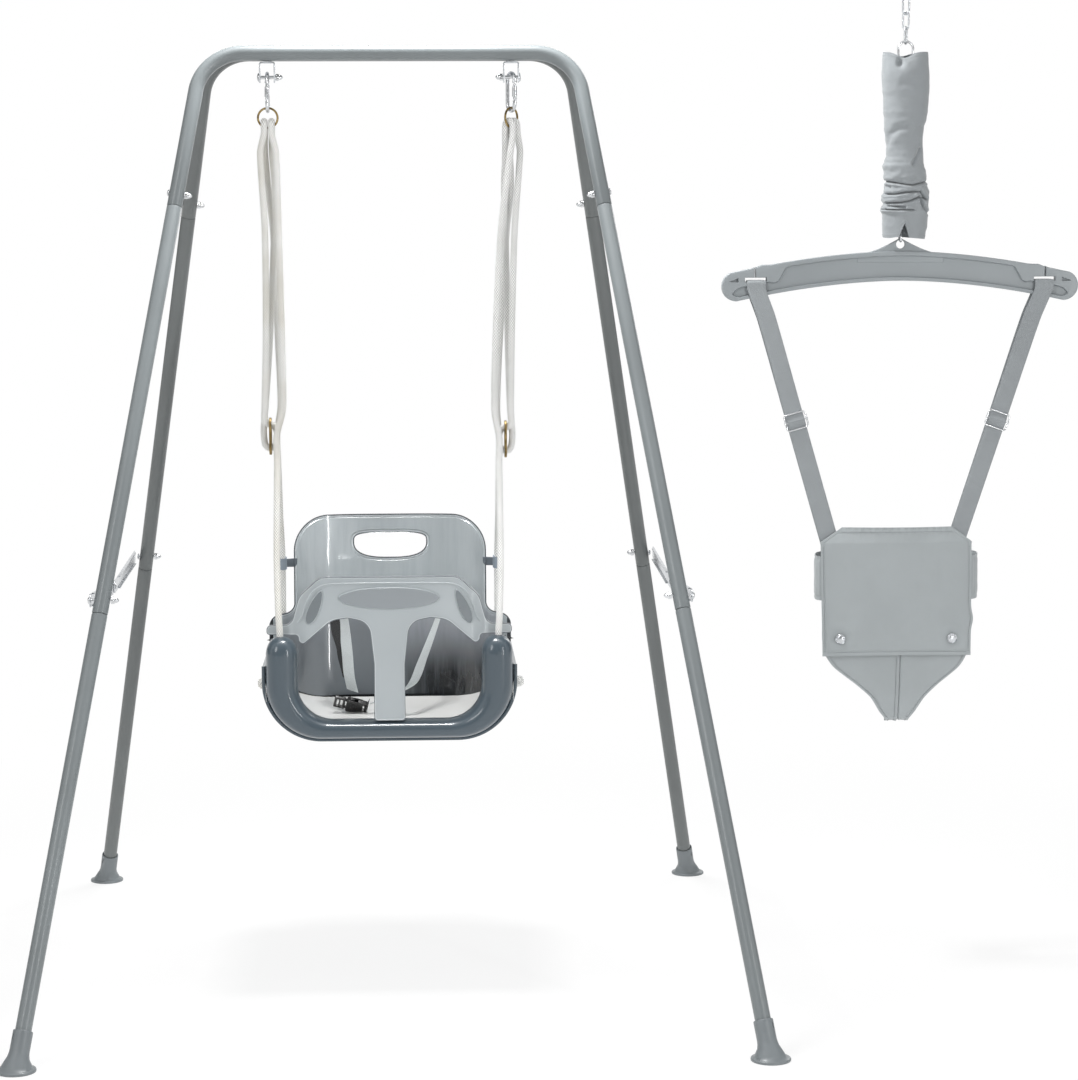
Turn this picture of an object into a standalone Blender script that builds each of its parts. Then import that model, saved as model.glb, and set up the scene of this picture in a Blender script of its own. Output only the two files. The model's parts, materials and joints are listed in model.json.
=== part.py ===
"""Toddler swing set: a folding A-frame of steel tube with a bucket swing on two ropes,
and the baby jumper of the set hanging beside it.

Metres, +Z up. X runs along the top bar, -Y is the front, where the child faces.
"""

import math

import bpy
import bmesh
from mathutils import Matrix, Vector

# Overall size of the set
SET_WIDTH = 1.485
SET_DEPTH = 1.132

# Shared fits
GAP = 0.0003
PLAY = 0.0004

# Tube of the stand
TUBE_OD = 0.021
TUBE_WALL = 0.0013
TUBE_SIDES = 14
SPIGOT_LENGTH = 0.045
BOLT_ABOVE_SEAM = 0.019

# Stand: legs given at the floor and at the corner where they meet the top bar
BAR_HEIGHT = 1.300
BAR_GAP = 0.0006
FOOT_SPREAD_FRONT = 0.960
FOOT_SPREAD_REAR = 0.945
CORNER_SPREAD_FRONT = 0.520
CORNER_SPREAD_REAR = 0.507
BEND_RADIUS = 0.067
SEAM_UPPER_FRONT = 1.188
SEAM_LOWER_FRONT = 0.604
SEAM_UPPER_REAR = 1.173
SEAM_LOWER_REAR = 0.588

# Feet
FLANGE_DIAMETER = 0.052
FOOT_REACH = (SET_DEPTH - FLANGE_DIAMETER) / 2
FLANGE_THICKNESS = 0.004
SOCKET_WALL = 0.002
SOCKET_TOP = 0.052
SOCKET_FLOOR = 0.016
NECK_HEIGHT = 0.0165
NECK_FLARE = 0.004

# Through bolts with acorn nuts
BOLT_SHANK = 0.005
BOLT_HEAD = 0.0095
BOLT_HEAD_HEIGHT = 0.0026
NUT_DIAMETER = 0.0088
NUT_LENGTH = 0.0105
HOLE_PLAY = 0.0006
LEVEL_BOLT_REST = 0.0011

# Folding stays
STAY_WIDTH = 0.018
STAY_SHEET = 0.0015
STAY_FLANGE = 0.0038
STAY_STANDOFF = 0.0044
STAY_SAG = 0.014
STAY_END_FLAT = 0.022
STAY_MIDDLE_FLAT = 0.046

# Hangers under the bar
HANGER_X = 0.171
HANGER_LEG_SPACING = 0.0205
HANGER_SHEET = 0.002
HANGER_DEPTH = 0.013
HANGER_BOLT_DROP = 0.0225
HANGER_TAIL = 0.0075
HANGER_HEAD = 0.0125
CLIP_WIDTH = 0.013
CLIP_SHEET = 0.0012

# Carabiners and rings
CARABINER_LENGTH = 0.058
CARABINER_WIDTH = 0.026
CARABINER_WIRE = 0.0055
GATE_WIRE = 0.0048
GATE_SLEEVE = 0.0072
RING_DIAMETER = 0.0305
RING_WIRE = 0.003
RIGHT_HOOK_TURN = math.radians(27)
RIGHT_RING_TURN = math.radians(50)
RING_ROPE_RISE = 0.0092
RING_ROPE_REACH = 0.0069

# Ropes and their adjusters
ROPE = 0.0096
ROPE_OVER_SEAT = 0.600
ROPE_OVER_CLIP = 0.650
ROPE_MIDDLE = 0.900
ROPE_UPPER = 1.050
ROPE_UNDER_RING = 1.110
ROPE_TO_BACK = 0.500
ROPE_TO_KNOT = 0.430
ADJUSTER_X = 0.1745
ADJUSTER_Z = 0.7625
ADJUSTER_LENGTH = 0.053
ADJUSTER_WIDTH = 0.023
ADJUSTER_SHEET = 0.0035
ADJUSTER_HOLE = 0.0130
ADJUSTER_HOLE_PITCH = 0.0165
ADJUSTER_Y = 0.003
# Each adjuster is drawn towards the middle and hangs a little lower, left then right
ADJUSTER_INWARD = {-1: 0.0014, 1: 0.0135}
ADJUSTER_DROP = {-1: 0.0, 1: 0.0060}
# How far the strands lie inward of the adjuster: under the ring, upper, middle, over the adjuster
ROPE_INWARD = {-1: (0.0021, 0.0038, 0.0055, 0.0063), 1: (-0.0081, -0.0062, 0.0009, 0.0035)}
LACE_INWARD = 0.0020
RING_SPREAD = 2.1
SEAT_SHIFT = 0.0060

# Seat tray: outline of the front roll, and the scoop behind it
TRAY_HALF = 0.170
TRAY_BOTTOM = 0.350
TRAY_CORNER = 0.077
TRAY_INNER_HALF = 0.128
TRAY_INNER_BOTTOM = 0.376
TRAY_INNER_CORNER = 0.050
TRAY_POST_TOP = 0.4930
POST_X = 0.152
ROLL_Y = -0.126
ROLL_DEPTH = 0.050
SCOOP_HALF = 0.1765
SCOOP_WALL = 0.004
SCOOP_BOTTOM = 0.3465
SCOOP_TOP = 0.452
SCOOP_BACK = 0.168
POST_CAP_WIDE = 0.82
POST_CAP_NARROW = 0.45
ROLL_SQUARENESS = 0.7

# Backrest
BACK_TOP = 0.632
BACK_HALF = 0.1415
BACK_CORNER = 0.049
SHOULDER_HALF = 0.1755
SHOULDER_TOP = 0.494
CLIP_X = 0.1575
CLIP_Y = 0.117
CLIP_Z = 0.567
CLIP_HEIGHT = 0.018
ROPE_WAY_PLAY = 0.0013
KNOT_Y = 0.116
KNOT_Z = 0.389
KNOT_SIZE = 1.75
KNOT_START = 0.1755
KNOT_LENGTH = 0.020
BACK_SHEET = 0.006
BACK_Y = 0.1615
BACK_WRAP = 0.105
BACK_LEAN = 0.08
HANDLE_HALF = 0.0535
HANDLE_TOP = 0.604
HANDLE_BOTTOM = 0.571
BACK_CLEARANCE = 0.0008

# Guard in front of the child
GUARD_TOP = 0.575
GUARD_TOP_HALF = 0.096
GUARD_EAR_HALF = 0.171
GUARD_EAR_TOP = 0.5065
GUARD_POST_HALF = 0.0215
GUARD_ARCH_X = 0.058
GUARD_ARCH_TOP = 0.514
GUARD_SHEET = 0.022
GUARD_Y = -0.124
GUARD_BOW = 0.010
GUARD_LEAN = 0.10
GUARD_HOLE_X = 0.0098
GUARD_HOLE_Y = 0.0086
GUARD_EDGE = 0.0028
GUARD_SEAT_GAP = 0.0006

# Lap belts and buckle
BELT_WIDTH = 0.020
BELT_SHEET = 0.0016

# Baby jumper
LINK_PITCH = 0.0205
LINK_WIRE = 0.0028
LINK_WIDTH = 0.0125
LINK_TURNS = (64, -44, 18)
HANG_SHIFT = 0.0050
SPRING_DIAMETER = 0.036
SPRING_WIRE = 0.0034
SPRING_TURNS = 13
SPRING_TOP = 1.246
SPRING_BOTTOM = 1.086
SPRING_HOOK_TOP = 1.3158
SPRING_HOOK_RADIUS = 0.0105
LOWER_HOOK_HALF = 0.0066
SLEEVE_DIAMETER = 0.0665
SLEEVE_CLOTH = 0.0022
SLEEVE_FLATNESS = 0.80
SLEEVE_TOP = 1.2995
SLEEVE_BOTTOM = 1.041
SPREADER_LENGTH = 0.510
JUMPER_X = SET_WIDTH - (FOOT_SPREAD_FRONT + FLANGE_DIAMETER + SPREADER_LENGTH) / 2
SPREADER_HEIGHT = 0.042
SPREADER_SHEET = 0.014
SPREADER_RISE = 0.033
SPREADER_TOP = 1.0210
SPREADER_LUG = 0.019
SPREADER_HOLE = 0.0125
SPREADER_EYE_RISE = 0.0098
LUG_SHEET = 0.007
STRAP_WIDTH = 0.025
STRAP_SHEET = 0.0022
STRAP_TOP_X = 0.206
STRAP_BOTTOM_X = 0.092
STRAP_SLOT_Z = 0.978
STRAP_INSET = 0.0020
STRAP_BACK_INSET = 0.0029
STRAP_LOW_SHIFT = -0.0045
STRAP_BACK_SHIFT = 0.0056
SLIDER_Z = 0.781
SLIDER_WIDTH = 0.031
SLIDER_HEIGHT = 0.023
SLIDER_WIRE = 0.0024
SADDLE_SHIFT = -0.0073
SADDLE_TOP = 0.6305
SADDLE_TOP_HALF = 0.077
SADDLE_HALF = 0.1090
SADDLE_BOTTOM = 0.4450
SADDLE_HALF_DEPTH = 0.038
SADDLE_SEAT_SHIFT = 0.0045
SADDLE_BACK_SHIFT = 0.0115
SADDLE_BACK_TOP = 0.6165
SADDLE_CLOTH = 0.003
CROTCH_HALF = 0.0172
BAND_TOP = 0.593
BAND_BOTTOM = 0.525
SNAP_X = 0.0801
SNAP_Z = 0.4697
SNAP_DIAMETER = 0.015

# The set is centred between its two ends
SET_LEFT = -(FOOT_SPREAD_FRONT + FLANGE_DIAMETER) / 2
FRAME_X = -SET_LEFT - SET_WIDTH / 2
# The seat hangs a little to the left of the rings
SEAT_X = FRAME_X - SEAT_SHIFT

BAR_SPACING = TUBE_OD + BAR_GAP
LINK_REACH = (LINK_PITCH + LINK_WIRE + GAP) / 2
TUBE_R = TUBE_OD / 2
BORE_R = TUBE_R - TUBE_WALL
SPIGOT_R = BORE_R - GAP

STEEL = ("painted_steel", (0.24, 0.26, 0.27), 0.42, 0.0)
CHROME = ("chrome", (0.62, 0.63, 0.64), 0.22, 1.0)
BRASS = ("aged_brass", (0.42, 0.33, 0.20), 0.35, 1.0)
FOOT_PLASTIC = ("foot_plastic", (0.16, 0.17, 0.18), 0.5, 0.0)
ROPE_WHITE = ("rope_white", (0.80, 0.80, 0.77), 0.85, 0.0)
SLATE = ("slate_plastic", (0.11, 0.14, 0.175), 0.28, 0.0)
MID_GREY = ("mid_grey_plastic", (0.35, 0.39, 0.41), 0.28, 0.0)
LIGHT_GREY = ("light_grey_plastic", (0.43, 0.48, 0.50), 0.35, 0.0)
WEBBING = ("grey_webbing", (0.40, 0.42, 0.42), 0.85, 0.0)
BLACK = ("black_plastic", (0.015, 0.015, 0.016), 0.4, 0.0)
CLOTH = ("grey_cloth", (0.35, 0.38, 0.39), 0.9, 0.0)


def clear_scene():
    for obj in list(bpy.data.objects):
        bpy.data.objects.remove(obj, do_unlink=True)


def material(look):
    name, color, roughness, metallic = look
    if name in bpy.data.materials:
        return bpy.data.materials[name]
    made = bpy.data.materials.new(name)
    made.use_nodes = True
    shader = made.node_tree.nodes["Principled BSDF"]
    shader.inputs["Base Color"].default_value = (*color, 1.0)
    shader.inputs["Roughness"].default_value = roughness
    shader.inputs["Metallic"].default_value = metallic
    made.diffuse_color = (*color, 1.0)
    return made


def finish(bm, name, look):
    """Turns a bmesh into a named object with its material and smooth round faces."""
    bmesh.ops.recalc_face_normals(bm, faces=bm.faces)
    mesh = bpy.data.meshes.new(name)
    bm.to_mesh(mesh)
    bm.free()
    mesh.materials.append(material(look))
    mesh.shade_smooth()
    mesh.set_sharp_from_angle(angle=math.radians(35))
    obj = bpy.data.objects.new(name, mesh)
    bpy.context.scene.collection.objects.link(obj)
    return obj


def axes(origin, forward, side=(0, 0, 1)):
    """A frame at origin whose Z axis points forward and whose X axis lies near side."""
    z = Vector(forward).normalized()
    x = Vector(side) - Vector(side).dot(z) * z
    if x.length < 1e-6:
        x = Vector((1, 0, 0)) - Vector((1, 0, 0)).dot(z) * z
    x.normalize()
    y = z.cross(x)
    turn = Matrix((x, y, z)).transposed().to_4x4()
    return Matrix.Translation(Vector(origin)) @ turn


def turned(name, profile, place, look, sides=TUBE_SIDES, ring=False):
    """Spins a profile of (radius, height) points about the Z axis of place."""
    bm = bmesh.new()
    points = [bm.verts.new((radius, 0, height)) for radius, height in profile]
    pairs = list(zip(points, points[1:]))
    if ring:
        pairs.append((points[-1], points[0]))
    edges = [bm.edges.new(pair) for pair in pairs]
    bmesh.ops.spin(
        bm,
        geom=points + edges,
        cent=(0, 0, 0),
        axis=(0, 0, 1),
        angle=2 * math.pi,
        steps=sides,
        use_merge=True,
    )
    bmesh.ops.remove_doubles(bm, verts=bm.verts, dist=1e-6)
    bmesh.ops.transform(bm, matrix=place, verts=bm.verts)
    return finish(bm, name, look)


def mesh_of(obj):
    """Replaces a curve, or an object with modifiers, by its plain mesh under the same name."""
    graph = bpy.context.evaluated_depsgraph_get()
    mesh = bpy.data.meshes.new_from_object(obj.evaluated_get(graph))
    name = obj.name
    world = obj.matrix_world.copy()
    looks = [slot.material for slot in obj.material_slots]
    bpy.data.objects.remove(obj, do_unlink=True)
    mesh.name = name
    mesh.materials.clear()
    for look in looks:
        mesh.materials.append(look)
    mesh.shade_smooth()
    mesh.set_sharp_from_angle(angle=math.radians(35))
    made = bpy.data.objects.new(name, mesh)
    made.matrix_world = world
    bpy.context.scene.collection.objects.link(made)
    return made


def wire(name, points, radius, look, sides=2, cyclic=False):
    """A round wire, rod or rope along points, with closed ends."""
    curve = bpy.data.curves.new(name, "CURVE")
    curve.dimensions = "3D"
    curve.bevel_depth = radius
    curve.bevel_resolution = sides
    curve.use_fill_caps = not cyclic
    curve.twist_mode = "MINIMUM"
    spline = curve.splines.new("POLY")
    spline.points.add(len(points) - 1)
    for slot, point in zip(spline.points, points):
        slot.co = (*point, 1.0)
    spline.use_cyclic_u = cyclic
    curve.materials.append(material(look))
    obj = bpy.data.objects.new(name, curve)
    bpy.context.scene.collection.objects.link(obj)
    return obj


def through(points, step, tight=0.5):
    """A smooth line through a route's points, with a point about every step metres."""
    line = []
    count = len(points)
    for i in range(count - 1):
        before = points[max(i - 1, 0)]
        start, end = points[i], points[i + 1]
        after = points[min(i + 2, count - 1)]
        length = (end - start).length
        pull_in = (end - before) * tight * min(1.0, length / max((start - before).length, 1e-9))
        pull_out = (after - start) * tight * min(1.0, length / max((after - end).length, 1e-9))
        pieces = max(1, round(length / step))
        for k in range(pieces):
            t = k / pieces
            a = 2 * t**3 - 3 * t**2 + 1
            b = t**3 - 2 * t**2 + t
            c = -2 * t**3 + 3 * t**2
            d = t**3 - t**2
            line.append(a * start + b * pull_in + c * end + d * pull_out)
    line.append(points[-1])
    return line


def arc(centre, radius, start, end, steps):
    """Points of a flat arc in two dimensions, with angles in degrees."""
    turn = [math.radians(start + (end - start) * k / steps) for k in range(steps + 1)]
    return [(centre[0] + radius * math.cos(a), centre[1] + radius * math.sin(a)) for a in turn]


def rounded(corners, steps=4):
    """A closed outline from (x, y, radius) corners, each turned into an arc."""
    outline = []
    count = len(corners)
    for i, (x, y, radius) in enumerate(corners):
        here = Vector((x, y))
        back = Vector(corners[i - 1][:2]) - here
        ahead = Vector(corners[(i + 1) % count][:2]) - here
        if radius <= 0:
            outline.append((x, y))
            continue
        back.normalize()
        ahead.normalize()
        half = back.angle(ahead) / 2
        reach = radius / math.tan(half)
        centre = here + (back + ahead).normalized() * radius / math.sin(half)
        first = here + back * reach - centre
        last = here + ahead * reach - centre
        swing = first.angle_signed(last)
        for k in range(steps + 1):
            turn = -swing * k / steps
            spot = centre + Matrix.Rotation(turn, 2) @ first
            outline.append((spot.x, spot.y))
    return outline


def plate(name, outline, thickness, look, edge=0.0, edge_steps=2, slices=(), place=None, shape=None):
    """A plate whose outline lies in its XZ plane, with eased rims, bent by shape(x, y, z)."""
    bm = bmesh.new()
    verts = [bm.verts.new((x, -thickness / 2, z)) for x, z in outline]
    face = bm.faces.new(verts)
    grown = bmesh.ops.extrude_face_region(bm, geom=[face])
    moved = [item for item in grown["geom"] if isinstance(item, bmesh.types.BMVert)]
    bmesh.ops.translate(bm, verts=moved, vec=(0, thickness, 0))
    bmesh.ops.recalc_face_normals(bm, faces=bm.faces)
    if edge > 0:
        rim = [e for e in bm.edges if abs(e.verts[0].co.y - e.verts[1].co.y) < 1e-9]
        bmesh.ops.bevel(bm, geom=rim, offset=edge, segments=edge_steps, profile=0.5, affect="EDGES")
    for point, normal in slices:
        bmesh.ops.bisect_plane(
            bm,
            geom=list(bm.verts) + list(bm.edges) + list(bm.faces),
            dist=1e-6,
            plane_co=point,
            plane_no=normal,
        )
    if shape:
        bmesh.ops.triangulate(bm, faces=bm.faces)
        for vert in bm.verts:
            vert.co = Vector(shape(*vert.co))
    if place:
        bmesh.ops.transform(bm, matrix=place, verts=bm.verts)
    return finish(bm, name, look)


def loft(name, rings, look, closed=False):
    """Skins a row of equal rings of points, with a flat cap at each end."""
    bm = bmesh.new()
    rows = [[bm.verts.new(point) for point in ring] for ring in rings]
    pairs = list(zip(rows, rows[1:]))
    if closed:
        pairs.append((rows[-1], rows[0]))
    for lower, upper in pairs:
        size = len(lower)
        for k in range(size):
            after = (k + 1) % size
            bm.faces.new((lower[k], lower[after], upper[after], upper[k]))
    if not closed:
        bm.faces.new(rows[0])
        bm.faces.new(rows[-1])
    return finish(bm, name, look)


def ring_points(place, half_x, half_y, count, power=2.0, lift=0.0):
    """A closed ring in the XY plane of place: an ellipse at power 2, squarer above."""
    points = []
    for k in range(count):
        angle = 2 * math.pi * (k + 0.5) / count
        c, s = math.cos(angle), math.sin(angle)
        x = half_x * math.copysign(abs(c) ** (2 / power), c)
        y = half_y * math.copysign(abs(s) ** (2 / power), s)
        points.append(place @ Vector((x, y, lift)))
    return points


def cutter(obj):
    obj.hide_render = True
    obj.display_type = "WIRE"
    return obj


def cut(target, tool, operation="DIFFERENCE"):
    modifier = target.modifiers.new(tool.name, "BOOLEAN")
    modifier.operation = operation
    modifier.solver = "EXACT"
    modifier.object = cutter(tool)


def rod_cutter(name, start, end, radius, sides=12):
    """A round cutter from start to end."""
    start, end = Vector(start), Vector(end)
    length = (end - start).length
    profile = [(0, 0), (radius, 0), (radius, length), (0, length)]
    return turned(name, profile, axes(start, end - start), CHROME, sides)


def box_cutter(name, low, high):
    outline = [(low[0], low[2]), (high[0], low[2]), (high[0], high[2]), (low[0], high[2])]
    place = Matrix.Translation((0, (low[1] + high[1]) / 2, 0))
    return plate(name, outline, high[1] - low[1], CHROME, place=place)


def adopt(children, parent):
    for child in children:
        child.parent = parent
        child.matrix_parent_inverse = parent.matrix_world.inverted()


def pivot(name, spot):
    """An empty on a joint's axis, which carries the pieces that turn with it."""
    empty = bpy.data.objects.new(name, None)
    empty.empty_display_size = 0.03
    empty.location = spot
    bpy.context.scene.collection.objects.link(empty)
    bpy.context.view_layer.update()
    return empty


class Leg:
    """The centre line of one leg, from the floor to the corner at the top bar."""

    def __init__(self, side, end):
        front = end == "front"
        spread = FOOT_SPREAD_FRONT if front else FOOT_SPREAD_REAR
        corner = CORNER_SPREAD_FRONT if front else CORNER_SPREAD_REAR
        facing = -1 if front else 1
        self.side = side
        self.end = end
        self.bar_y = facing * BAR_SPACING / 2
        self.foot = Vector((FRAME_X + side * spread / 2, facing * FOOT_REACH, 0))
        self.corner = Vector((FRAME_X + side * corner / 2, self.bar_y, BAR_HEIGHT))
        self.up = (self.corner - self.foot).normalized()
        self.seam_upper = SEAM_UPPER_FRONT if front else SEAM_UPPER_REAR
        self.seam_lower = SEAM_LOWER_FRONT if front else SEAM_LOWER_REAR
        across = Vector((1, 0, 0))
        self.across = (across - across.dot(self.up) * self.up).normalized() * side

    def at(self, distance):
        return self.foot + self.up * distance

    def bolt(self, seam):
        return self.at(seam + BOLT_ABOVE_SEAM)

    @property
    def label(self):
        return f"{self.end}_{{}}_{'left' if self.side < 0 else 'right'}"


def bolt_hole(targets, leg, seam, across):
    """Drills the tubes that meet at a joint for its through bolt."""
    centre = leg.bolt(seam)
    reach = across * TUBE_OD
    radius = BOLT_SHANK / 2 + HOLE_PLAY
    name = f"hole_{leg.end}_{leg.side}_{round(seam * 1000)}"
    for k, target in enumerate(targets):
        cut(target, rod_cutter(f"{name}_{k}", centre - reach, centre + reach, radius))


def straight_tube(name, leg, low, high):
    """A straight leg tube with a swaged spigot on top; both ends are open."""
    lip = 0.004
    profile = [
        (TUBE_R, low),
        (TUBE_R, high),
        (SPIGOT_R, high),
        (SPIGOT_R, high + SPIGOT_LENGTH),
        (SPIGOT_R - TUBE_WALL, high + SPIGOT_LENGTH),
        (SPIGOT_R - TUBE_WALL, high - lip),
        (BORE_R, high - 2 * lip),
        (BORE_R, low),
    ]
    return turned(name, profile, axes(leg.foot, leg.up), STEEL, ring=True)


def upper_tube(name, left, right):
    """The bent tube: down one leg to its joint, along the bar, and down the other."""
    def bend(leg, inward):
        sweep = leg.up.angle(inward)
        reach = BEND_RADIUS * math.tan(sweep / 2)
        start = leg.corner - leg.up * reach
        normal = leg.up.cross(inward).normalized()
        centre = start + normal.cross(leg.up).normalized() * BEND_RADIUS
        steps = 6
        return [
            centre + Matrix.Rotation(sweep * k / steps, 3, normal) @ (start - centre)
            for k in range(steps + 1)
        ]

    points = [left.at(left.seam_upper)]
    points += bend(left, Vector((1, 0, 0)))
    points += list(reversed(bend(right, Vector((-1, 0, 0)))))
    points.append(right.at(right.seam_upper))
    tube = wire(name, points, TUBE_R, STEEL, sides=5)
    tube.data.use_fill_caps = False
    wall = tube.modifiers.new("wall", "SOLIDIFY")
    wall.thickness = TUBE_WALL
    wall.offset = -1
    wall.use_even_offset = True
    wall.use_rim = True
    return mesh_of(tube)


def foot(leg):
    """A plastic foot: a flange flat on the floor that rises into a socket round the tube."""
    count = 16
    outer = TUBE_R + PLAY + SOCKET_WALL
    bore = TUBE_R + PLAY
    flat = Matrix.Translation(leg.foot)
    tilt = axes(leg.foot, leg.up, (1, 0, 0))

    def level(radius, height):
        return ring_points(flat, radius, radius, count, lift=height)

    def along(radius, height):
        return ring_points(tilt, radius, radius, count, lift=height)

    neck = leg.up / leg.up.z * NECK_HEIGHT
    rings = [
        level(FLANGE_DIAMETER / 2 - 0.001, 0),
        level(FLANGE_DIAMETER / 2, 0.001),
        level(FLANGE_DIAMETER / 2, FLANGE_THICKNESS - 0.001),
        level(FLANGE_DIAMETER / 2 - 0.001, FLANGE_THICKNESS),
        [point + neck for point in level(outer + NECK_FLARE, 0)],
        along(outer, NECK_HEIGHT + 0.0085),
        along(outer, SOCKET_TOP),
        along(bore, SOCKET_TOP),
        along(bore, SOCKET_FLOOR),
    ]
    return loft(leg.label.format("foot"), rings, FOOT_PLASTIC)


def through_bolt(name, centre, outward, grip_out, grip_in, head=BOLT_HEAD, sides=8):
    """A round-headed bolt with its washer and acorn nut; the head is on the outward side."""
    shank = BOLT_SHANK / 2
    half = NUT_DIAMETER / 2
    top = -grip_in
    profile = [
        (0, grip_out + BOLT_HEAD_HEIGHT),
        (head * 0.32, grip_out + BOLT_HEAD_HEIGHT * 0.85),
        (head / 2, grip_out + BOLT_HEAD_HEIGHT * 0.3),
        (head / 2, grip_out),
        (shank, grip_out),
        (shank, top),
        (half, top),
        (half, top - NUT_LENGTH * 0.45),
        (half * 0.75, top - NUT_LENGTH * 0.8),
        (0, top - NUT_LENGTH),
    ]
    return turned(name, profile, axes(centre, outward, (0, 1, 0)), CHROME, sides)


def build_stand():
    """Both halves of the A-frame with their joints, bolts and feet."""
    for end in ("front", "rear"):
        left, right = Leg(-1, end), Leg(1, end)
        top = upper_tube(f"{end}_upper_tube", left, right)
        pieces = [top]
        for leg in (left, right):
            middle_name = leg.label.format("middle_tube")
            middle = straight_tube(middle_name, leg, leg.seam_lower + GAP, leg.seam_upper - GAP)
            lower_name = leg.label.format("lower_tube")
            lower = straight_tube(lower_name, leg, SOCKET_FLOOR + GAP, leg.seam_lower - GAP)
            outward = Vector((leg.side, 0, 0))
            bolt_hole([top, middle], leg, leg.seam_upper, leg.across)
            bolt_hole([middle, lower], leg, leg.seam_lower, outward)
            grip = TUBE_R + GAP
            upper_bolt = through_bolt(
                leg.label.format("upper_bolt"), leg.bolt(leg.seam_upper), leg.across, grip, grip
            )
            level_grip = TUBE_R + LEVEL_BOLT_REST
            out = TUBE_R + STAY_STANDOFF + STAY_SHEET + GAP if leg.end == "front" else level_grip
            lower_bolt = through_bolt(
                leg.label.format("lower_bolt"), leg.bolt(leg.seam_lower), outward, out, level_grip
            )
            pieces += [middle, lower, foot(leg), upper_bolt, lower_bolt]
        if end == "rear":
            adopt(pieces, pivot("rear_frame_hinge", (FRAME_X, BAR_SPACING / 2, BAR_HEIGHT)))


def stay_plane(side):
    """The upright plane in which a stay folds, outside both legs of its side."""
    leg = Leg(side, "front")
    return leg.bolt(leg.seam_lower).x + side * (TUBE_R + STAY_STANDOFF + STAY_SHEET / 2)


def stay_link(name, start, end, inner_sign, offset, flat_start, flat_end):
    """A pressed channel link between two pivots, with plain round ends and a hole at its start."""
    run = end - start
    length = run.length
    half = STAY_WIDTH / 2
    outline = arc((0, 0), half, 90, 270, 6) + arc((length, 0), half, -90, 90, 6)
    along = run.normalized()
    upward = Vector((1, 0, 0)).cross(along)
    if upward.z < 0:
        upward = -upward
    turn = Matrix((along, Vector((1, 0, 0)), upward)).transposed().to_4x4()
    place = Matrix.Translation(start + Vector((offset, 0, 0))) @ turn
    web = plate(name, outline, STAY_SHEET, CHROME, place=place)
    inset = STAY_SHEET * 0.1
    for sign, tag in ((1, "top"), (-1, "bottom")):
        outer = sign * (half - inset)
        inner = sign * (half - inset - STAY_SHEET)
        rim = [
            (flat_start, inner),
            (length - flat_end, inner),
            (length - flat_end, outer),
            (flat_start, outer),
        ]
        shift = Matrix.Translation((0, inner_sign * STAY_FLANGE / 2, 0))
        wall = plate(f"{name}_{tag}_rim", rim, STAY_FLANGE, CHROME, place=place @ shift)
        cut(web, wall, "UNION")
    reach = Vector((0.02, 0, 0))
    cut(web, rod_cutter(f"{name}_hole", start - reach, start + reach, BOLT_SHANK / 2 + HOLE_PLAY))
    return web


def build_stays():
    """Two over-centre stays that hold the legs apart and fold upwards."""
    for side, label in ((-1, "left"), (1, "right")):
        x = stay_plane(side)
        front, rear = Leg(side, "front"), Leg(side, "rear")
        start = front.bolt(front.seam_lower)
        end = rear.bolt(rear.seam_lower)
        start.x = end.x = x
        middle = (start + end) / 2 - Vector((0, 0, STAY_SAG))
        lap = STAY_SHEET + GAP
        inward = -side
        ends = (STAY_END_FLAT, STAY_MIDDLE_FLAT)
        near = stay_link(f"stay_front_link_{label}", start, middle, inward, 0, *ends)
        far = stay_link(f"stay_rear_link_{label}", middle, end, inward, inward * lap, *reversed(ends))
        reach = STAY_SHEET / 2 + lap + GAP
        outside = Vector((side, 0, 0))
        pin = BOLT_SHANK / 2
        head = BOLT_HEAD / 2
        rivet = turned(
            f"stay_rivet_{label}",
            [
                (0, STAY_SHEET / 2 + 0.002),
                (head * 0.7, STAY_SHEET / 2 + 0.0015),
                (head, STAY_SHEET / 2 - GAP),
                (pin, STAY_SHEET / 2 - GAP),
                (pin, -reach - STAY_SHEET / 2),
                (head, -reach - STAY_SHEET / 2),
                (head * 0.7, -reach - STAY_SHEET / 2 - 0.0018),
                (0, -reach - STAY_SHEET / 2 - 0.0022),
            ],
            axes(middle, outside, (0, 1, 0)),
            CHROME,
            10,
        )
        cut(near, rivet, "UNION")
        boss = turned(
            f"stay_boss_{label}",
            [
                (0, STAY_SHEET / 2 + 0.0022),
                (head * 0.7, STAY_SHEET / 2 + 0.0018),
                (head, STAY_SHEET / 2 - GAP),
                (0, STAY_SHEET / 2 - GAP),
            ],
            axes(end + Vector((inward * lap, 0, 0)), outside, (0, 1, 0)),
            CHROME,
            10,
        )
        cut(far, boss, "UNION")
        adopt([near], pivot(f"stay_front_hinge_{label}", start))
        adopt([far], pivot(f"stay_rear_hinge_{label}", middle))


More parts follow.
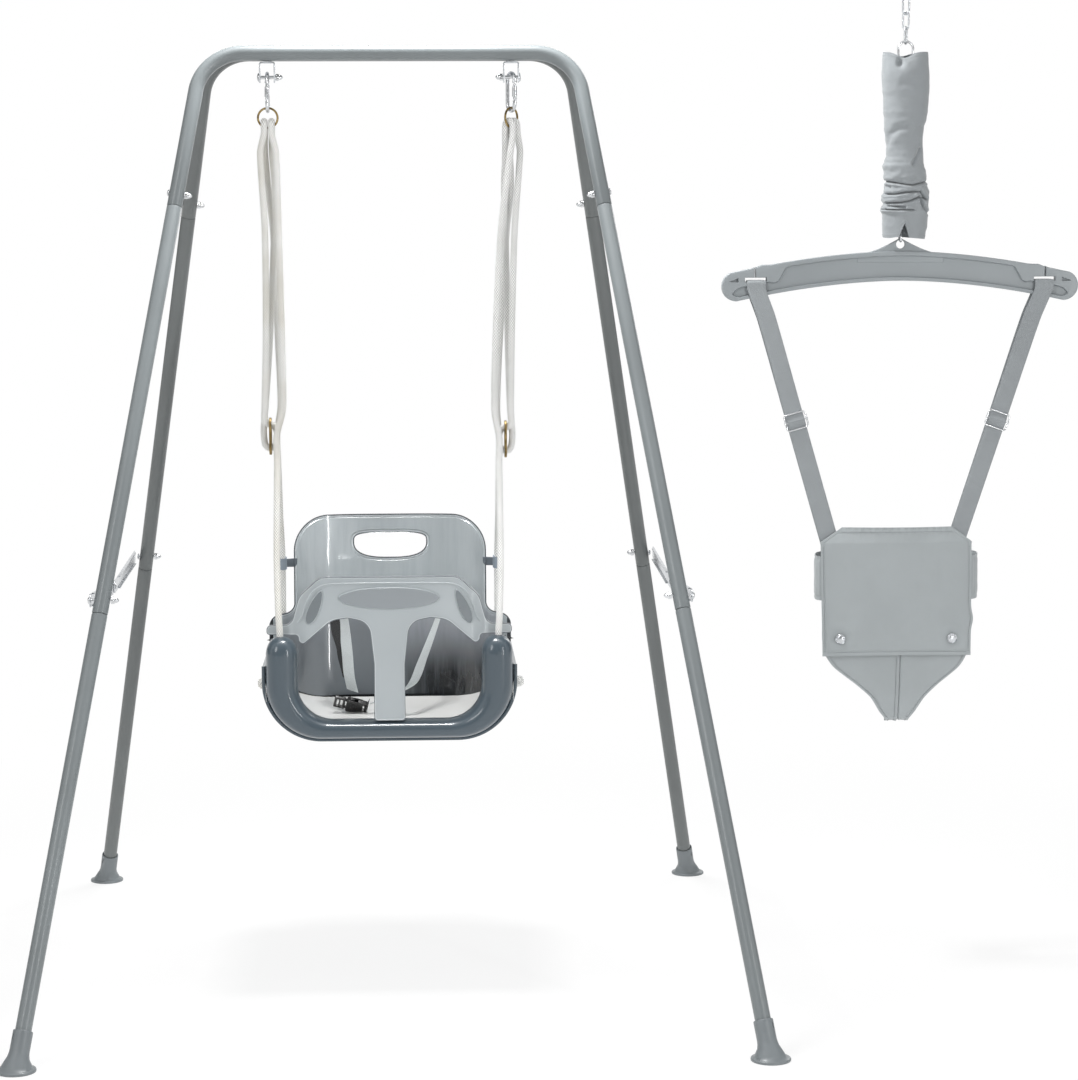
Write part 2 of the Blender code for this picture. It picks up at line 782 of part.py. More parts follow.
def build_hangers():
    """Steel hangers: each holds the rear bar in its clip and carries a bolt for the swing."""
    under = BAR_HEIGHT - TUBE_R - GAP
    for side, label in ((-1, "left"), (1, "right")):
        x = FRAME_X + side * HANGER_X
        radius = TUBE_R + GAP
        rear = (BAR_SPACING / 2, BAR_HEIGHT)
        inner = arc(rear, radius, -90, 128, 12)
        outer = arc(rear, radius + CLIP_SHEET, 128, -90, 12)
        front_end = -BAR_SPACING / 2 - HANGER_DEPTH * 0.18
        outline = [(front_end, under)] + inner + outer + [(front_end, under - CLIP_SHEET)]
        turn = Matrix.Rotation(math.radians(90), 4, "Z")
        place = Matrix.Translation((x, 0, 0)) @ turn
        clip = plate(f"hanger_clip_{label}", outline, CLIP_WIDTH, CHROME, place=place)
        base = under - CLIP_SHEET + HANGER_SHEET * 0.1
        half = HANGER_LEG_SPACING / 2 + HANGER_SHEET / 2
        foot_z = under - HANGER_BOLT_DROP - HANGER_TAIL
        legs = rounded(
            [
                (-half, foot_z, 0.0),
                (-half, base, 0.0025),
                (half, base, 0.0025),
                (half, foot_z, 0.0),
                (half - HANGER_SHEET, foot_z, 0.0),
                (half - HANGER_SHEET, base - HANGER_SHEET, 0.001),
                (-half + HANGER_SHEET, base - HANGER_SHEET, 0.001),
                (-half + HANGER_SHEET, foot_z, 0.0),
            ],
            3,
        )
        level = Matrix.Translation((x, 0, 0))
        bracket = plate(f"hanger_bracket_{label}", legs, HANGER_DEPTH, CHROME, place=level)
        cut(bracket, clip, "UNION")
        bolt_z = under - HANGER_BOLT_DROP
        centre = Vector((x, 0, bolt_z))
        reach = Vector((0.03, 0, 0))
        radius = BOLT_SHANK / 2 + HOLE_PLAY
        cut(bracket, rod_cutter(f"hanger_hole_{label}", centre - reach, centre + reach, radius))
        through_bolt(
            f"hanger_bolt_{label}",
            centre,
            (side, 0, 0),
            half + GAP,
            half + GAP,
            head=HANGER_HEAD,
        )
    return under - HANGER_BOLT_DROP


def carabiner(name, place, gate_name):
    """A snap hook with its gate; place has its origin at the top, Z up and X towards the gate."""
    r = CARABINER_WIRE / 2
    half = CARABINER_WIDTH / 2 - r
    top = -r
    bottom = -CARABINER_LENGTH + r
    hinge_z = bottom + half + 0.004
    latch_z = top - half - 0.004
    points = [Vector((half, 0, hinge_z))]
    points += [Vector((x, 0, z)) for x, z in arc((0, bottom + half), half, 0, -180, 8)]
    points += [Vector((-half, 0, (top + bottom) / 2))]
    points += [Vector((x, 0, z)) for x, z in arc((0, top - half), half, 180, 0, 8)]
    points += [Vector((half, 0, latch_z))]
    wire(name, [place @ p for p in points], r, CHROME, sides=2)
    low = hinge_z + GAP
    high = latch_z - GAP
    thin = GATE_WIRE / 2
    thick = GATE_SLEEVE / 2
    profile = [
        (0, low),
        (thin * 0.5, low + thin * 0.134),
        (thin * 0.866, low + thin * 0.5),
        (thin, low + thin),
        (thin, low + 0.004),
        (thick, low + 0.005),
        (thick, high - 0.004),
        (thin, high - 0.003),
        (thin, high),
        (0, high),
    ]
    shift = Matrix.Translation((half, 0, 0))
    gate = turned(gate_name, profile, place @ shift, CHROME, 10)
    hinge = pivot(f"{gate_name}_hinge", place @ Vector((half, 0, low + thin)))
    adopt([gate], hinge)
    return place @ Vector((0, 0, bottom))


def ring(name, centre, turn):
    """A round wire ring that stands upright, turned about Z from facing the front."""
    radius = (RING_DIAMETER - RING_WIRE) / 2
    steps = 20
    points = []
    for k in range(steps):
        a = 2 * math.pi * k / steps
        flat = Vector((radius * math.cos(a), 0, radius * math.sin(a)))
        points.append(Vector(centre) + Matrix.Rotation(turn, 3, "Z") @ flat)
    wire(name, points, RING_WIRE / 2, BRASS, sides=1, cyclic=True)


def adjuster(side, label):
    """A brass plate on edge with three holes in a row, through which the rope is laced."""
    half = ADJUSTER_LENGTH / 2
    width = ADJUSTER_WIDTH / 2
    outline = arc((0, half - width), width, 0, 180, 8) + arc((0, width - half), width, 180, 360, 8)
    out = side * (ADJUSTER_X - ADJUSTER_INWARD[side])
    centre = Vector((FRAME_X + out, ADJUSTER_Y, ADJUSTER_Z - ADJUSTER_DROP[side]))
    turn = Matrix.Rotation(math.radians(90), 4, "Z")
    made = plate(
        f"rope_adjuster_{label}",
        outline,
        ADJUSTER_SHEET,
        BRASS,
        edge=0.0008,
        edge_steps=1,
        place=Matrix.Translation(centre) @ turn,
    )
    reach = Vector((0.01, 0, 0))
    for k in (-1, 0, 1):
        spot = centre + Vector((0, 0, k * ADJUSTER_HOLE_PITCH))
        hole = rod_cutter(f"adjuster_hole_{label}_{k}", spot - reach, spot + reach, ADJUSTER_HOLE / 2)
        cut(made, hole)


def rope_route(side, ring_centre, turn):
    """The route of one rope: seat post, ring, lacing, ring again, rear corner of the seat."""
    under, upper, middle, over = ROPE_INWARD[side]
    level = ADJUSTER_Z - ADJUSTER_DROP[side]

    def beside(out, y, z):
        return Vector((FRAME_X + side * (ADJUSTER_X - ADJUSTER_INWARD[side] + out), y, z))

    def seat_side(x, y, z):
        return Vector((SEAT_X + side * x, y, z))

    def at_ring(lane, angle, drop=0.0):
        angle = math.radians(angle)
        rise = RING_ROPE_RISE * math.sin(angle) - drop
        local = Vector((side * lane, -RING_ROPE_REACH * math.cos(angle), rise))
        base = Vector(ring_centre) - Vector((0, 0, (RING_DIAMETER - RING_WIRE) / 2))
        return base + Matrix.Rotation(turn, 3, "Z") @ local

    high = level + ADJUSTER_HOLE_PITCH
    low = level - ADJUSTER_HOLE_PITCH
    clear = (ROPE + ADJUSTER_SHEET) / 2 + PLAY
    lane = ROPE / 2 + PLAY
    return [
        seat_side(POST_X, ROLL_Y, TRAY_POST_TOP + GAP),
        seat_side(POST_X, ROLL_Y, TRAY_POST_TOP + 0.006),
        seat_side(POST_X + 0.0015, ROLL_Y + 0.0045, TRAY_POST_TOP + 0.026),
        beside(-0.0103, -0.0780, ROPE_OVER_SEAT),
        beside(-clear - 0.0030, -0.0190, low - 0.016),
        beside(-clear - 0.0022, -0.0125, level),
        beside(-0.0125 - over, -0.0115, high + 0.025),
        beside(-0.0130 - middle, -0.0125, ROPE_MIDDLE),
        beside(-0.0120 - upper, -0.0105, ROPE_UPPER),
        at_ring(-lane * RING_SPREAD, 0, 0.035),
        at_ring(-lane, 0, 0.008),
        at_ring(-lane, 30),
        at_ring(-lane, 62),
        at_ring(-lane, 90),
        at_ring(-lane, 118),
        at_ring(-lane, 150),
        at_ring(-lane, 180, 0.008),
        at_ring(-lane, 180, 0.035),
        beside(-0.0085 - under, 0.0066, ROPE_UNDER_RING),
        beside(-0.0050 - upper, 0.0062, ROPE_UPPER),
        beside(0.0050 - middle, 0.0120, ROPE_MIDDLE),
        beside(0.0092 - LACE_INWARD, 0.0150, high + 0.026),
        beside(0.0100, 0.0120, level + 0.006),
        beside(0.0080, ADJUSTER_Y + 0.0022, low + 0.0052),
        beside(0.0040, ADJUSTER_Y, low + 0.0006),
        beside(0.0, ADJUSTER_Y, low),
        beside(-0.0042, ADJUSTER_Y, low + 0.0008),
        beside(-0.0084, ADJUSTER_Y, low + 0.0070),
        beside(-0.0092, ADJUSTER_Y, level),
        beside(-0.0084, ADJUSTER_Y, high - 0.0070),
        beside(-0.0042, ADJUSTER_Y, high - 0.0008),
        beside(0.0, ADJUSTER_Y, high),
        beside(0.0040, ADJUSTER_Y - 0.0008, high + 0.0012),
        beside(0.0082, ADJUSTER_Y - 0.0030, high + 0.0080),
        beside(0.0096 - LACE_INWARD, ADJUSTER_Y - 0.0050, high + 0.024),
        beside(0.0100 - middle, -0.0040, ROPE_MIDDLE),
        beside(0.0075 - upper, -0.0070, ROPE_UPPER),
        at_ring(lane * RING_SPREAD, 0, 0.035),
        at_ring(lane, 0, 0.008),
        at_ring(lane, 30),
        at_ring(lane, 62),
        at_ring(lane, 90),
        at_ring(lane, 118),
        at_ring(lane, 150),
        at_ring(lane, 180, 0.008),
        at_ring(lane, 180, 0.035),
        beside(0.0010 - under, 0.0135, ROPE_UNDER_RING),
        beside(-0.0030 - upper, 0.0195, ROPE_UPPER),
        beside(-0.0060 - middle, 0.0225, ROPE_MIDDLE),
        beside(-0.0080 - over, 0.0205, high + 0.026),
        beside(-0.0085, 0.0215, level),
        beside(-0.0090, 0.0280, low - 0.016),
        beside(-0.0085, 0.0780, ROPE_OVER_CLIP),
        seat_side(CLIP_X, CLIP_Y - 0.007, CLIP_Z + 0.020),
        seat_side(CLIP_X, CLIP_Y, CLIP_Z),
        seat_side(CLIP_X, CLIP_Y + 0.003, CLIP_Z - 0.020),
        seat_side(CLIP_X, CLIP_Y + 0.001, ROPE_TO_BACK),
        seat_side(CLIP_X, KNOT_Y + 0.003, ROPE_TO_KNOT),
        seat_side(CLIP_X - 0.0015, KNOT_Y + 0.001, KNOT_Z + 0.018),
        seat_side(CLIP_X + 0.0025, KNOT_Y, KNOT_Z + 0.0055),
        seat_side(CLIP_X + 0.0100, KNOT_Y, KNOT_Z),
        seat_side(KNOT_START, KNOT_Y, KNOT_Z),
        seat_side(KNOT_START + KNOT_LENGTH * 0.5, KNOT_Y, KNOT_Z),
        seat_side(KNOT_START + KNOT_LENGTH, KNOT_Y, KNOT_Z),
    ]


def least_rope_gap(points):
    """The least clear distance between strands of one rope that are not neighbours on it."""
    lengths = [0.0]
    for a, b in zip(points, points[1:]):
        lengths.append(lengths[-1] + (b - a).length)
    least = 1.0
    for i, a in enumerate(points):
        for j in range(i + 1, len(points)):
            if lengths[j] - lengths[i] > ROPE * 2.2:
                least = min(least, (points[j] - a).length)
    return least - ROPE, lengths[-1]


def swell_knot(rope, side):
    """Swells the end of a rope outside the seat into its stopper knot."""
    for point in rope.data.splines[0].points:
        out = (point.co.x - SEAT_X) * side
        if out > KNOT_START and abs(point.co.z - KNOT_Z) < 0.003:
            along = min(1.0, (out - KNOT_START) / KNOT_LENGTH)
            point.radius = 1 + (KNOT_SIZE - 1) * math.sin(math.pi * (along * 0.75 + 0.12))


def rope_way(name, side, low, high):
    """A cutter along the rear strand of a rope, between two heights."""
    route = rope_route(side, Vector((FRAME_X + side * HANGER_X, 0, BAR_HEIGHT - HANGER_BOLT_DROP)), 0.0)
    line = through(route, ROPE * 0.5)[-60:]
    near = [p for p in line if low < p.z < high and p.y > 0.06]
    return mesh_of(wire(name, near, ROPE / 2 + ROPE_WAY_PLAY, MID_GREY, sides=2))


def build_ropes(bolt_z):
    """Carabiners, rings, ropes and adjusters of the swing, one set on each side."""
    for side, label in ((-1, "left"), (1, "right")):
        x = FRAME_X + side * HANGER_X
        turn = RIGHT_HOOK_TURN if side > 0 else 0.0
        top = bolt_z + BOLT_SHANK / 2 + GAP + CARABINER_WIRE
        place = Matrix.Translation((x, 0, top)) @ Matrix.Rotation(turn - math.radians(90), 4, "Z")
        seat = carabiner(f"carabiner_{label}", place, f"carabiner_gate_{label}")
        drop = (CARABINER_WIRE + RING_WIRE) / 2 + GAP
        centre = seat + Vector((0, 0, drop - (RING_DIAMETER - RING_WIRE) / 2))
        ring(f"swing_ring_{label}", centre, RIGHT_RING_TURN if side > 0 else 0.0)
        adjuster(side, label)
        route = rope_route(side, centre, RIGHT_RING_TURN if side > 0 else 0.0)
        points = through(route, ROPE * 3.6)
        gap, length = least_rope_gap(through(route, ROPE * 0.4))
        print(f"{label} rope: {length:.3f} m long, least gap between strands {gap * 1000:.2f} mm")
        rope = wire(f"swing_rope_{label}", points, ROPE / 2, ROPE_WHITE, sides=2)
        swell_knot(rope, side)


def tray_contours(half, bottom, corner, top, steps=7, flat=3):
    """Points of a U from its left post top round the bottom to the right post top."""
    left = [(-half, top + (bottom + corner - top) * k / flat) for k in range(flat)]
    turn = arc((-half + corner, bottom + corner), corner, 180, 270, steps)
    middle = [(0.0, bottom)]
    right = [(-x, z) for x, z in reversed(left + turn)]
    return left + turn + middle + right


def build_tray():
    """The blown seat tray: a rolled U at the front and a thin scoop behind it."""
    outer = tray_contours(TRAY_HALF, TRAY_BOTTOM, TRAY_CORNER, TRAY_POST_TOP - 0.006)
    inner = tray_contours(TRAY_INNER_HALF, TRAY_INNER_BOTTOM, TRAY_INNER_CORNER, TRAY_POST_TOP - 0.006)
    rings = []

    def section(a, b, shrink=1.0, lift=0.0):
        a, b = Vector(a), Vector(b)
        centre = (a + b) / 2
        across = (a - b) / 2
        ring = []
        count = 14
        for k in range(count):
            angle = 2 * math.pi * (k + 0.5) / count
            c, s = math.cos(angle), math.sin(angle)
            u = math.copysign(abs(c) ** ROLL_SQUARENESS, c) * shrink
            v = math.copysign(abs(s) ** ROLL_SQUARENESS, s) * shrink
            spot = centre + across * u
            ring.append((SEAT_X + spot.x, ROLL_Y + v * ROLL_DEPTH / 2, spot.y + lift))
        return ring

    rings.append(section(outer[0], inner[0], POST_CAP_NARROW, 0.006))
    rings.append(section(outer[0], inner[0], POST_CAP_WIDE, 0.0045))
    rings += [section(a, b) for a, b in zip(outer, inner)]
    rings.append(section(outer[-1], inner[-1], POST_CAP_WIDE, 0.0045))
    rings.append(section(outer[-1], inner[-1], POST_CAP_NARROW, 0.006))
    tray = loft("seat_tray", rings, SLATE)
    radius = TRAY_CORNER + (SCOOP_HALF - TRAY_HALF)
    outside = tray_contours(SCOOP_HALF, SCOOP_BOTTOM, radius, SCOOP_TOP)
    inside = tray_contours(
        SCOOP_HALF - SCOOP_WALL, SCOOP_BOTTOM + SCOOP_WALL, radius - SCOOP_WALL, SCOOP_TOP
    )
    outline = [(SEAT_X + x, z) for x, z in outside + list(reversed(inside))]
    length = SCOOP_BACK - ROLL_Y
    scoop = plate(
        "tray_scoop", outline, length, SLATE, place=Matrix.Translation((0, ROLL_Y + length / 2, 0))
    )
    cut(tray, scoop, "UNION")
    for side in (-1, 1):
        cut(tray, rope_way(f"tray_way_{side}", side, KNOT_Z - 0.01, KNOT_Z + 0.03))


def build_backrest():
    """The backrest: a tall plate with a handle slot that wraps forward at its shoulders."""
    inside_half = SCOOP_HALF - SCOOP_WALL - BACK_CLEARANCE
    base = SCOOP_BOTTOM + SCOOP_WALL + BACK_CLEARANCE
    corner = TRAY_CORNER + (SCOOP_HALF - TRAY_HALF) - SCOOP_WALL - BACK_CLEARANCE
    step_z = SCOOP_TOP + BACK_CLEARANCE
    half = [
        (0.0, base, 0.0),
        (inside_half, base, corner),
        (inside_half, step_z, 0.0),
        (SHOULDER_HALF, step_z, 0.0),
        (SHOULDER_HALF, SHOULDER_TOP, 0.012),
        (BACK_HALF, SHOULDER_TOP, 0.014),
        (BACK_HALF, BACK_TOP, BACK_CORNER),
    ]
    mirrored = [(-x, z, r) for x, z, r in reversed(half[1:])]
    outline = rounded(half[1:] + mirrored, 6)

    def shape(x, y, z):
        forward = BACK_WRAP * (abs(x) / SHOULDER_HALF) ** 4
        return (SEAT_X + x, BACK_Y + y - forward + (z - base) * BACK_LEAN, z)

    cuts = [side * x for side in (-1, 1) for x in (0.0, 0.06, 0.095, 0.115, 0.132, 0.147, 0.160)][1:]
    slices = [((x, 0, 0), (1, 0, 0)) for x in cuts]
    made = plate("backrest", outline, BACK_SHEET, MID_GREY, 0.0015, 1, slices, shape=shape)
    slot = rounded(
        [
            (HANDLE_HALF, HANDLE_TOP, 0.012),
            (-HANDLE_HALF, HANDLE_TOP, 0.012),
            (-HANDLE_HALF + 0.004, HANDLE_BOTTOM + 0.006, 0.012),
            (0.0, HANDLE_BOTTOM - 0.003, 0.05),
            (HANDLE_HALF - 0.004, HANDLE_BOTTOM + 0.006, 0.012),
        ],
        5,
    )
    tool = plate("handle_slot", slot, 0.12, CHROME, place=Matrix.Translation((SEAT_X, BACK_Y, 0)))
    cut(made, tool)
    for side in (-1, 1):
        near = BACK_HALF - 0.012
        far = CLIP_X + ROPE / 2 + ROPE_WAY_PLAY + 0.0025
        xs = sorted((SEAT_X + side * near, SEAT_X + side * far))
        low = (xs[0], CLIP_Y - 0.013, CLIP_Z - CLIP_HEIGHT / 2)
        high = (xs[1], CLIP_Y + 0.021, CLIP_Z + CLIP_HEIGHT / 2)
        cut(made, box_cutter(f"rope_clip_{side}", low, high), "UNION")
        cut(made, rope_way(f"clip_way_{side}", side, CLIP_Z - 0.03, CLIP_Z + 0.03))


def back_front(x, z):
    """How far back the front face of the backrest lies at a place across it."""
    base = SCOOP_BOTTOM + SCOOP_WALL + BACK_CLEARANCE
    forward = BACK_WRAP * (abs(x) / SHOULDER_HALF) ** 4
    return BACK_Y - forward + (z - base) * BACK_LEAN - BACK_SHEET / 2


def build_guard():
    """The T-shaped guard: a wide head over the tray posts and a post down to the roll."""
    ear_bottom = TRAY_POST_TOP + GUARD_SEAT_GAP + GAP
    post_bottom = TRAY_INNER_BOTTOM + GUARD_SEAT_GAP
    inner_x = TRAY_INNER_HALF - 0.0016
    right = [
        (GUARD_POST_HALF, post_bottom, 0.001),
        (GUARD_POST_HALF, 0.455, 0.02),
        (GUARD_ARCH_X - 0.030, GUARD_ARCH_TOP - 0.006, 0.022),
        (GUARD_ARCH_X, GUARD_ARCH_TOP, 0.016),
        (GUARD_ARCH_X + 0.022, GUARD_ARCH_TOP - 0.003, 0.03),
        (inner_x, 0.476, 0.004),
        (inner_x, ear_bottom, 0.0035),
        (GUARD_EAR_HALF, ear_bottom, 0.003),
        (GUARD_EAR_HALF, GUARD_EAR_TOP, 0.006),
        (0.1365, GUARD_EAR_TOP + 0.001, 0.014),
        (0.1255, 0.548, 0.030),
        (GUARD_TOP_HALF, GUARD_TOP, 0.024),
    ]
    left = [(-x, z, r) for x, z, r in reversed(right)]
    outline = rounded(right + left, 3)

    def shape(x, y, z):
        back = GUARD_BOW * (abs(x) / GUARD_EAR_HALF) ** 2
        return (SEAT_X + x, GUARD_Y + y + back + (z - ear_bottom) * GUARD_LEAN, z)

    steps = [-0.115, -0.08, -0.04, 0.0, 0.04, 0.08, 0.115]
    slices = [((x, 0, 0), (1, 0, 0)) for x in steps]
    slices.append(((0, 0, ear_bottom), (0, 0, 1)))
    guard = plate("t_guard", outline, GUARD_SHEET, LIGHT_GREY, GUARD_EDGE, 1, slices, shape=shape)
    front = GUARD_Y - GUARD_SHEET / 2 + (0.546 - ear_bottom) * GUARD_LEAN
    dish = ring_points(
        Matrix.Translation((SEAT_X, 0, 0.546)) @ Matrix.Rotation(math.radians(90), 4, "X"),
        0.0715,
        0.0165,
        20,
    )
    near = [(p.x, front - 0.02, p.z) for p in dish]
    far = [(p.x, front + 0.0045, p.z) for p in dish]
    cut(guard, loft("guard_dish", [near, far], LIGHT_GREY))
    for side in (-1, 1):
        lean = Matrix.Rotation(side * math.radians(23), 4, "Y")
        spot = Matrix.Translation((SEAT_X + side * 0.1035, 0, 0.5335)) @ lean
        pad = ring_points(spot @ Matrix.Rotation(math.radians(90), 4, "X"), 0.0085, 0.0265, 14)
        near = [(p.x, front - 0.02, p.z) for p in pad]
        far = [(p.x, front + 0.0050, p.z) for p in pad]
        cut(guard, loft(f"guard_pad_{side}", [near, far], LIGHT_GREY))
        hole = Matrix.Translation((SEAT_X + side * (POST_X + 0.003), ROLL_Y + 0.001, 0))
        low = ring_points(hole, GUARD_HOLE_X, GUARD_HOLE_Y, 16, lift=ear_bottom - 0.02)
        high = ring_points(hole, GUARD_HOLE_X, GUARD_HOLE_Y, 16, lift=GUARD_EAR_TOP + 0.03)
        cut(guard, loft(f"guard_rope_hole_{side}", [low, high], LIGHT_GREY))


def ribbon(name, points, widths, thickness, look):
    """A flat band along points; widths are vectors across it at each point."""
    rings = []
    count = len(points)
    for i, (point, width) in enumerate(zip(points, widths)):
        ahead = points[min(i + 1, count - 1)] - points[max(i - 1, 0)]
        normal = ahead.cross(width).normalized() * thickness / 2
        half = width / 2
        near, far = point - normal, point + normal
        rings.append([near - half, near + half, far + half, far - half])
    return loft(name, rings, look)


def build_belts():
    """The two lap belts from the backrest, and the buckle that joins them."""
    for side, label, lower_route in (
        (-1, "left", [(-0.0630, 0.055, 0.445), (-0.0600, 0.040, 0.412), (-0.0550, 0.035, 0.3900)]),
        (1, "right", [(0.0457, 0.040, 0.4326), (0.0287, 0.014, 0.400), (-0.0228, 0.032, 0.3738)]),
    ):
        route = [
            Vector((side * 0.081, back_front(0.081, 0.520) - 2.4 * BELT_SHEET, 0.520)),
            Vector((side * 0.077, 0.105, 0.516)),
            Vector((side * 0.0690, 0.090, 0.487)),
            *[Vector(spot) for spot in lower_route],
        ]
        route = [spot + Vector((SEAT_X, 0, 0)) for spot in route]
        points = through(route, 0.020)
        widths = []
        for i in range(len(points)):
            t = i / (len(points) - 1)
            upright = Vector((side * 0.25, -0.2 * (1 - t), 1.0))
            turn = upright.lerp(Vector((1.0, 0.1, 0.25 * side)), min(1, t * 1.3))
            widths.append(turn.normalized() * BELT_WIDTH)
        ribbon(f"lap_belt_{label}", points, widths, BELT_SHEET, WEBBING)
    outline = rounded(
        [
            (-0.024, -0.010, 0.004),
            (-0.020, -0.0125, 0.004),
            (0.022, -0.0110, 0.004),
            (0.024, 0.0110, 0.004),
            (-0.020, 0.0125, 0.004),
            (-0.024, 0.010, 0.004),
        ],
        2,
    )
    lay = (
        Matrix.Translation((SEAT_X - 0.0585, 0.035, 0.3700))
        @ Matrix.Rotation(math.radians(13), 4, "Y")
        @ Matrix.Rotation(math.radians(42), 4, "X")
    )
    plate("belt_buckle", outline, 0.010, BLACK, edge=0.002, edge_steps=1, place=lay)


def chain_link(name, centre, turn):
    """One welded oval link, standing upright."""
    r = (LINK_WIDTH - LINK_WIRE) / 2
    straight = LINK_REACH - r
    points = [(x, z + straight) for x, z in arc((0, 0), r, 0, 180, 6)]
    points += [(x, z - straight) for x, z in arc((0, 0), r, 180, 360, 6)]
    place = Matrix.Translation(centre) @ Matrix.Rotation(turn, 4, "Z")
    line = [place @ Vector((x, 0, z)) for x, z in points]
    wire(name, line, LINK_WIRE / 2, CHROME, sides=1, cyclic=True)


def build_chain():
    """The chain from which the jumper hangs; its top link stays with whatever holds it."""
    x = FRAME_X + JUMPER_X + HANG_SHIFT
    first = SPRING_HOOK_TOP - (SPRING_WIRE + LINK_WIRE) / 2 - GAP + LINK_REACH
    for k in range(len(LINK_TURNS)):
        turn = math.radians(LINK_TURNS[k])
        chain_link(f"chain_link_{k + 1}", (x, 0, first + k * LINK_PITCH), turn)


def build_spring():
    """The bounce spring: one unbroken wire with a hook at each end."""
    x = FRAME_X + JUMPER_X + HANG_SHIFT
    eye_x = FRAME_X + JUMPER_X
    r = (SPRING_DIAMETER - SPRING_WIRE) / 2
    per_turn = 8
    steps = SPRING_TURNS * per_turn
    coil = []
    for k in range(steps + 1):
        a = 2 * math.pi * k / per_turn
        z = SPRING_TOP + (SPRING_BOTTOM - SPRING_TOP) * k / steps
        coil.append(Vector((x + r * math.cos(a), r * math.sin(a), z)))
    gap = (SPRING_TOP - SPRING_BOTTOM) / SPRING_TURNS - SPRING_WIRE
    print(f"least gap between spring turns: {gap * 1000:.2f} mm")
    hook = SPRING_HOOK_RADIUS
    upper = [
        Vector((x - hook * 0.55, 0, SPRING_TOP + 0.012)),
        Vector((x - hook, 0, SPRING_HOOK_TOP - hook - 0.012)),
    ]
    upper += [
        Vector((x + px, 0, pz))
        for px, pz in arc((0, SPRING_HOOK_TOP - hook), hook, 180, -10, 8)
    ]
    upper = list(reversed(upper))
    upper.append(Vector((x + r * 0.5, -r * 0.55, SPRING_TOP + 0.006)))
    eye_top = SPREADER_TOP + SPREADER_EYE_RISE + SPREADER_HOLE / 2
    floor = eye_top - SPRING_WIRE / 2 - 2 * GAP
    lower = [
        Vector((x + r * 0.6, -r * 0.7, SPRING_BOTTOM - 0.007)),
        Vector((eye_x + r * 0.1, -LOWER_HOOK_HALF, SPRING_BOTTOM - 0.016)),
        Vector((eye_x, -LOWER_HOOK_HALF, floor + 0.006)),
        Vector((eye_x, -LOWER_HOOK_HALF * 0.88, floor + 0.0022)),
        Vector((eye_x, -LOWER_HOOK_HALF * 0.6, floor + 0.0003)),
        Vector((eye_x, 0, floor)),
        Vector((eye_x, LOWER_HOOK_HALF * 0.6, floor + 0.0003)),
        Vector((eye_x, LOWER_HOOK_HALF * 0.88, floor + 0.0022)),
        Vector((eye_x, LOWER_HOOK_HALF, floor + 0.006)),
        Vector((eye_x, LOWER_HOOK_HALF * 0.9, floor + 0.017)),
    ]
    wire("jumper_spring", upper + coil + lower, SPRING_WIRE / 2, CHROME, sides=1)


def build_sleeve():
    """The cloth sleeve over the spring, scrunched above its lower cuff."""
    x = FRAME_X + JUMPER_X + HANG_SHIFT
    r = SLEEVE_DIAMETER / 2
    folds = [
        (SLEEVE_TOP, 0.96),
        (1.268, 1.00),
        (1.207, 0.91),
        (1.165, 0.82),
        (1.130, 0.93),
        (1.121, 0.84),
        (1.105, 1.00),
        (1.096, 1.00),
        (1.088, 0.94),
        (1.080, 1.00),
        (1.063, 0.97),
        (SLEEVE_BOTTOM, 0.90),
    ]
    profile = [(r * k, z) for z, k in folds]
    profile += [(r * k - SLEEVE_CLOTH, z) for z, k in reversed(folds)]
    flat = Matrix.Translation((x, 0, 0)) @ Matrix.Diagonal((1.0, SLEEVE_FLATNESS, 1.0, 1.0))
    turned("spring_sleeve", profile, flat, CLOTH, sides=16, ring=True)


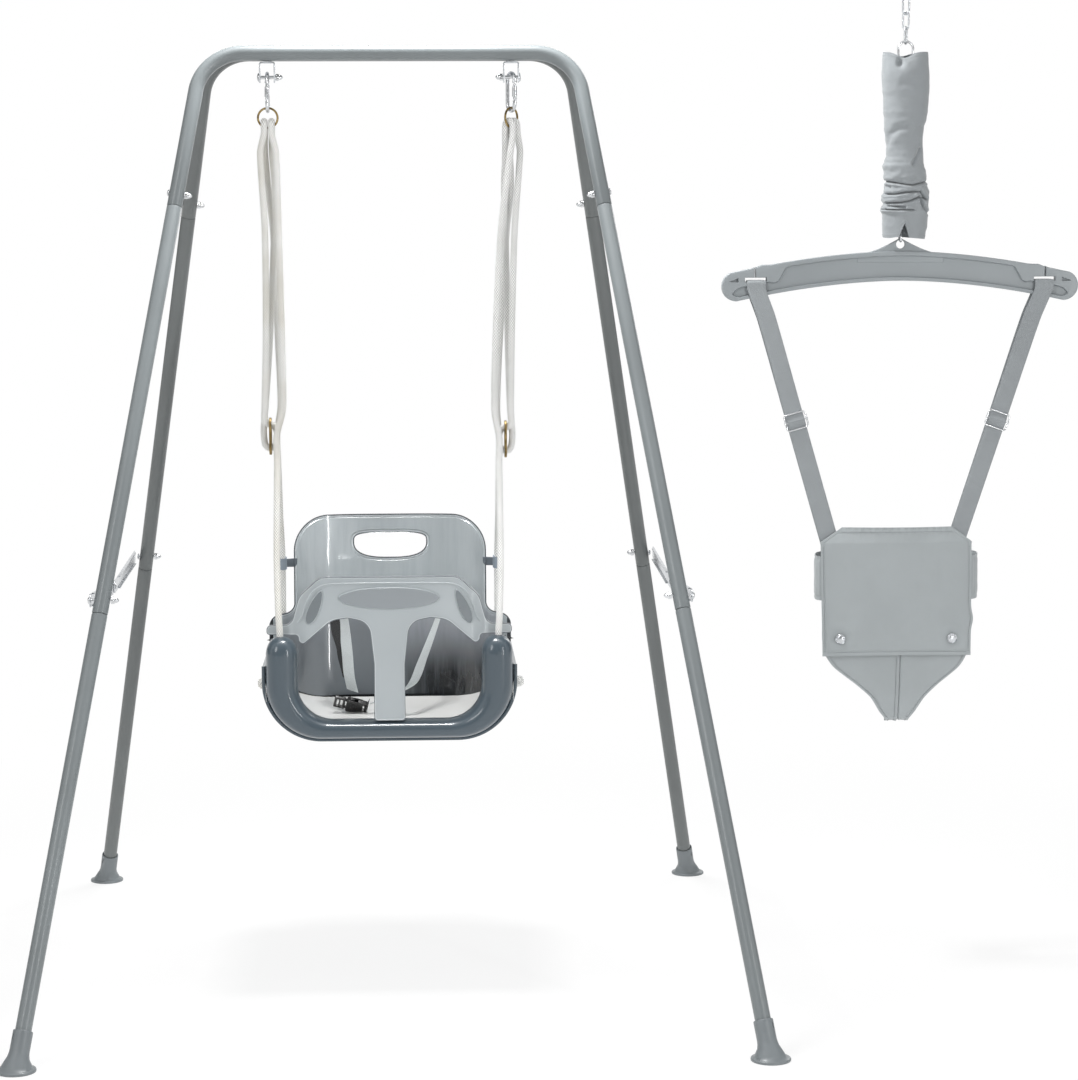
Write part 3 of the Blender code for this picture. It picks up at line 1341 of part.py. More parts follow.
def build_spreader():
    """The moulded spreader bar: an arched rimmed bar with a lug and a strap slot at each end."""
    x = FRAME_X + JUMPER_X
    half = SPREADER_LENGTH / 2
    tall = SPREADER_HEIGHT / 2
    mid_z = SPREADER_TOP - tall

    def centre_z(px):
        return mid_z - SPREADER_RISE * (abs(px) / half) ** 1.8

    steps = 16
    top, bottom = [], []
    span = half - tall
    for k in range(steps + 1):
        px = -span + 2 * span * k / steps
        grow = 0.0
        reach = abs(px) / 0.048
        if reach < 1:
            grow = SPREADER_LUG * (1 - reach) ** 1.4
        top.append((px, centre_z(px) + tall + grow))
        bottom.append((px, centre_z(px) - tall))
    right_end = arc((span, centre_z(span)), tall, 60, -60, 4)
    left_end = arc((-span, centre_z(span)), tall, 240, 120, 4)
    outline = list(reversed(bottom)) + left_end + top + right_end
    made = plate(
        "spreader_bar", outline, SPREADER_SHEET, MID_GREY, edge=0.0012, edge_steps=1,
        place=Matrix.Translation((x, 0, 0)),
    )
    inset = 0.004
    for face in (-1, 1):
        rows = [(px, centre_z(px)) for px in [-span + 2 * span * k / 12 for k in range(13)]]
        pocket = [(px, pz + tall - inset * 1.8) for px, pz in rows]
        pocket += [(px, pz - tall + inset) for px, pz in reversed(rows)]
        depth = SPREADER_SHEET * 0.34
        tool = plate(
            f"spreader_pocket_{face}", pocket, depth, MID_GREY,
            place=Matrix.Translation((x, face * (SPREADER_SHEET / 2), 0)),
        )
        cut(made, tool)
    for face in (-1, 1):
        ys = sorted((face * LUG_SHEET / 2, face * SPREADER_SHEET))
        low = (x - 0.06, ys[0], SPREADER_TOP + 0.0008)
        high = (x + 0.06, ys[1], SPREADER_TOP + 0.05)
        cut(made, box_cutter(f"spreader_lug_face_{face}", low, high))
    centre = Vector((x, 0, SPREADER_TOP + SPREADER_EYE_RISE))
    reach = Vector((0, 0.02, 0))
    cut(made, rod_cutter("spreader_eye", centre - reach, centre + reach, SPREADER_HOLE / 2, 14))
    for side in (-1, 1):
        sx = x + side * STRAP_TOP_X
        low = (sx - STRAP_WIDTH / 2 - 0.0035, -0.02, STRAP_SLOT_Z)
        high = (sx + STRAP_WIDTH / 2 + 0.0035, 0.02, STRAP_SLOT_Z + 0.0062)
        cut(made, box_cutter(f"strap_slot_{side}", low, high))


def strap_line(side, face):
    """Top and bottom of one run of a strap; face is -1 in front and 1 behind."""
    x = FRAME_X + JUMPER_X
    top_y = SPREADER_SHEET / 2 + STRAP_SHEET / 2 + GAP
    if face < 0:
        low_x, low_y, low_z = STRAP_LOW_SHIFT, STRAP_INSET - SADDLE_HALF_DEPTH, SADDLE_TOP
    else:
        low_x, low_y, low_z = STRAP_BACK_SHIFT, SADDLE_HALF_DEPTH - STRAP_BACK_INSET, SADDLE_BACK_TOP
    top = Vector((x + side * STRAP_TOP_X, face * top_y, STRAP_SLOT_Z + STRAP_SHEET / 2 + GAP))
    low = Vector((x + SADDLE_SHIFT + side * STRAP_BOTTOM_X + low_x, low_y, low_z - 0.016))
    return top, low


def build_straps():
    """Webbing straps: each goes through its slot in the bar and down both faces to the saddle."""
    level = Vector((STRAP_WIDTH, 0, 0))
    for side, label in ((-1, "left"), (1, "right")):
        runs = []
        for face in (-1, 1):
            top, low = strap_line(side, face)
            down = (low - top).normalized()
            across = Vector((-down.z, 0, down.x)).normalized() * STRAP_WIDTH
            runs.append(
                [
                    (low, across),
                    (top.lerp(low, 0.5), across),
                    (top.lerp(low, 0.12), across),
                    (top + Vector((0, 0, -0.010)), level),
                    (top + Vector((0, 0, -STRAP_SHEET / 2)), level),
                    (top + Vector((0, -face * 0.0012, 0)), level),
                    (top + Vector((0, -face * 0.0034, 0)), level),
                ]
            )
        route = runs[0] + list(reversed(runs[1]))
        name = f"jumper_strap_{label}"
        ribbon(name, [p for p, _ in route], [w for _, w in route], STRAP_SHEET, WEBBING)


def build_sliders():
    """A wire slider with a centre bar on the front run of each strap."""
    half_x, half_z, corner = SLIDER_WIDTH / 2, SLIDER_HEIGHT / 2, 0.003
    corners = [(-1, -1), (1, -1), (1, 1), (-1, 1)]
    outline = rounded([(cx * half_x, cz * half_z, corner) for cx, cz in corners], 2)
    for side, label in ((-1, "left"), (1, "right")):
        top, low = strap_line(side, -1)
        down = low - top
        spot = top + down * ((top.z - SLIDER_Z) / -down.z)
        clear = STRAP_SHEET / 2 + SLIDER_WIRE / 2 + 2 * GAP
        across = Vector((-down.z, 0, down.x))
        normal = across.cross(down).normalized()
        if normal.y > 0:
            normal = -normal
        place = axes(spot + normal * clear, -down, across)
        points = [place @ Vector((px, 0, pz)) for px, pz in outline]
        loop = mesh_of(wire(f"strap_slider_{label}", points, SLIDER_WIRE / 2, CHROME, 1, True))
        ends = [place @ Vector((half_x * k, 0, 0)) for k in (-1, 1)]
        bar = mesh_of(wire(f"slider_bar_{label}", ends, SLIDER_WIRE * 0.42, CHROME, 1))
        cut(loop, bar, "UNION")


def seat_shift(y):
    """How far the seat's cloth at depth y hangs to the right of the front flap."""
    back_share = (y / SADDLE_HALF_DEPTH + 1) / 2
    return SADDLE_SEAT_SHIFT + (SADDLE_BACK_SHIFT - SADDLE_SEAT_SHIFT) * back_share


def cloth_strip(name, line, look, columns, swell, drifts):
    """A cloth strip skinned along rows of (z, half width, y), bulging by swell at its middle."""
    x = FRAME_X + JUMPER_X + SADDLE_SHIFT
    half = SADDLE_CLOTH / 2
    rings = []
    for i, (z, width, y) in enumerate(line):
        before = line[max(i - 1, 0)]
        after = line[min(i + 1, len(line) - 1)]
        ahead = Vector((0, after[2] - before[2], after[0] - before[0])).normalized()
        normal = Vector((0, -ahead.z, ahead.y)) * half
        outer, inner = [], []
        lean = max(-1.0, min(1.0, y / SADDLE_HALF_DEPTH))
        for k in columns:
            push = lean * swell * (1 - k * k) * min(1.0, width / SADDLE_HALF)
            drift = seat_shift(y) if drifts else 0.0
            spot = Vector((x + k * width + drift, y + push, z))
            outer.append(spot + normal)
            inner.append(spot - normal)
        rings.append(outer + list(reversed(inner)))
    return loft(name, rings, look)


def build_saddle():
    """The cloth saddle: a seat strip that rises behind, side bands, and the front flap."""
    columns = [-1.0, -0.66, -0.33, 0.0, 0.33, 0.66, 1.0]
    deep = SADDLE_HALF_DEPTH
    leg_cut = [(0.4306, 0.0895), (0.4165, 0.0745), (0.4009, 0.0560), (0.3833, 0.0390), (0.3646, 0.0255)]
    depth = [0.985, 0.965, 0.93, 0.83, 0.58]
    front = [(0.485, 0.100, -deep + 0.0027), (0.450, 0.100, -deep + 0.0034)]
    front += [(z, w, (-deep + 0.004) * d) for (z, w), d in zip(leg_cut, depth)]
    crotch = [
        (0.3545, CROTCH_HALF, -deep * 0.36),
        (0.350, CROTCH_HALF - 0.0005, 0.0),
        (0.3545, CROTCH_HALF, deep * 0.36),
    ]
    back = [(z, w, deep * d) for (z, w), d in reversed(list(zip(leg_cut, depth)))]
    back += [
        (0.450, SADDLE_HALF - 0.004, deep),
        (0.530, SADDLE_HALF - 0.002, deep),
        (SADDLE_BACK_TOP - 0.022, SADDLE_HALF, deep),
        (SADDLE_BACK_TOP, SADDLE_TOP_HALF, deep),
    ]
    seat = cloth_strip("saddle_seat", front + crotch + back, CLOTH, columns, 0.012, True)
    for side in (-1, 1):
        x = FRAME_X + JUMPER_X + SADDLE_SHIFT
        route = [
            (SADDLE_HALF - 0.016, deep + 0.0026),
            (SADDLE_HALF - 0.004, deep + 0.0002),
            (SADDLE_HALF + 0.003, deep - 0.010),
            (SADDLE_HALF + 0.006, deep * 0.55),
            (SADDLE_HALF + 0.008, 0.0),
            (SADDLE_HALF + 0.006, -deep * 0.60),
            (SADDLE_HALF + 0.0005, -deep + 0.006),
            (SADDLE_HALF - 0.008, -deep + 0.002),
            (SADDLE_HALF - 0.022, -deep - 0.0018),
        ]
        middle = (BAND_TOP + BAND_BOTTOM) / 2
        points = []
        for px, py in route:
            drift = SADDLE_BACK_SHIFT * (py / deep + 1) / 2
            points.append(Vector((x + side * px + drift, py, middle)))
        widths = [Vector((0, 0, BAND_TOP - BAND_BOTTOM))] * len(points)
        band = ribbon(f"saddle_band_{side}", points, widths, SADDLE_CLOTH * 0.8, CLOTH)
        cut(seat, band, "UNION")
    flap_rows = [
        (SADDLE_TOP, SADDLE_TOP_HALF, -deep - 0.001),
        (SADDLE_TOP - 0.022, SADDLE_HALF, -deep - 0.001),
        (0.560, SADDLE_HALF - 0.001, -deep - 0.002),
        (0.500, SADDLE_HALF - 0.002, -deep - 0.001),
        (SADDLE_BOTTOM, SADDLE_HALF - 0.005, -deep),
    ]
    cloth_strip("saddle_front_flap", flap_rows, CLOTH, columns, 0.012, False)
    for side, label in ((-1, "left"), (1, "right")):
        k = SNAP_X / SADDLE_HALF
        surface = -deep - 0.0006 - 0.012 * (1 - k * k) - SADDLE_CLOTH / 2
        spot = (FRAME_X + JUMPER_X + SADDLE_SHIFT + side * SNAP_X, surface, SNAP_Z)
        slope = Vector((side * 0.18, -1, 0))
        radius = SNAP_DIAMETER / 2
        profile = [
            (0, 0.0026),
            (radius * 0.55, 0.0023),
            (radius * 0.9, 0.0012),
            (radius, 0),
            (radius * 0.9, -0.0004),
            (0, -0.0004),
        ]
        turned(f"saddle_snap_{label}", profile, axes(spot, slope, (0, 0, 1)), CHROME, 14)


def main():
    clear_scene()
    build_stand()
    build_stays()
    bolt_z = build_hangers()
    build_ropes(bolt_z)
    build_tray()
    build_backrest()
    build_guard()
    build_belts()
    build_chain()
    build_spring()
    build_sleeve()
    build_spreader()
    build_straps()
    build_sliders()
    build_saddle()


main()
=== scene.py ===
import json
from math import copysign, cos, exp, hypot, pi, radians, sin, tan

import bmesh
import bpy
from mathutils import Matrix, Vector, noise
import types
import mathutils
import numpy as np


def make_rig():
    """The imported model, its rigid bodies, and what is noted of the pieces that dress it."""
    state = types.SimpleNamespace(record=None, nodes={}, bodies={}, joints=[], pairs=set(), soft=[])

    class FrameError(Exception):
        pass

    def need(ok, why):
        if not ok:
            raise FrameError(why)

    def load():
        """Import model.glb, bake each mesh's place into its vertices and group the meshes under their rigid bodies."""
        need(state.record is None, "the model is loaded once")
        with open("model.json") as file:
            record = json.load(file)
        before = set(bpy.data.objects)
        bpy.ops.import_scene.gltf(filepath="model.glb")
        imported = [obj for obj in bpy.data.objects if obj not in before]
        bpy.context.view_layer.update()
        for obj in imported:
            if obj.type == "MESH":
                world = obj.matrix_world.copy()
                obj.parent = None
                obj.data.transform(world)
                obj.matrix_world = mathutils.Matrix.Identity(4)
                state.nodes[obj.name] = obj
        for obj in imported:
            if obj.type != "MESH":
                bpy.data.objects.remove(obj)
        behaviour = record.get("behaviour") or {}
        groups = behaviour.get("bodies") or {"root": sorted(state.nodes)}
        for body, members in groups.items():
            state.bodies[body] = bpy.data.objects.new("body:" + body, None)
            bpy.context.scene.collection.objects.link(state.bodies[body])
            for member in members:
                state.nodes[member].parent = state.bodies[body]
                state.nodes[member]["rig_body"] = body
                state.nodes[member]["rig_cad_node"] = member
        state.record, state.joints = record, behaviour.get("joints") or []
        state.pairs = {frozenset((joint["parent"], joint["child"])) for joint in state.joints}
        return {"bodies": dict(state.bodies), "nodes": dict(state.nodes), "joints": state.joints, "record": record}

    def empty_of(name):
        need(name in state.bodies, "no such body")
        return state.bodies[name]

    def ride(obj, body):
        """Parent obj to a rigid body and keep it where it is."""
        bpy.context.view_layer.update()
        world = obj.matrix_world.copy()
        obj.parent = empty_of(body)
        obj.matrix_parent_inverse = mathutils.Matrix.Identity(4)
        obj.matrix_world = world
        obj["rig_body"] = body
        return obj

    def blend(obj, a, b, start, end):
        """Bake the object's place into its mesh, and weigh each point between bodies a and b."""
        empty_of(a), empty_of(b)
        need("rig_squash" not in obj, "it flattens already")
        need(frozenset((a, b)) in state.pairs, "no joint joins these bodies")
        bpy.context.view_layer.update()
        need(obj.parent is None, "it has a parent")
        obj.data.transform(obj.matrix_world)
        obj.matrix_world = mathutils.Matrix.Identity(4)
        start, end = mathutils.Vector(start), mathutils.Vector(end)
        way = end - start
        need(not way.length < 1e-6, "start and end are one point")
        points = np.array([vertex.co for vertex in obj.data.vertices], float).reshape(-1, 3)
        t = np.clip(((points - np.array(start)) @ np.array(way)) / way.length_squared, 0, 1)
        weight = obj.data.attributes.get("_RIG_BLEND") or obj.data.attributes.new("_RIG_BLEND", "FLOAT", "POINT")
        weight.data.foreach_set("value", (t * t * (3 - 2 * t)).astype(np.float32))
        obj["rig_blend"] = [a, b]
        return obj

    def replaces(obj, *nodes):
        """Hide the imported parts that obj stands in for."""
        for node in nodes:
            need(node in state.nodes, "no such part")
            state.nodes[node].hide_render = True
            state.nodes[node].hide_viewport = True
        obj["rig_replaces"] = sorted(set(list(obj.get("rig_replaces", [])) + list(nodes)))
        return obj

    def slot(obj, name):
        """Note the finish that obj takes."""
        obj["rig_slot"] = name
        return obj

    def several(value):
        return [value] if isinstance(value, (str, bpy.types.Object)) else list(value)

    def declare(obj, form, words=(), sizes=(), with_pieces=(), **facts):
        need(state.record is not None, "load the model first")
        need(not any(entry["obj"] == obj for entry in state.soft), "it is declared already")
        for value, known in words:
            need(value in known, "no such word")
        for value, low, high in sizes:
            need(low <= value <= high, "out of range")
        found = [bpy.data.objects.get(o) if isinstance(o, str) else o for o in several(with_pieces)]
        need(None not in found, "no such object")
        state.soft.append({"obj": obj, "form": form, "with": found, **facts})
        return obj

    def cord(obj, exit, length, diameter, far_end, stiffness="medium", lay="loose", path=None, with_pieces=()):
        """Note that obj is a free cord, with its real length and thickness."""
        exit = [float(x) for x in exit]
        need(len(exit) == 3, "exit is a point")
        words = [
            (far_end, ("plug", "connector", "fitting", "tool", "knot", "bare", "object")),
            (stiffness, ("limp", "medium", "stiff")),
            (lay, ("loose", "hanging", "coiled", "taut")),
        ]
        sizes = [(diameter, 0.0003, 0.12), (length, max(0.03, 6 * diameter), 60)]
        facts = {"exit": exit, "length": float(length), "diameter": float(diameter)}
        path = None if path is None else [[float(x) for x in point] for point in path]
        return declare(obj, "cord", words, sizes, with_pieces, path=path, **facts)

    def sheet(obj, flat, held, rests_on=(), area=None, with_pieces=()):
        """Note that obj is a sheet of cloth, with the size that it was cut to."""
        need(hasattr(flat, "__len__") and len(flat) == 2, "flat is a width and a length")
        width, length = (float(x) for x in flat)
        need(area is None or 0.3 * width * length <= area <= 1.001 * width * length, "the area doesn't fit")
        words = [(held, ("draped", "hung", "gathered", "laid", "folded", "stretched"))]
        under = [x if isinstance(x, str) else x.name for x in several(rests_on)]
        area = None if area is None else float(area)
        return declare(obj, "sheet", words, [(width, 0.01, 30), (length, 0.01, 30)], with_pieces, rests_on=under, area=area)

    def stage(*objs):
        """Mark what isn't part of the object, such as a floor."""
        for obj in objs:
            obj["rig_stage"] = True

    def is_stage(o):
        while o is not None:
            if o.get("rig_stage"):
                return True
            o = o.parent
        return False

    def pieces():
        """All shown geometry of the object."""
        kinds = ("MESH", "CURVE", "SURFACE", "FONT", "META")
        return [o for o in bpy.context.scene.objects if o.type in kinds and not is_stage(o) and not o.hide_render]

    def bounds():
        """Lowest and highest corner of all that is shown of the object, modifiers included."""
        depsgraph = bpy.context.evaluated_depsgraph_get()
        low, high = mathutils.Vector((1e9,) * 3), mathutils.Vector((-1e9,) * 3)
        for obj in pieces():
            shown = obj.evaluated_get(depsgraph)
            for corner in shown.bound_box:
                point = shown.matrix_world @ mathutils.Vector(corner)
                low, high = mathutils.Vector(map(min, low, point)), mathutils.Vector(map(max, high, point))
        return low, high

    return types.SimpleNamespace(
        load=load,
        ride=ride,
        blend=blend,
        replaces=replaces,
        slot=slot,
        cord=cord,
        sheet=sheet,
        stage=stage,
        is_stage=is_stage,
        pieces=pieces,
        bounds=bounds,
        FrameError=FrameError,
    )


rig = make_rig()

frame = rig.load()
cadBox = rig.bounds()
setX = -0.2365  # the swing's middle on the shared X axis
seatX = setX - 0.006  # the seat hangs a little to the left of its rings
jumperX = setX + 0.724
clearance = 0.0003  # between pieces that rest on one another
hands = ((-1, "left"), (1, "right"))
ops = bmesh.ops
print("frame loaded:", len(frame["nodes"]), "nodes")

# Camera, light and floor

studio = {
    "cameraSpot": (-0.20914, -4.2713, 1.0921),
    "pitch": 0.112,
    "yaw": 0.0423,
    "roll": -0.0033,
    "lens": 100.18,
    "ambient": 0.52,
    "behindCamera": 0.3,
    "floorColour": (0.93, 0.93, 0.93),
    "floorGlow": 0.8,
    "glowFrom": 0.7,
    "glowTo": 1.9,
    "lamps": [
        # name, place, aim, width, height, watts
        ("keyBox", (-2.3, -2.9, 2.5), (-0.1, 0, 0.75), 0.9, 1.9, 30),
        ("fillBox", (1.9, -2.9, 1.2), (0.0, 0, 0.7), 0.1, 2.0, 24),
        ("panBox", (-0.24, 0.02, 1.95), (-0.24, 0.03, 0.36), 0.25, 0.25, 21),
        ("cardBox", (0.52, -2.96, 0.66), (-0.306, 0.175, 0.57), 0.9, 0.044, 1.8),
        ("topBox", (0.0, -0.3, 3.4), (0.0, 0, 0.7), 2.2, 1.4, 8),
        ("rimBox", (1.6, 2.6, 2.0), (0.0, 0, 0.8), 0.8, 1.6, 16),
    ],
}


def aimed(place, aim):
    facing = (Vector(aim) - Vector(place)).normalized()
    turn = facing.to_track_quat("-Z", "Y").to_matrix().to_4x4()
    return Matrix.Translation(Vector(place)) @ turn


def link(obj):
    bpy.context.scene.collection.objects.link(obj)
    return obj


def makeCamera():
    pitch, yaw, roll = studio["pitch"], studio["yaw"], studio["roll"]
    ahead = Vector((sin(yaw) * cos(pitch), cos(yaw) * cos(pitch), -sin(pitch)))
    right = Vector((cos(yaw), -sin(yaw), 0))
    up = right.cross(ahead)
    c, s = cos(roll), sin(roll)
    right, up = c * right + s * up, -s * right + c * up
    data = bpy.data.cameras.new("photoView")
    data.lens = studio["lens"]
    data.sensor_width = 36.0
    data.clip_start, data.clip_end = 0.05, 200
    camera = link(bpy.data.objects.new("photoView", data))
    turn = Matrix((right, up, -ahead)).transposed().to_4x4()
    camera.matrix_world = Matrix.Translation(Vector(studio["cameraSpot"])) @ turn
    bpy.context.scene.camera = camera


def makeLamps():
    for name, place, aim, width, height, watts in studio["lamps"]:
        data = bpy.data.lights.new(name, "AREA")
        data.shape = "RECTANGLE"
        data.size, data.size_y, data.energy = width, height, watts
        link(bpy.data.objects.new(name, data)).matrix_world = aimed(place, aim)


# Shader maths: sums on sockets are written as sums


def maths(operation, flipped=False):
    # a method that puts down a Math node; flipped puts the other value first
    def work(self, *others):
        values = (*others, self) if flipped else (self, *others)
        return self.owner.add("ShaderNodeMath", {"operation": operation}, dict(enumerate(values)))

    return work


class Value:
    def __init__(self, owner, socket):
        self.owner, self.socket = owner, socket

    __add__, __radd__ = maths("ADD"), maths("ADD", True)
    __sub__, __rsub__ = maths("SUBTRACT"), maths("SUBTRACT", True)
    __mul__, __rmul__ = maths("MULTIPLY"), maths("MULTIPLY", True)
    __truediv__, __pow__ = maths("DIVIDE"), maths("POWER")
    wave, fraction, size, most = maths("SINE"), maths("FRACT"), maths("ABSOLUTE"), maths("MAXIMUM")


class Nodes:
    def __init__(self, tree):
        self.tree = tree

    def add(self, kind, settings=None, inputs=None, output=0):
        node = self.tree.nodes.new(kind)
        for key, value in (settings or {}).items():
            setattr(node, key, value)
        for key, value in (inputs or {}).items():
            if isinstance(value, Value):
                self.tree.links.new(value.socket, node.inputs[key])
            else:
                node.inputs[key].default_value = value
        return Value(self, node.outputs[output])

    def place(self):
        return self.add("ShaderNodeTexCoord", output=3)

    def split(self):
        where = self.place()
        return [self.add("ShaderNodeSeparateXYZ", {}, {0: where}, k) for k in range(3)]

    def unrolled(self):
        where = self.add("ShaderNodeTexCoord", output=2)
        return [self.add("ShaderNodeSeparateXYZ", {}, {0: where}, k) for k in range(2)]

    def noise(self, scale, detail=2.0, rough=0.5, where=None):
        inputs = {"Scale": scale, "Detail": detail, "Roughness": rough, "Vector": where or self.place()}
        return self.add("ShaderNodeTexNoise", {}, inputs)

    def spread(self, value, low, high, start=0.0, end=1.0):
        settings = {"interpolation_type": "SMOOTHSTEP"}
        return self.add("ShaderNodeMapRange", settings, {0: value, 1: low, 2: high, 3: start, 4: end})

    def mix(self, share, first, second):
        settings = {"data_type": "RGBA"}
        return self.add("ShaderNodeMix", settings, {0: share, 6: first, 7: second}, 2)

    def bump(self, height, strength, distance):
        return self.add("ShaderNodeBump", {}, {"Strength": strength, "Distance": distance, "Height": height})

    def attribute(self, name):
        return self.add("ShaderNodeAttribute", {"attribute_name": name}, {}, 2)


class Surface(Nodes):
    def __init__(self, name, **constants):
        self.made = bpy.data.materials.new(name)
        self.made.use_nodes = True
        super().__init__(self.made.node_tree)
        self.shader = self.tree.nodes["Principled BSDF"]
        for key, value in constants.items():
            self.shader.inputs[key.replace("_", " ")].default_value = value

    def feed(self, socket, value):
        self.tree.links.new(value.socket, self.shader.inputs[socket])

    def finish(self, colour, rough, height, strength, distance):
        self.feed("Base Color", colour)
        self.feed("Roughness", rough)
        self.feed("Normal", self.bump(height, strength, distance))
        return self.made


def paint(red, green, blue, lift=1.0):
    # a colour as a picture shows it, 0 to 255, turned to the linear values that shaders use
    def linear(c):
        c = c / 255
        return (c / 12.92 if c <= 0.04045 else ((c + 0.055) / 1.055) ** 2.4) * lift

    return (linear(red), linear(green), linear(blue), 1.0)


def powderCoat(name, tone):
    s = Surface(name, Coat_Weight=0.25, Coat_Roughness=0.16)
    cloud = s.spread(s.noise(7, 3), 0.35, 0.65)
    peel = s.noise(620, 3)
    scuff = s.spread(s.noise(55, 6, 0.72), 0.66, 0.74)
    body = s.mix(cloud, paint(*tone, 0.95), paint(*tone, 1.06))
    return s.finish(s.mix(scuff * 0.35, body, paint(*tone, 1.32)), 0.3 + peel * 0.16 + scuff * 0.15, peel, 0.22, 0.0004)


def brightMetal(name, tone, low, high):
    s = Surface(name, Metallic=1.0)
    smear = s.noise(120, 5, 0.65)
    streak = s.noise(26, 2)
    nick = s.spread(s.noise(420, 2), 0.7, 0.78)
    body = s.mix(s.spread(smear, 0.35, 0.7), paint(*tone, 0.86), paint(*tone, 1.05))
    colour = s.mix(nick * 0.4, body, paint(*tone, 0.55))
    return s.finish(colour, low + (high - low) * smear + 0.05 * streak + 0.1 * nick, smear, 0.1, 0.0003)


def agedBrass():
    s = Surface("agedBrass", Metallic=1.0)
    stain = s.spread(s.noise(150, 5, 0.7), 0.38, 0.66)
    fine = s.noise(900, 3)
    colour = s.mix(stain, paint(176, 152, 104), paint(96, 82, 52))
    return s.finish(colour, 0.26 + stain * 0.26 + fine * 0.06, fine, 0.15, 0.0002)


def mouldedPlastic(name, tone, rough, grain, coat, coatRough=0.08):
    s = Surface(name, Coat_Weight=coat, Coat_Roughness=coatRough)
    flow = s.spread(s.noise(5, 4), 0.3, 0.7)
    fine = s.noise(1100, 2)
    rub = s.spread(s.noise(38, 7, 0.75), 0.69, 0.76)
    body = s.mix(flow, paint(*tone, 0.955), paint(*tone, 1.04))
    colour = s.mix(rub * 0.25, body, paint(*tone, 1.25))
    return s.finish(colour, rough + fine * grain + rub * 0.12, fine, grain * 0.8, 0.0003)


def backPlastic():
    # glossy sheet with painted shade: darker low down and towards its right side, near black low on the right, and
    # lighter on its left, with painted reflection streaks that run up and down
    s = Surface("backPlastic", Coat_Weight=0.7, Coat_Roughness=0.045)
    x, _, z = s.split()
    stretched = s.add("ShaderNodeMapping", {}, {"Vector": s.place(), "Scale": (1.0, 1.0, 0.07)})
    streak = s.spread(s.noise(120, 4, 0.6, stretched), 0.38, 0.72)
    flow = s.spread(s.noise(6, 4), 0.3, 0.7)
    # painted shade low down, kept off the shoulders
    low = s.spread(z, 0.545, 0.455) * s.spread((x - seatX).size(), 0.164, 0.152)
    right = s.spread(x - seatX, -0.035, 0.075)
    foot = s.spread(z, 0.48, 0.385)
    body = s.mix(flow, paint(163, 170, 173), paint(171, 178, 181))
    # painted light: the left of the sheet is lighter
    body = s.mix(s.spread(x - seatX, -0.12, -0.02), paint(180, 187, 190), body)
    # painted reflection streaks
    body = s.mix(streak * 0.35, body, paint(150, 158, 163))
    # painted shade and reflection: mid grey on the left, near black low on the right, darkest towards the foot
    shade = s.mix(foot, paint(126, 131, 136), paint(108, 114, 119))
    deep = s.mix(foot, paint(150, 154, 160), paint(12, 13, 15))
    deep = s.mix(streak * 0.3, deep, paint(104, 108, 113))
    body = s.mix(low, body, s.mix(right, shade, deep))
    rim = s.attribute("rim")
    # painted highlight on the raised rim
    body = s.mix(s.spread(rim, -0.2, -0.9), body, paint(206, 212, 215))
    # painted contact shadow: the dark line where the plate meets the pan's floor
    corner = 0.0767
    out = ((x - seatX).size() - (0.172 - corner)).most(0.0)
    down = (0.3625 + corner - z).most(0.0)
    away = (out * out + down * down) ** 0.5
    body = s.mix(s.spread(away, corner - 0.0022, corner - 0.001), body, paint(20, 21, 24))
    # painted shade: the dark line round the plate's edge
    colour = s.mix(s.spread(rim, 0.08, 0.5), body, paint(70, 76, 82))
    return s.finish(colour, 0.22 + streak * 0.05, s.noise(12, 2), 0.05, 0.004)


def guardPlastic():
    # satin plastic with painted shade on the floors of its dents, a painted highlight and a painted shade line along
    # its rim
    s = Surface("guardPlastic", Coat_Weight=0.3, Coat_Roughness=0.14)
    x, _, _ = s.split()
    flow = s.spread(s.noise(5, 4), 0.3, 0.7)
    fine = s.noise(1100, 2)
    body = s.mix(flow, paint(177, 184, 187, 0.97), paint(177, 184, 187, 1.03))
    # painted shade on the dent floors, deeper in the pads beside the oval
    dent = s.attribute("dent")
    beside = s.spread((x - seatX).size(), 0.076, 0.084)
    floor = s.mix(beside, paint(149, 155, 159), paint(120, 127, 131))
    rim = s.attribute("rim")
    # painted highlight along the rim
    body = s.mix(s.spread(rim, -0.1, -0.8, 0.0, 0.8), body, paint(214, 219, 221))
    # painted shade line round the plate's edge
    body = s.mix(s.spread(rim, 0.1, 0.6), body, paint(112, 119, 124))
    return s.finish(s.mix(s.spread(dent, 0.25, 0.75), body, floor), 0.34 + fine * 0.1, fine, 0.08, 0.0003)


def braidedCord(name, tone, shade):
    # u goes once round the rope and v runs along it in metres
    s = Surface(name, Sheen_Weight=0.25, Sheen_Roughness=0.5)
    u, v = s.unrolled()
    right = (u * rope["strands"] + v / rope["pick"]).fraction()
    left = (u * rope["strands"] - v / rope["pick"]).fraction()
    ridge = ((right * pi).wave() * (left * pi).wave()) ** 0.6
    thread = ((right * (pi * 6)).wave() * 0.5 + 0.5) * 0.3
    age = s.spread(s.noise(11, 3), 0.42, 0.66)
    clean = s.mix(age, paint(*tone), paint(*shade))
    # painted shade in the grooves between strands
    colour = s.mix(s.spread(ridge, 0.05, 0.75), paint(178, 178, 174), clean)
    return s.finish(colour, 0.8 - thread * 0.3, ridge + thread, 0.5, 0.0006)


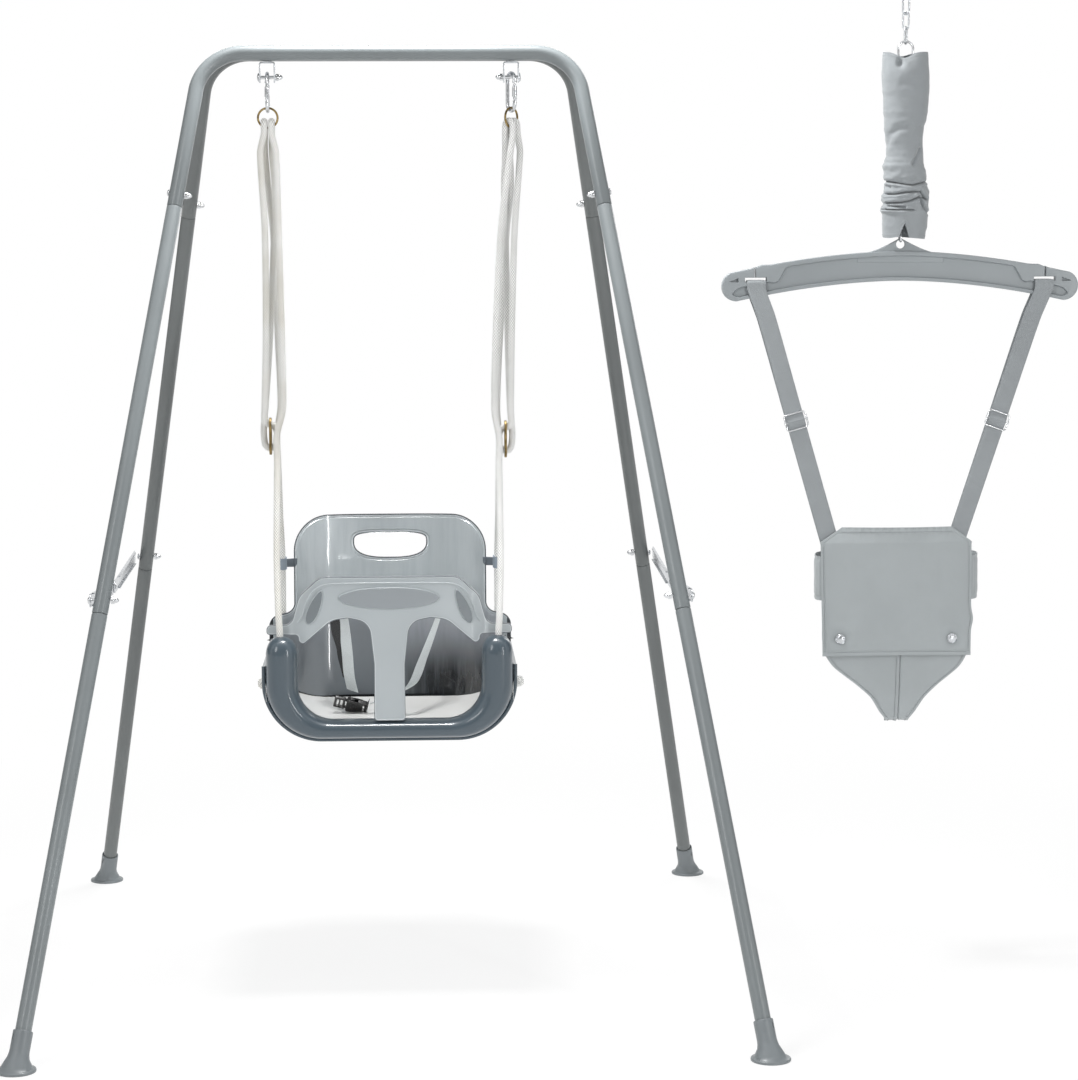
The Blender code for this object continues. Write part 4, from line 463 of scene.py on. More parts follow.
def webbing(name, tone, rib, column):
    # u runs across the band and v along it, both in metres
    s = Surface(name, Sheen_Weight=0.3, Sheen_Roughness=0.45)
    u, v = s.unrolled()
    lane = u / column
    across = (lane.fraction() * 2 - 1).size()
    pick = ((v / rib + across * 0.9).fraction() * pi).wave()
    weave = pick * (1 - (across * 2 - 1).size() ** 6 * 0.6)
    heather = s.noise(260, 3)
    cloud = s.spread(s.noise(18, 2), 0.3, 0.7)
    body = s.mix(cloud, paint(*tone, 0.96), paint(*tone, 1.05))
    grooves = s.mix(s.spread(weave, 0.0, 0.8), paint(*tone, 0.58), body)
    return s.finish(s.mix(heather * 0.22, grooves, paint(*tone, 1.3)), 0.92 - weave * 0.2, weave, 0.7, 0.0005)


def wovenCloth(name, tone, thread):
    # plain weave on the cloth's own UV map, in metres
    s = Surface(name, Sheen_Weight=0.35, Sheen_Roughness=0.5)
    u, v = s.unrolled()
    warp = (u / thread * pi).wave().size()
    weft = (v / thread * pi).wave().size()
    weave = warp * 0.5 + weft * 0.5
    slub = s.noise(520, 2)
    cloud = s.spread(s.noise(14, 4), 0.32, 0.68)
    body = s.mix(cloud, paint(*tone, 0.95), paint(*tone, 1.05))
    colour = s.mix(weave * 0.5 + slub * 0.25, paint(*tone, 0.86), body)
    return s.finish(colour, 0.9 - weave * 0.12, weave + slub * 0.6, 0.35, 0.0003)


def makeWorld():
    world = bpy.data.worlds.new("softStudio")
    bpy.context.scene.world = world
    world.use_nodes = True
    s = Nodes(world.node_tree)
    path = {k: s.add("ShaderNodeLightPath", output=n) for n, k in ((0, "camera"), (3, "glossy"), (6, "clear"))}
    where = s.add("ShaderNodeTexCoord", output=0)
    back = s.add("ShaderNodeSeparateXYZ", {}, {0: where}, 1)
    flags = s.spread(back, -0.05, 0.15) * s.spread(back, 0.74, 0.92, 1.0, 0.0)
    room = s.spread(back, -0.75, -0.25, studio["behindCamera"], 1.0) * (1 - flags * 0.8)
    seen = path["camera"].most(path["clear"])
    level = studio["ambient"] + path["glossy"] * (room - studio["ambient"])
    level = level + seen * (1 - level)
    background = s.tree.nodes["Background"]
    background.inputs["Color"].default_value = (1, 1, 1, 1)
    s.tree.links.new(level.socket, background.inputs["Strength"])


def makeFloor():
    bm = bmesh.new()
    ops.create_grid(bm, x_segments=8, y_segments=8, size=30)
    ops.translate(bm, verts=bm.verts, vec=(0, 0, -0.0002))
    mesh = meshOf(bm, "studioFloor")
    s = Surface("paleFloor", Roughness=0.9)
    s.shader.inputs["Specular IOR Level"].default_value = 0.0
    s.feed("Base Color", s.mix(s.noise(0.8, 2), studio["floorColour"] + (1,), (0.95, 0.95, 0.95, 1)))
    seen = s.add("ShaderNodeLightPath", output=0).most(s.add("ShaderNodeLightPath", output=3))
    glow = s.add("ShaderNodeEmission", {}, {"Color": (1, 1, 1, 1), "Strength": 1.0})
    x, y, _ = s.split()
    far = s.spread((x * x + y * y) ** 0.5, studio["glowFrom"], studio["glowTo"], studio["floorGlow"], 1.0)
    both = s.add("ShaderNodeMixShader", {}, {0: seen * far, 2: glow})
    s.tree.links.new(s.shader.outputs[0], both.socket.node.inputs[1])
    s.tree.links.new(both.socket, s.tree.nodes["Material Output"].inputs["Surface"])
    mesh.materials.append(s.made)
    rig.stage(link(bpy.data.objects.new("studioFloor", mesh)))


# Helpers that every piece uses


def clamp(value):
    return min(1.0, max(0.0, value))


def smooth(t):
    return t * t * (3 - 2 * t)


def hump(value):
    return exp(-value * value)


def turned(degrees, axis, size=4):
    return Matrix.Rotation(radians(degrees), size, axis)


def slid(x, y, z):
    return Matrix.Translation((x, y, z))


def mirrored(points):
    # the other half of an outline that is alike on both sides
    return [(-p[0], *p[1:]) for p in reversed(points)]


def setDown(mesh, name, look, body, stands=(), sharp=38):
    material, slotName = looks[look]
    mesh.materials.clear()
    mesh.materials.append(material)
    mesh.shade_smooth()
    mesh.set_sharp_from_angle(angle=radians(sharp))
    obj = link(bpy.data.objects.new(name, mesh))
    if body:
        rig.ride(obj, body)
    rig.slot(obj, slotName)
    if stands:
        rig.replaces(obj, *stands)
    return obj


def meshOf(bm, name="part"):
    mesh = bpy.data.meshes.new(name)
    bm.to_mesh(mesh)
    bm.free()
    return mesh


def finished(bm, name, look, body, stands=(), sharp=38, outward=True):
    if outward:
        ops.recalc_face_normals(bm, faces=bm.faces)
    return setDown(meshOf(bm, name), name, look, body, stands, sharp)


def applied(obj):
    # the mesh that an object with modifiers shows; the object itself goes
    bpy.context.view_layer.update()
    mesh = bpy.data.meshes.new_from_object(obj.evaluated_get(bpy.context.evaluated_depsgraph_get()))
    bpy.data.objects.remove(obj)
    return mesh


def thickened(obj, thickness, offset=-1, even=False):
    wall = obj.modifiers.new("wall", "SOLIDIFY")
    wall.thickness, wall.offset, wall.use_even_offset = thickness, offset, even
    return applied(obj)


def axes(origin, forward, side=(0, 0, 1)):
    z = Vector(forward).normalized()
    x = Vector(side) - Vector(side).dot(z) * z
    if x.length < 1e-6:
        x = Vector((1, 0, 0)) - Vector((1, 0, 0)).dot(z) * z
    x.normalize()
    return Matrix.Translation(Vector(origin)) @ Matrix((x, z.cross(x), z)).transposed().to_4x4()


def spin(bm, profile, place, sides=48, ring=False):
    # a profile of (radius, height) turned about the Z axis of place
    before = set(bm.verts)
    points = [bm.verts.new((radius, 0, height)) for radius, height in profile]
    edges = [bm.edges.new(pair) for pair in zip(points, points[1:])]
    if ring:
        edges.append(bm.edges.new((points[-1], points[0])))
    ops.spin(bm, geom=points + edges, cent=(0, 0, 0), axis=(0, 0, 1), angle=2 * pi, steps=sides, use_merge=True)
    fresh = [v for v in bm.verts if v not in before]
    ops.transform(bm, matrix=place, verts=fresh)
    ops.remove_doubles(bm, verts=fresh, dist=1e-6)


def addSpline(data, points, closed):
    spline = data.splines.new("POLY")
    spline.points.add(len(points) - 1)
    for corner, point in zip(spline.points, points):
        corner.co = (*point, 1.0)
    spline.use_cyclic_u = closed


def curveMesh(points, radius, sides=24, closed=False, capped=True):
    # a round bar along a line
    data = bpy.data.curves.new("way", "CURVE")
    data.dimensions = "3D"
    data.bevel_depth = radius
    data.bevel_resolution = max(0, (sides - 4) // 2)
    data.use_fill_caps = capped and not closed
    addSpline(data, points, closed)
    return applied(link(bpy.data.objects.new("way", data)))


def joinMeshes(meshes):
    bm = bmesh.new()
    for mesh in meshes:
        bm.from_mesh(mesh)
        bpy.data.meshes.remove(mesh)
    return bm


def circle(steps):
    turn = [2 * pi * k / steps for k in range(steps)]
    return [(cos(a), sin(a)) for a in turn]


def arc(centre, radius, start, end, steps):
    turn = [radians(start + (end - start) * k / steps) for k in range(steps + 1)]
    return [(centre[0] + radius * cos(a), centre[1] + radius * sin(a)) for a in turn]


def rounded(corners, steps=6):
    # a closed outline from (x, y, radius) corners
    outline = []
    for i, (x, y, radius) in enumerate(corners):
        here = Vector((x, y))
        back = Vector(corners[i - 1][:2]) - here
        ahead = Vector(corners[(i + 1) % len(corners)][:2]) - here
        if radius <= 0:
            outline.append((x, y))
            continue
        back.normalize()
        ahead.normalize()
        half = back.angle(ahead) / 2
        centre = here + (back + ahead).normalized() * radius / sin(half)
        first = here + back * (radius / tan(half)) - centre
        last = here + ahead * (radius / tan(half)) - centre
        sweep = first.angle_signed(last)
        for k in range(steps + 1):
            spot = centre + Matrix.Rotation(-sweep * k / steps, 2) @ first
            outline.append((spot.x, spot.y))
    return outline


def smoothLine(points, step, tight=0.5):
    line = []
    count = len(points)
    for i in range(count - 1):
        before, start, end = points[max(i - 1, 0)], points[i], points[i + 1]
        after = points[min(i + 2, count - 1)]
        length = (end - start).length
        pullIn = (end - before) * tight * min(1.0, length / max((start - before).length, 1e-9))
        pullOut = (after - start) * tight * min(1.0, length / max((after - end).length, 1e-9))
        pieces = max(1, round(length / step))
        for k in range(pieces):
            t = k / pieces
            line.append(
                (2 * t**3 - 3 * t**2 + 1) * start
                + (t**3 - 2 * t**2 + t) * pullIn
                + (-2 * t**3 + 3 * t**2) * end
                + (t**3 - t**2) * pullOut
            )
    line.append(points[-1])
    return line


def evenly(line, step):
    # the same line with a point every step metres
    reach = [0.0]
    for a, b in zip(line, line[1:]):
        reach.append(reach[-1] + (b - a).length)
    count = max(2, round(reach[-1] / step))
    out, i = [], 0
    for k in range(count + 1):
        target = reach[-1] * k / count
        while i < len(line) - 2 and reach[i + 1] < target:
            i += 1
        span = max(reach[i + 1] - reach[i], 1e-12)
        out.append(line[i].lerp(line[i + 1], clamp((target - reach[i]) / span)))
    return out, reach[-1]


def tabled(rows, z):
    # smooth reading of a table that runs from the highest row down
    for upper, lower in zip(rows, rows[1:]):
        if z >= lower[0]:
            t = smooth(clamp((upper[0] - z) / (upper[0] - lower[0])))
            return [a + (b - a) * t for a, b in zip(upper[1:], lower[1:])]
    return rows[-1][1:]


def carried(line):
    # a direction across the line at each point that turns as little as it can
    count = len(line)
    ahead = []
    for i in range(count):
        ahead.append((line[min(i + 1, count - 1)] - line[max(i - 1, 0)]).normalized())
    side = ahead[0].orthogonal().normalized()
    sides = []
    for i in range(count):
        side = (side - side.dot(ahead[i]) * ahead[i]).normalized()
        sides.append(side)
    return ahead, sides


def gridMesh(across, along, place, closed=False, metres=(1.0, 1.0)):
    # a grid of quads moved to place(u, v), with its UV map in metres
    bm = bmesh.new()
    uvs = bm.loops.layers.uv.new("UVMap")
    ops.create_grid(bm, x_segments=across, y_segments=along, size=0.5)
    for face in bm.faces:
        for loop in face.loops:
            spot = loop.vert.co
            loop[uvs].uv = ((spot.x + 0.5) * metres[0], (spot.y + 0.5) * metres[1])
    for vert in bm.verts:
        vert.co = place(vert.co.x + 0.5, vert.co.y + 0.5)
    if closed:
        ops.remove_doubles(bm, verts=bm.verts, dist=1e-6)
    return bm


def tubeMesh(around, along, place, metres=(1.0, 1.0)):
    # the same, joined round and closed at both ends
    bm = gridMesh(around, along, place, True, metres)
    rims = [e for e in bm.edges if e.is_boundary]
    if rims:
        ops.holes_fill(bm, edges=rims, sides=0)
    return bm


# Swing ropes: the cords come first

rope = {"thick": 0.0096, "step": 0.0011, "sides": 32, "relief": 0.0005, "pick": 0.0048, "strands": 8}
# how far the strands lie inward of the adjuster: under the ring, upper, middle, over the adjuster
rope["inward"] = {-1: (0.0021, 0.0038, 0.0055, 0.0063), 1: (-0.0081, -0.0062, 0.0009, 0.0035)}
rope.update(lace=0.002, ringSpread=2.1)
ringPlace = {"topX": 0.171, "centreZ": 1.2667, "rise": 0.0092, "reach": 0.0069, "turnRight": radians(50)}
adjuster = {"x": 0.1745, "y": 0.003, "z": 0.7625, "length": 0.053, "width": 0.023, "sheet": 0.0035}
adjuster.update(hole=0.013, pitch=0.0165, inward={-1: 0.0014, 1: 0.0135}, drop={-1: 0.0, 1: 0.006})
carabinerSize = {"length": 0.058, "width": 0.026, "wire": 0.0055, "turnRight": radians(27)}
ringSize = {"across": 0.0305, "wire": 0.003}
post = {"x": 0.152, "y": -0.126, "top": 0.493}
sideClip = {"x": 0.1575, "y": 0.117, "z": 0.567}
knot = {"y": 0.116, "z": 0.389, "start": 0.1755, "length": 0.02}


def hangerX(side):
    return setX + side * ringPlace["topX"]


def hookTop():
    return ringPlace["centreZ"] + 0.0025 + clearance + carabinerSize["wire"]


def ringCentre(side):
    seat = hookTop() - carabinerSize["length"] + carabinerSize["wire"] / 2
    drop = (carabinerSize["wire"] + ringSize["wire"]) / 2 + clearance
    z = seat + drop - (ringSize["across"] - ringSize["wire"]) / 2
    return Vector((hangerX(side), 0, z))


def adjusterPlace(side):
    x = setX + side * (adjuster["x"] - adjuster["inward"][side])
    return Vector((x, adjuster["y"], adjuster["z"] - adjuster["drop"][side]))


def ropeRoute(side):
    turn = ringPlace["turnRight"] if side > 0 else 0.0
    base = ringCentre(side) - Vector((0, 0, (ringSize["across"] - ringSize["wire"]) / 2))
    x0, y0, z0 = adjusterPlace(side)
    under, upper, middle, over = rope["inward"][side]
    lace = rope["lace"]
    postX, postY, postTop = post.values()
    clipX, clipY, clipZ = sideClip.values()
    knotY, knotZ, start, length = knot.values()
    high, low = z0 + adjuster["pitch"], z0 - adjuster["pitch"]
    apart = 0.0004  # between two strands
    clear = (rope["thick"] + adjuster["sheet"]) / 2 + apart
    lane = rope["thick"] / 2 + apart

    def beside(out, y, z):
        return Vector((x0 + side * out, y, z))

    def seatSide(x, y, z):
        return Vector((seatX + side * x, y, z))

    def atRing(way, angle, drop=0.0):
        angle = radians(angle)
        rise = ringPlace["rise"] * sin(angle) - drop
        local = Vector((side * way, -ringPlace["reach"] * cos(angle), rise))
        return base + Matrix.Rotation(turn, 3, "Z") @ local

    def overRing(way):
        arch = [atRing(way, a) for a in (30, 62, 90, 118, 150)]
        rise = [atRing(way * rope["ringSpread"], 0, 0.035), atRing(way, 0, 0.008)]
        fall = [atRing(way, 180, 0.008), atRing(way, 180, 0.035)]
        return rise + arch + fall

    return [
        # from the seat's front post up to the ring
        seatSide(postX, postY, postTop + clearance),
        seatSide(postX, postY, postTop + 0.006),
        seatSide(postX + 0.0015, postY + 0.0045, postTop + 0.026),
        beside(-0.0103, -0.078, 0.6),
        beside(-clear - 0.003, -0.019, low - 0.016),
        beside(-clear - 0.0022, -0.0125, z0),
        beside(-0.0125 - over, -0.0115, high + 0.025),
        beside(-0.013 - middle, -0.0125, 0.9),
        beside(-0.012 - upper, -0.0105, 1.05),
        *overRing(-lane),
        # down, in through the adjuster's lower hole, out through its upper one and up again
        beside(-0.0085 - under, 0.0066, 1.11),
        beside(-0.005 - upper, 0.0062, 1.05),
        beside(0.005 - middle, 0.012, 0.9),
        beside(0.0092 - lace, 0.015, high + 0.026),
        beside(0.01, 0.012, z0 + 0.006),
        beside(0.008, y0 + 0.0022, low + 0.0052),
        beside(0.004, y0, low + 0.0006),
        beside(0.0, y0, low),
        beside(-0.0042, y0, low + 0.0008),
        beside(-0.0084, y0, low + 0.007),
        beside(-0.0092, y0, z0),
        beside(-0.0084, y0, high - 0.007),
        beside(-0.0042, y0, high - 0.0008),
        beside(0.0, y0, high),
        beside(0.004, y0 - 0.0008, high + 0.0012),
        beside(0.0082, y0 - 0.003, high + 0.008),
        beside(0.0096 - lace, y0 - 0.005, high + 0.024),
        beside(0.01 - middle, -0.004, 0.9),
        beside(0.0075 - upper, -0.007, 1.05),
        *overRing(lane),
        # down past the adjuster to the clip behind the seat and the stopper knot
        beside(0.001 - under, 0.0135, 1.11),
        beside(-0.003 - upper, 0.0195, 1.05),
        beside(-0.006 - middle, 0.0225, 0.9),
        beside(-0.008 - over, 0.0205, high + 0.026),
        beside(-0.0085, 0.0215, z0),
        beside(-0.009, 0.028, low - 0.016),
        beside(-0.0085, 0.078, 0.65),
        seatSide(clipX, clipY - 0.007, clipZ + 0.02),
        seatSide(clipX, clipY, clipZ),
        seatSide(clipX, clipY + 0.003, clipZ - 0.02),
        seatSide(clipX, clipY + 0.001, 0.5),
        seatSide(clipX, knotY + 0.003, 0.43),
        seatSide(clipX - 0.0015, knotY + 0.001, knotZ + 0.018),
        seatSide(clipX + 0.0025, knotY, knotZ + 0.0055),
        seatSide(clipX + 0.01, knotY, knotZ),
        seatSide(start, knotY, knotZ),
        seatSide(start + length * 0.5, knotY, knotZ),
        seatSide(start + length, knotY, knotZ),
    ]


ropeLines = {side: evenly(smoothLine(ropeRoute(side), 0.001), rope["step"]) for side in (-1, 1)}


def braidTube(line, length, radius):
    ahead, sides = carried(line)
    rows = len(line) - 1
    strands, pick = rope["strands"], rope["pick"]

    def place(u, v):
        i = min(rows, round(v * rows))
        angle = 2 * pi * u
        s = length * v / pick
        ridge = abs(sin(pi * (u * strands + s)) * sin(pi * (u * strands - s))) ** 0.6
        out = radius - rope["relief"] * (1 - ridge)
        side = sides[i]
        return line[i] + (side * cos(angle) + ahead[i].cross(side) * sin(angle)) * out

    return tubeMesh(rope["sides"], rows, place, (1.0, length))


def makeRopes():
    for side, label in hands:
        line, length = ropeLines[side]
        bm = braidTube(line, length, rope["thick"] / 2)
        made = finished(bm, f"swingRope_{label}", f"braid_{label}", "swing", [f"swing_rope_{label}"], 60)
        # the stopper knot outside the seat, tied in the rope's own end
        loop = []
        turns = 90
        for k in range(turns + 1):
            t = 2 * pi * k / turns
            x = -sin(3 * t) * 0.0052
            y = (sin(t) + 2 * sin(2 * t)) * 0.0016
            z = (cos(t) - 2 * cos(2 * t)) * 0.0016
            loop.append(Vector((seatX + side * (knot["start"] + 0.0105 + x), knot["y"] + y, knot["z"] + z)))
        even, reach = evenly(loop, rope["step"])
        tied = finished(
            braidTube(even, reach, rope["thick"] * 0.44), f"ropeKnot_{label}", f"braid_{label}", "swing", (), 60
        )
        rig.cord(
            made, exit=line[0], length=length, diameter=rope["thick"], far_end="knot", stiffness="limp",
            lay="taut", path=line, with_pieces=[tied],
        )
    print("ropes laced")


bpy.context.scene.view_settings.view_transform = "Standard"
makeCamera()
makeLamps()
makeWorld()
makeFloor()

looks = {  # each with its slot in the part
    "steel": (powderCoat("powderCoatFront", (120, 126, 128)), "steel"),
    # a darker copy of the coat, painted shade for the rear frame
    "steelRearShaded": (powderCoat("powderCoatRearShaded", (104, 108, 108)), "steel"),
    "chrome": (brightMetal("chromePlate", (222, 224, 226), 0.1, 0.24), "chrome"),
    "zinc": (brightMetal("zincPlate", (214, 217, 220), 0.16, 0.34), "chrome"),
    "brass": (agedBrass(), "brass"),
    "foot": (mouldedPlastic("footPlastic", (118, 124, 127), 0.36, 0.14, 0.15, 0.25), "foot_plastic"),
    "slate": (mouldedPlastic("slatePlastic", (70, 83, 92), 0.26, 0.05, 0.55, 0.07), "slate"),
    "midGrey": (backPlastic(), "mid_grey"),
    "lightGrey": (guardPlastic(), "light_grey"),
    "spreader": (mouldedPlastic("spreaderPlastic", (147, 153, 156), 0.38, 0.1, 0.15, 0.25), "mid_grey"),
    "black": (mouldedPlastic("blackPlastic", (13, 13, 14), 0.3, 0.12, 0.3, 0.15), "black"),
    "strap": (webbing("strapWebbing", (155, 160, 163), 0.0021, 0.0052), "webbing"),
    "belt": (webbing("beltWebbing", (202, 208, 209), 0.0018, 0.004), "webbing"),
    "panFloor": (mouldedPlastic("panFloorPlastic", (250, 250, 248), 0.22, 0.04, 0.5, 0.05), "slate"),
    "clip": (mouldedPlastic("clipPlastic", (140, 151, 162), 0.32, 0.08, 0.2, 0.2), "mid_grey"),
    # a darker copy of the clip's plastic, painted shade on the neck behind the plate's edge
    "clipNeckShaded": (mouldedPlastic("clipNeckShadedPlastic", (96, 104, 112), 0.32, 0.08, 0.2, 0.2), "mid_grey"),
    # near-black webbing for the sheet that stands for painted shade under the left belt
    "shadowWeb": (webbing("shadowWebbing", (26, 27, 30), 0.001, 0.0015), "webbing"),
    "cloth": (wovenCloth("saddleCloth", (168, 174, 176), 0.00055), "cloth"),
    # the thread is darkened with painted shade, for the shadow of the puckers along the stitches
    "thread": (wovenCloth("threadCottonShaded", (94, 99, 102), 0.0006), "cloth"),
    "sleeve": (wovenCloth("sleeveCloth", (152, 157, 160), 0.0006), "cloth"),
    "braid_left": (braidedCord("braidLeft", (248, 248, 245), (232, 229, 220)), "rope"),
    "braid_right": (braidedCord("braidRight", (250, 250, 249), (240, 241, 239)), "rope"),
}
makeRopes()

# The stand

tube = {"across": 0.021, "wall": 0.0013, "spigot": 0.045, "sides": 48, "lip": 0.0011, "boltAbove": 0.019}
pipe = tube["across"] / 2
stand = {"barHeight": 1.3, "barSpacing": 0.0216, "footReach": 0.54, "bend": 0.067}
stand.update(footSpread={"front": 0.96, "rear": 0.945}, cornerSpread={"front": 0.52, "rear": 0.507})
stand.update(upperSeam={"front": 1.188, "rear": 1.173}, lowerSeam={"front": 0.604, "rear": 0.588})


class Leg:
    def __init__(self, side, end):
        facing = -1 if end == "front" else 1
        self.side, self.end = side, end
        self.label = "left" if side < 0 else "right"
        self.foot = Vector((setX + side * stand["footSpread"][end] / 2, facing * stand["footReach"], 0))
        barY = facing * stand["barSpacing"] / 2
        self.corner = Vector((setX + side * stand["cornerSpread"][end] / 2, barY, stand["barHeight"]))
        self.up = (self.corner - self.foot).normalized()
        self.upperSeam, self.lowerSeam = stand["upperSeam"][end], stand["lowerSeam"][end]
        across = Vector((1, 0, 0))
        self.across = (across - across.dot(self.up) * self.up).normalized() * side

    def at(self, distance):
        return self.foot + self.up * distance

    def bolt(self, seam):
        return self.at(seam + tube["boltAbove"])


def makeUpperTube(end, look, body):
    left, right = Leg(-1, end), Leg(1, end)

    def bend(leg, inward):
        sweep = leg.up.angle(inward)
        start = leg.corner - leg.up * stand["bend"] * tan(sweep / 2)
        normal = leg.up.cross(inward).normalized()
        centre = start + normal.cross(leg.up).normalized() * stand["bend"]
        return [centre + Matrix.Rotation(sweep * k / 24, 3, normal) @ (start - centre) for k in range(25)]

    points = [left.at(left.upperSeam)]
    points += bend(left, Vector((1, 0, 0)))
    points += list(reversed(bend(right, Vector((-1, 0, 0)))))
    points.append(right.at(right.upperSeam))
    shell = curveMesh(points, pipe, tube["sides"], capped=False)
    obj = link(bpy.data.objects.new("shell", shell))
    bm = joinMeshes([thickened(obj, tube["wall"], even=True)])
    rims = [e for e in bm.edges if abs(e.calc_face_angle(0) - pi / 2) < 0.4]
    ops.bevel(bm, geom=rims, offset=0.0005, segments=2, profile=0.5, affect="EDGES", material=-1)
    finished(bm, f"upperTube_{end}", look, body, [f"{end}_upper_tube"], outward=False)


def makeLegTube(part, leg, low, high, look, body):
    r, lip = pipe, tube["lip"]
    bore = r - tube["wall"]
    neck = bore - clearance
    outer = [(r - 0.0005, low), (r, low + 0.0006), (r, high - lip * 1.4)]
    outer += [(r - lip * 0.35, high - lip * 0.45), (neck + 0.0004, high), (neck, high + 0.001)]
    outer += [(neck, high + tube["spigot"] - 0.001), (neck - 0.0008, high + tube["spigot"])]
    inner = [(neck - 0.0013, high + tube["spigot"]), (neck - 0.0013, high - 0.004), (bore, high - 0.008), (bore, low)]
    bm = bmesh.new()
    spin(bm, outer + inner, axes(leg.foot, leg.up), tube["sides"], ring=True)
    name = f"{leg.end}_{part}_{leg.label}"
    finished(bm, f"{part.replace('_', '')}_{leg.end}_{leg.label}", look, body, [name])


footShape = {"flange": 0.052, "wall": 0.002, "top": 0.052, "floor": 0.016, "neck": 0.0165, "sides": 64}


def makeFoot(leg, body):
    outer = pipe + 0.0004 + footShape["wall"]
    bore = pipe + 0.0004
    tilt = axes(leg.foot, leg.up, (1, 0, 0))
    flat = Matrix.Translation(leg.foot)
    wide, neck = footShape["flange"] / 2, footShape["neck"]
    rise = leg.up / leg.up.z
    # each ring: how far it leans with the leg, its radius and its height
    rings = [(0, wide - 0.0009, 0), (0, wide - 0.0002, 0.0003), (0, wide, 0.0011), (0, wide, 0.0024)]
    rings += [(0, wide - 0.0004, 0.0033), (0, wide - 0.0014, 0.0039), (0.06, wide - 0.004, 0.0043)]
    rings += [(0.35, outer + 0.0068, 0.0072), (0.7, outer + 0.004, 0.0125), (0.9, outer + 0.0016, neck + 0.0005)]
    rings += [(1, outer + 0.0003, neck + 0.006), (1, outer, neck + 0.0095), (1, outer, 0.046), (1, outer, 0.05)]
    rings += [(1, outer - 0.0002, 0.0514), (1, outer - 0.0008, footShape["top"])]
    rings += [(1, bore + 0.0006, footShape["top"]), (1, bore, 0.0512), (1, bore, footShape["floor"])]
    rings.append((1, 0.0001, 0.0158))
    last = len(rings) - 1

    def place(u, v):
        lean, radius, height = rings[min(last, round(v * last))]
        spot = Vector((radius * cos(2 * pi * u), radius * sin(2 * pi * u), 0))
        level = flat @ spot + rise * height * (1 if lean > 0 else 0) + Vector((0, 0, 0 if lean > 0 else height))
        return level.lerp(tilt @ (spot + Vector((0, 0, height))), lean)

    bm = tubeMesh(footShape["sides"], last, place)
    made = finished(bm, "shell", "foot", None, (), 50)
    # the narrow slot near the top of the socket
    cutter = bmesh.new()
    ops.create_cube(cutter, size=1.0)
    slotPlace = tilt @ turned(215 if leg.side < 0 else 325, "Z")
    slotPlace = slotPlace @ slid(outer, 0, 0.0425) @ Matrix.Diagonal((0.003, 0.0022, 0.0075, 1))
    ops.transform(cutter, matrix=slotPlace, verts=cutter.verts)
    tool = finished(cutter, "slotTool", "foot", None)
    cut = made.modifiers.new("slot", "BOOLEAN")
    cut.object, cut.solver = tool, "EXACT"
    mesh = applied(made)
    bpy.data.objects.remove(tool)
    name = f"foot_{leg.end}_{leg.label}"
    setDown(mesh, name, "foot", body, [f"{leg.end}_foot_{leg.label}"], 42)


bolt = {"shank": 0.005, "head": 0.0095, "headHigh": 0.0026, "nut": 0.0088, "nutLong": 0.0105}
stay = {"width": 0.018, "sheet": 0.0015, "flange": 0.0038, "standoff": 0.0044, "sag": 0.014}
stay.update(endFlat=0.022, middleFlat=0.046)


def addBolt(bm, centre, outward, gripOut, gripIn, head):
    place = axes(centre, outward, (0, 1, 0))
    shank, high = bolt["shank"] / 2, bolt["headHigh"]
    dome = [(0.0, 0.55), (0.155, 0.55), (0.17, 0.97), (0.3, 0.9), (0.42, 0.68), (0.49, 0.36), (0.5, 0.12)]
    dome = [(head * out, gripOut + high * up) for out, up in dome]
    dome += [(head * 0.48, gripOut + 0.0001), (shank, gripOut), (shank, -gripIn), (bolt["nut"] * 0.47, -gripIn)]
    spin(bm, dome, place, 32)
    nut, top = bolt["nut"] / 2, -gripIn
    cap = [(nut * 0.98, top), (nut, top - 0.0006), (nut * 0.97, top - bolt["nutLong"] * 0.38)]
    for k in range(7):
        a = radians(90 * k / 6)
        cap.append((nut * 0.86 * cos(a), top - bolt["nutLong"] * (0.44 + 0.56 * sin(a))))
    spin(bm, cap, place, 24)
    # flats of the nut
    flats = ops.create_cone(
        bm, cap_ends=True, segments=6, radius1=nut * 1.1, radius2=nut * 1.1, depth=bolt["nutLong"] * 0.42
    )
    shift = slid(0, 0, top - bolt["nutLong"] * 0.21)
    ops.transform(bm, matrix=place @ shift, verts=flats["verts"])


def makeBolt(name, body, centre, outward, gripOut, gripIn, head, stands):
    bm = bmesh.new()
    addBolt(bm, centre, outward, gripOut, gripIn, head)
    finished(bm, name, "chrome", body, [stands])


def makeBolts():
    grip = pipe + clearance
    level = pipe + 0.0011
    for end, body in (("front", "front_frame"), ("rear", "rear_frame")):
        for side in (-1, 1):
            leg = Leg(side, end)
            place = leg.bolt(leg.upperSeam)
            name = f"upperBolt_{end}_{leg.label}"
            makeBolt(name, body, place, leg.across, grip, grip, bolt["head"], f"{end}_upper_bolt_{leg.label}")
            # in front the bolt reaches over the stay's standoff and sheet
            out = pipe + stay["standoff"] + stay["sheet"] + clearance if end == "front" else level
            name = f"lowerBolt_{end}_{leg.label}"
            place = leg.bolt(leg.lowerSeam)
            makeBolt(name, body, place, (side, 0, 0), out, level, bolt["head"], f"{end}_lower_bolt_{leg.label}")


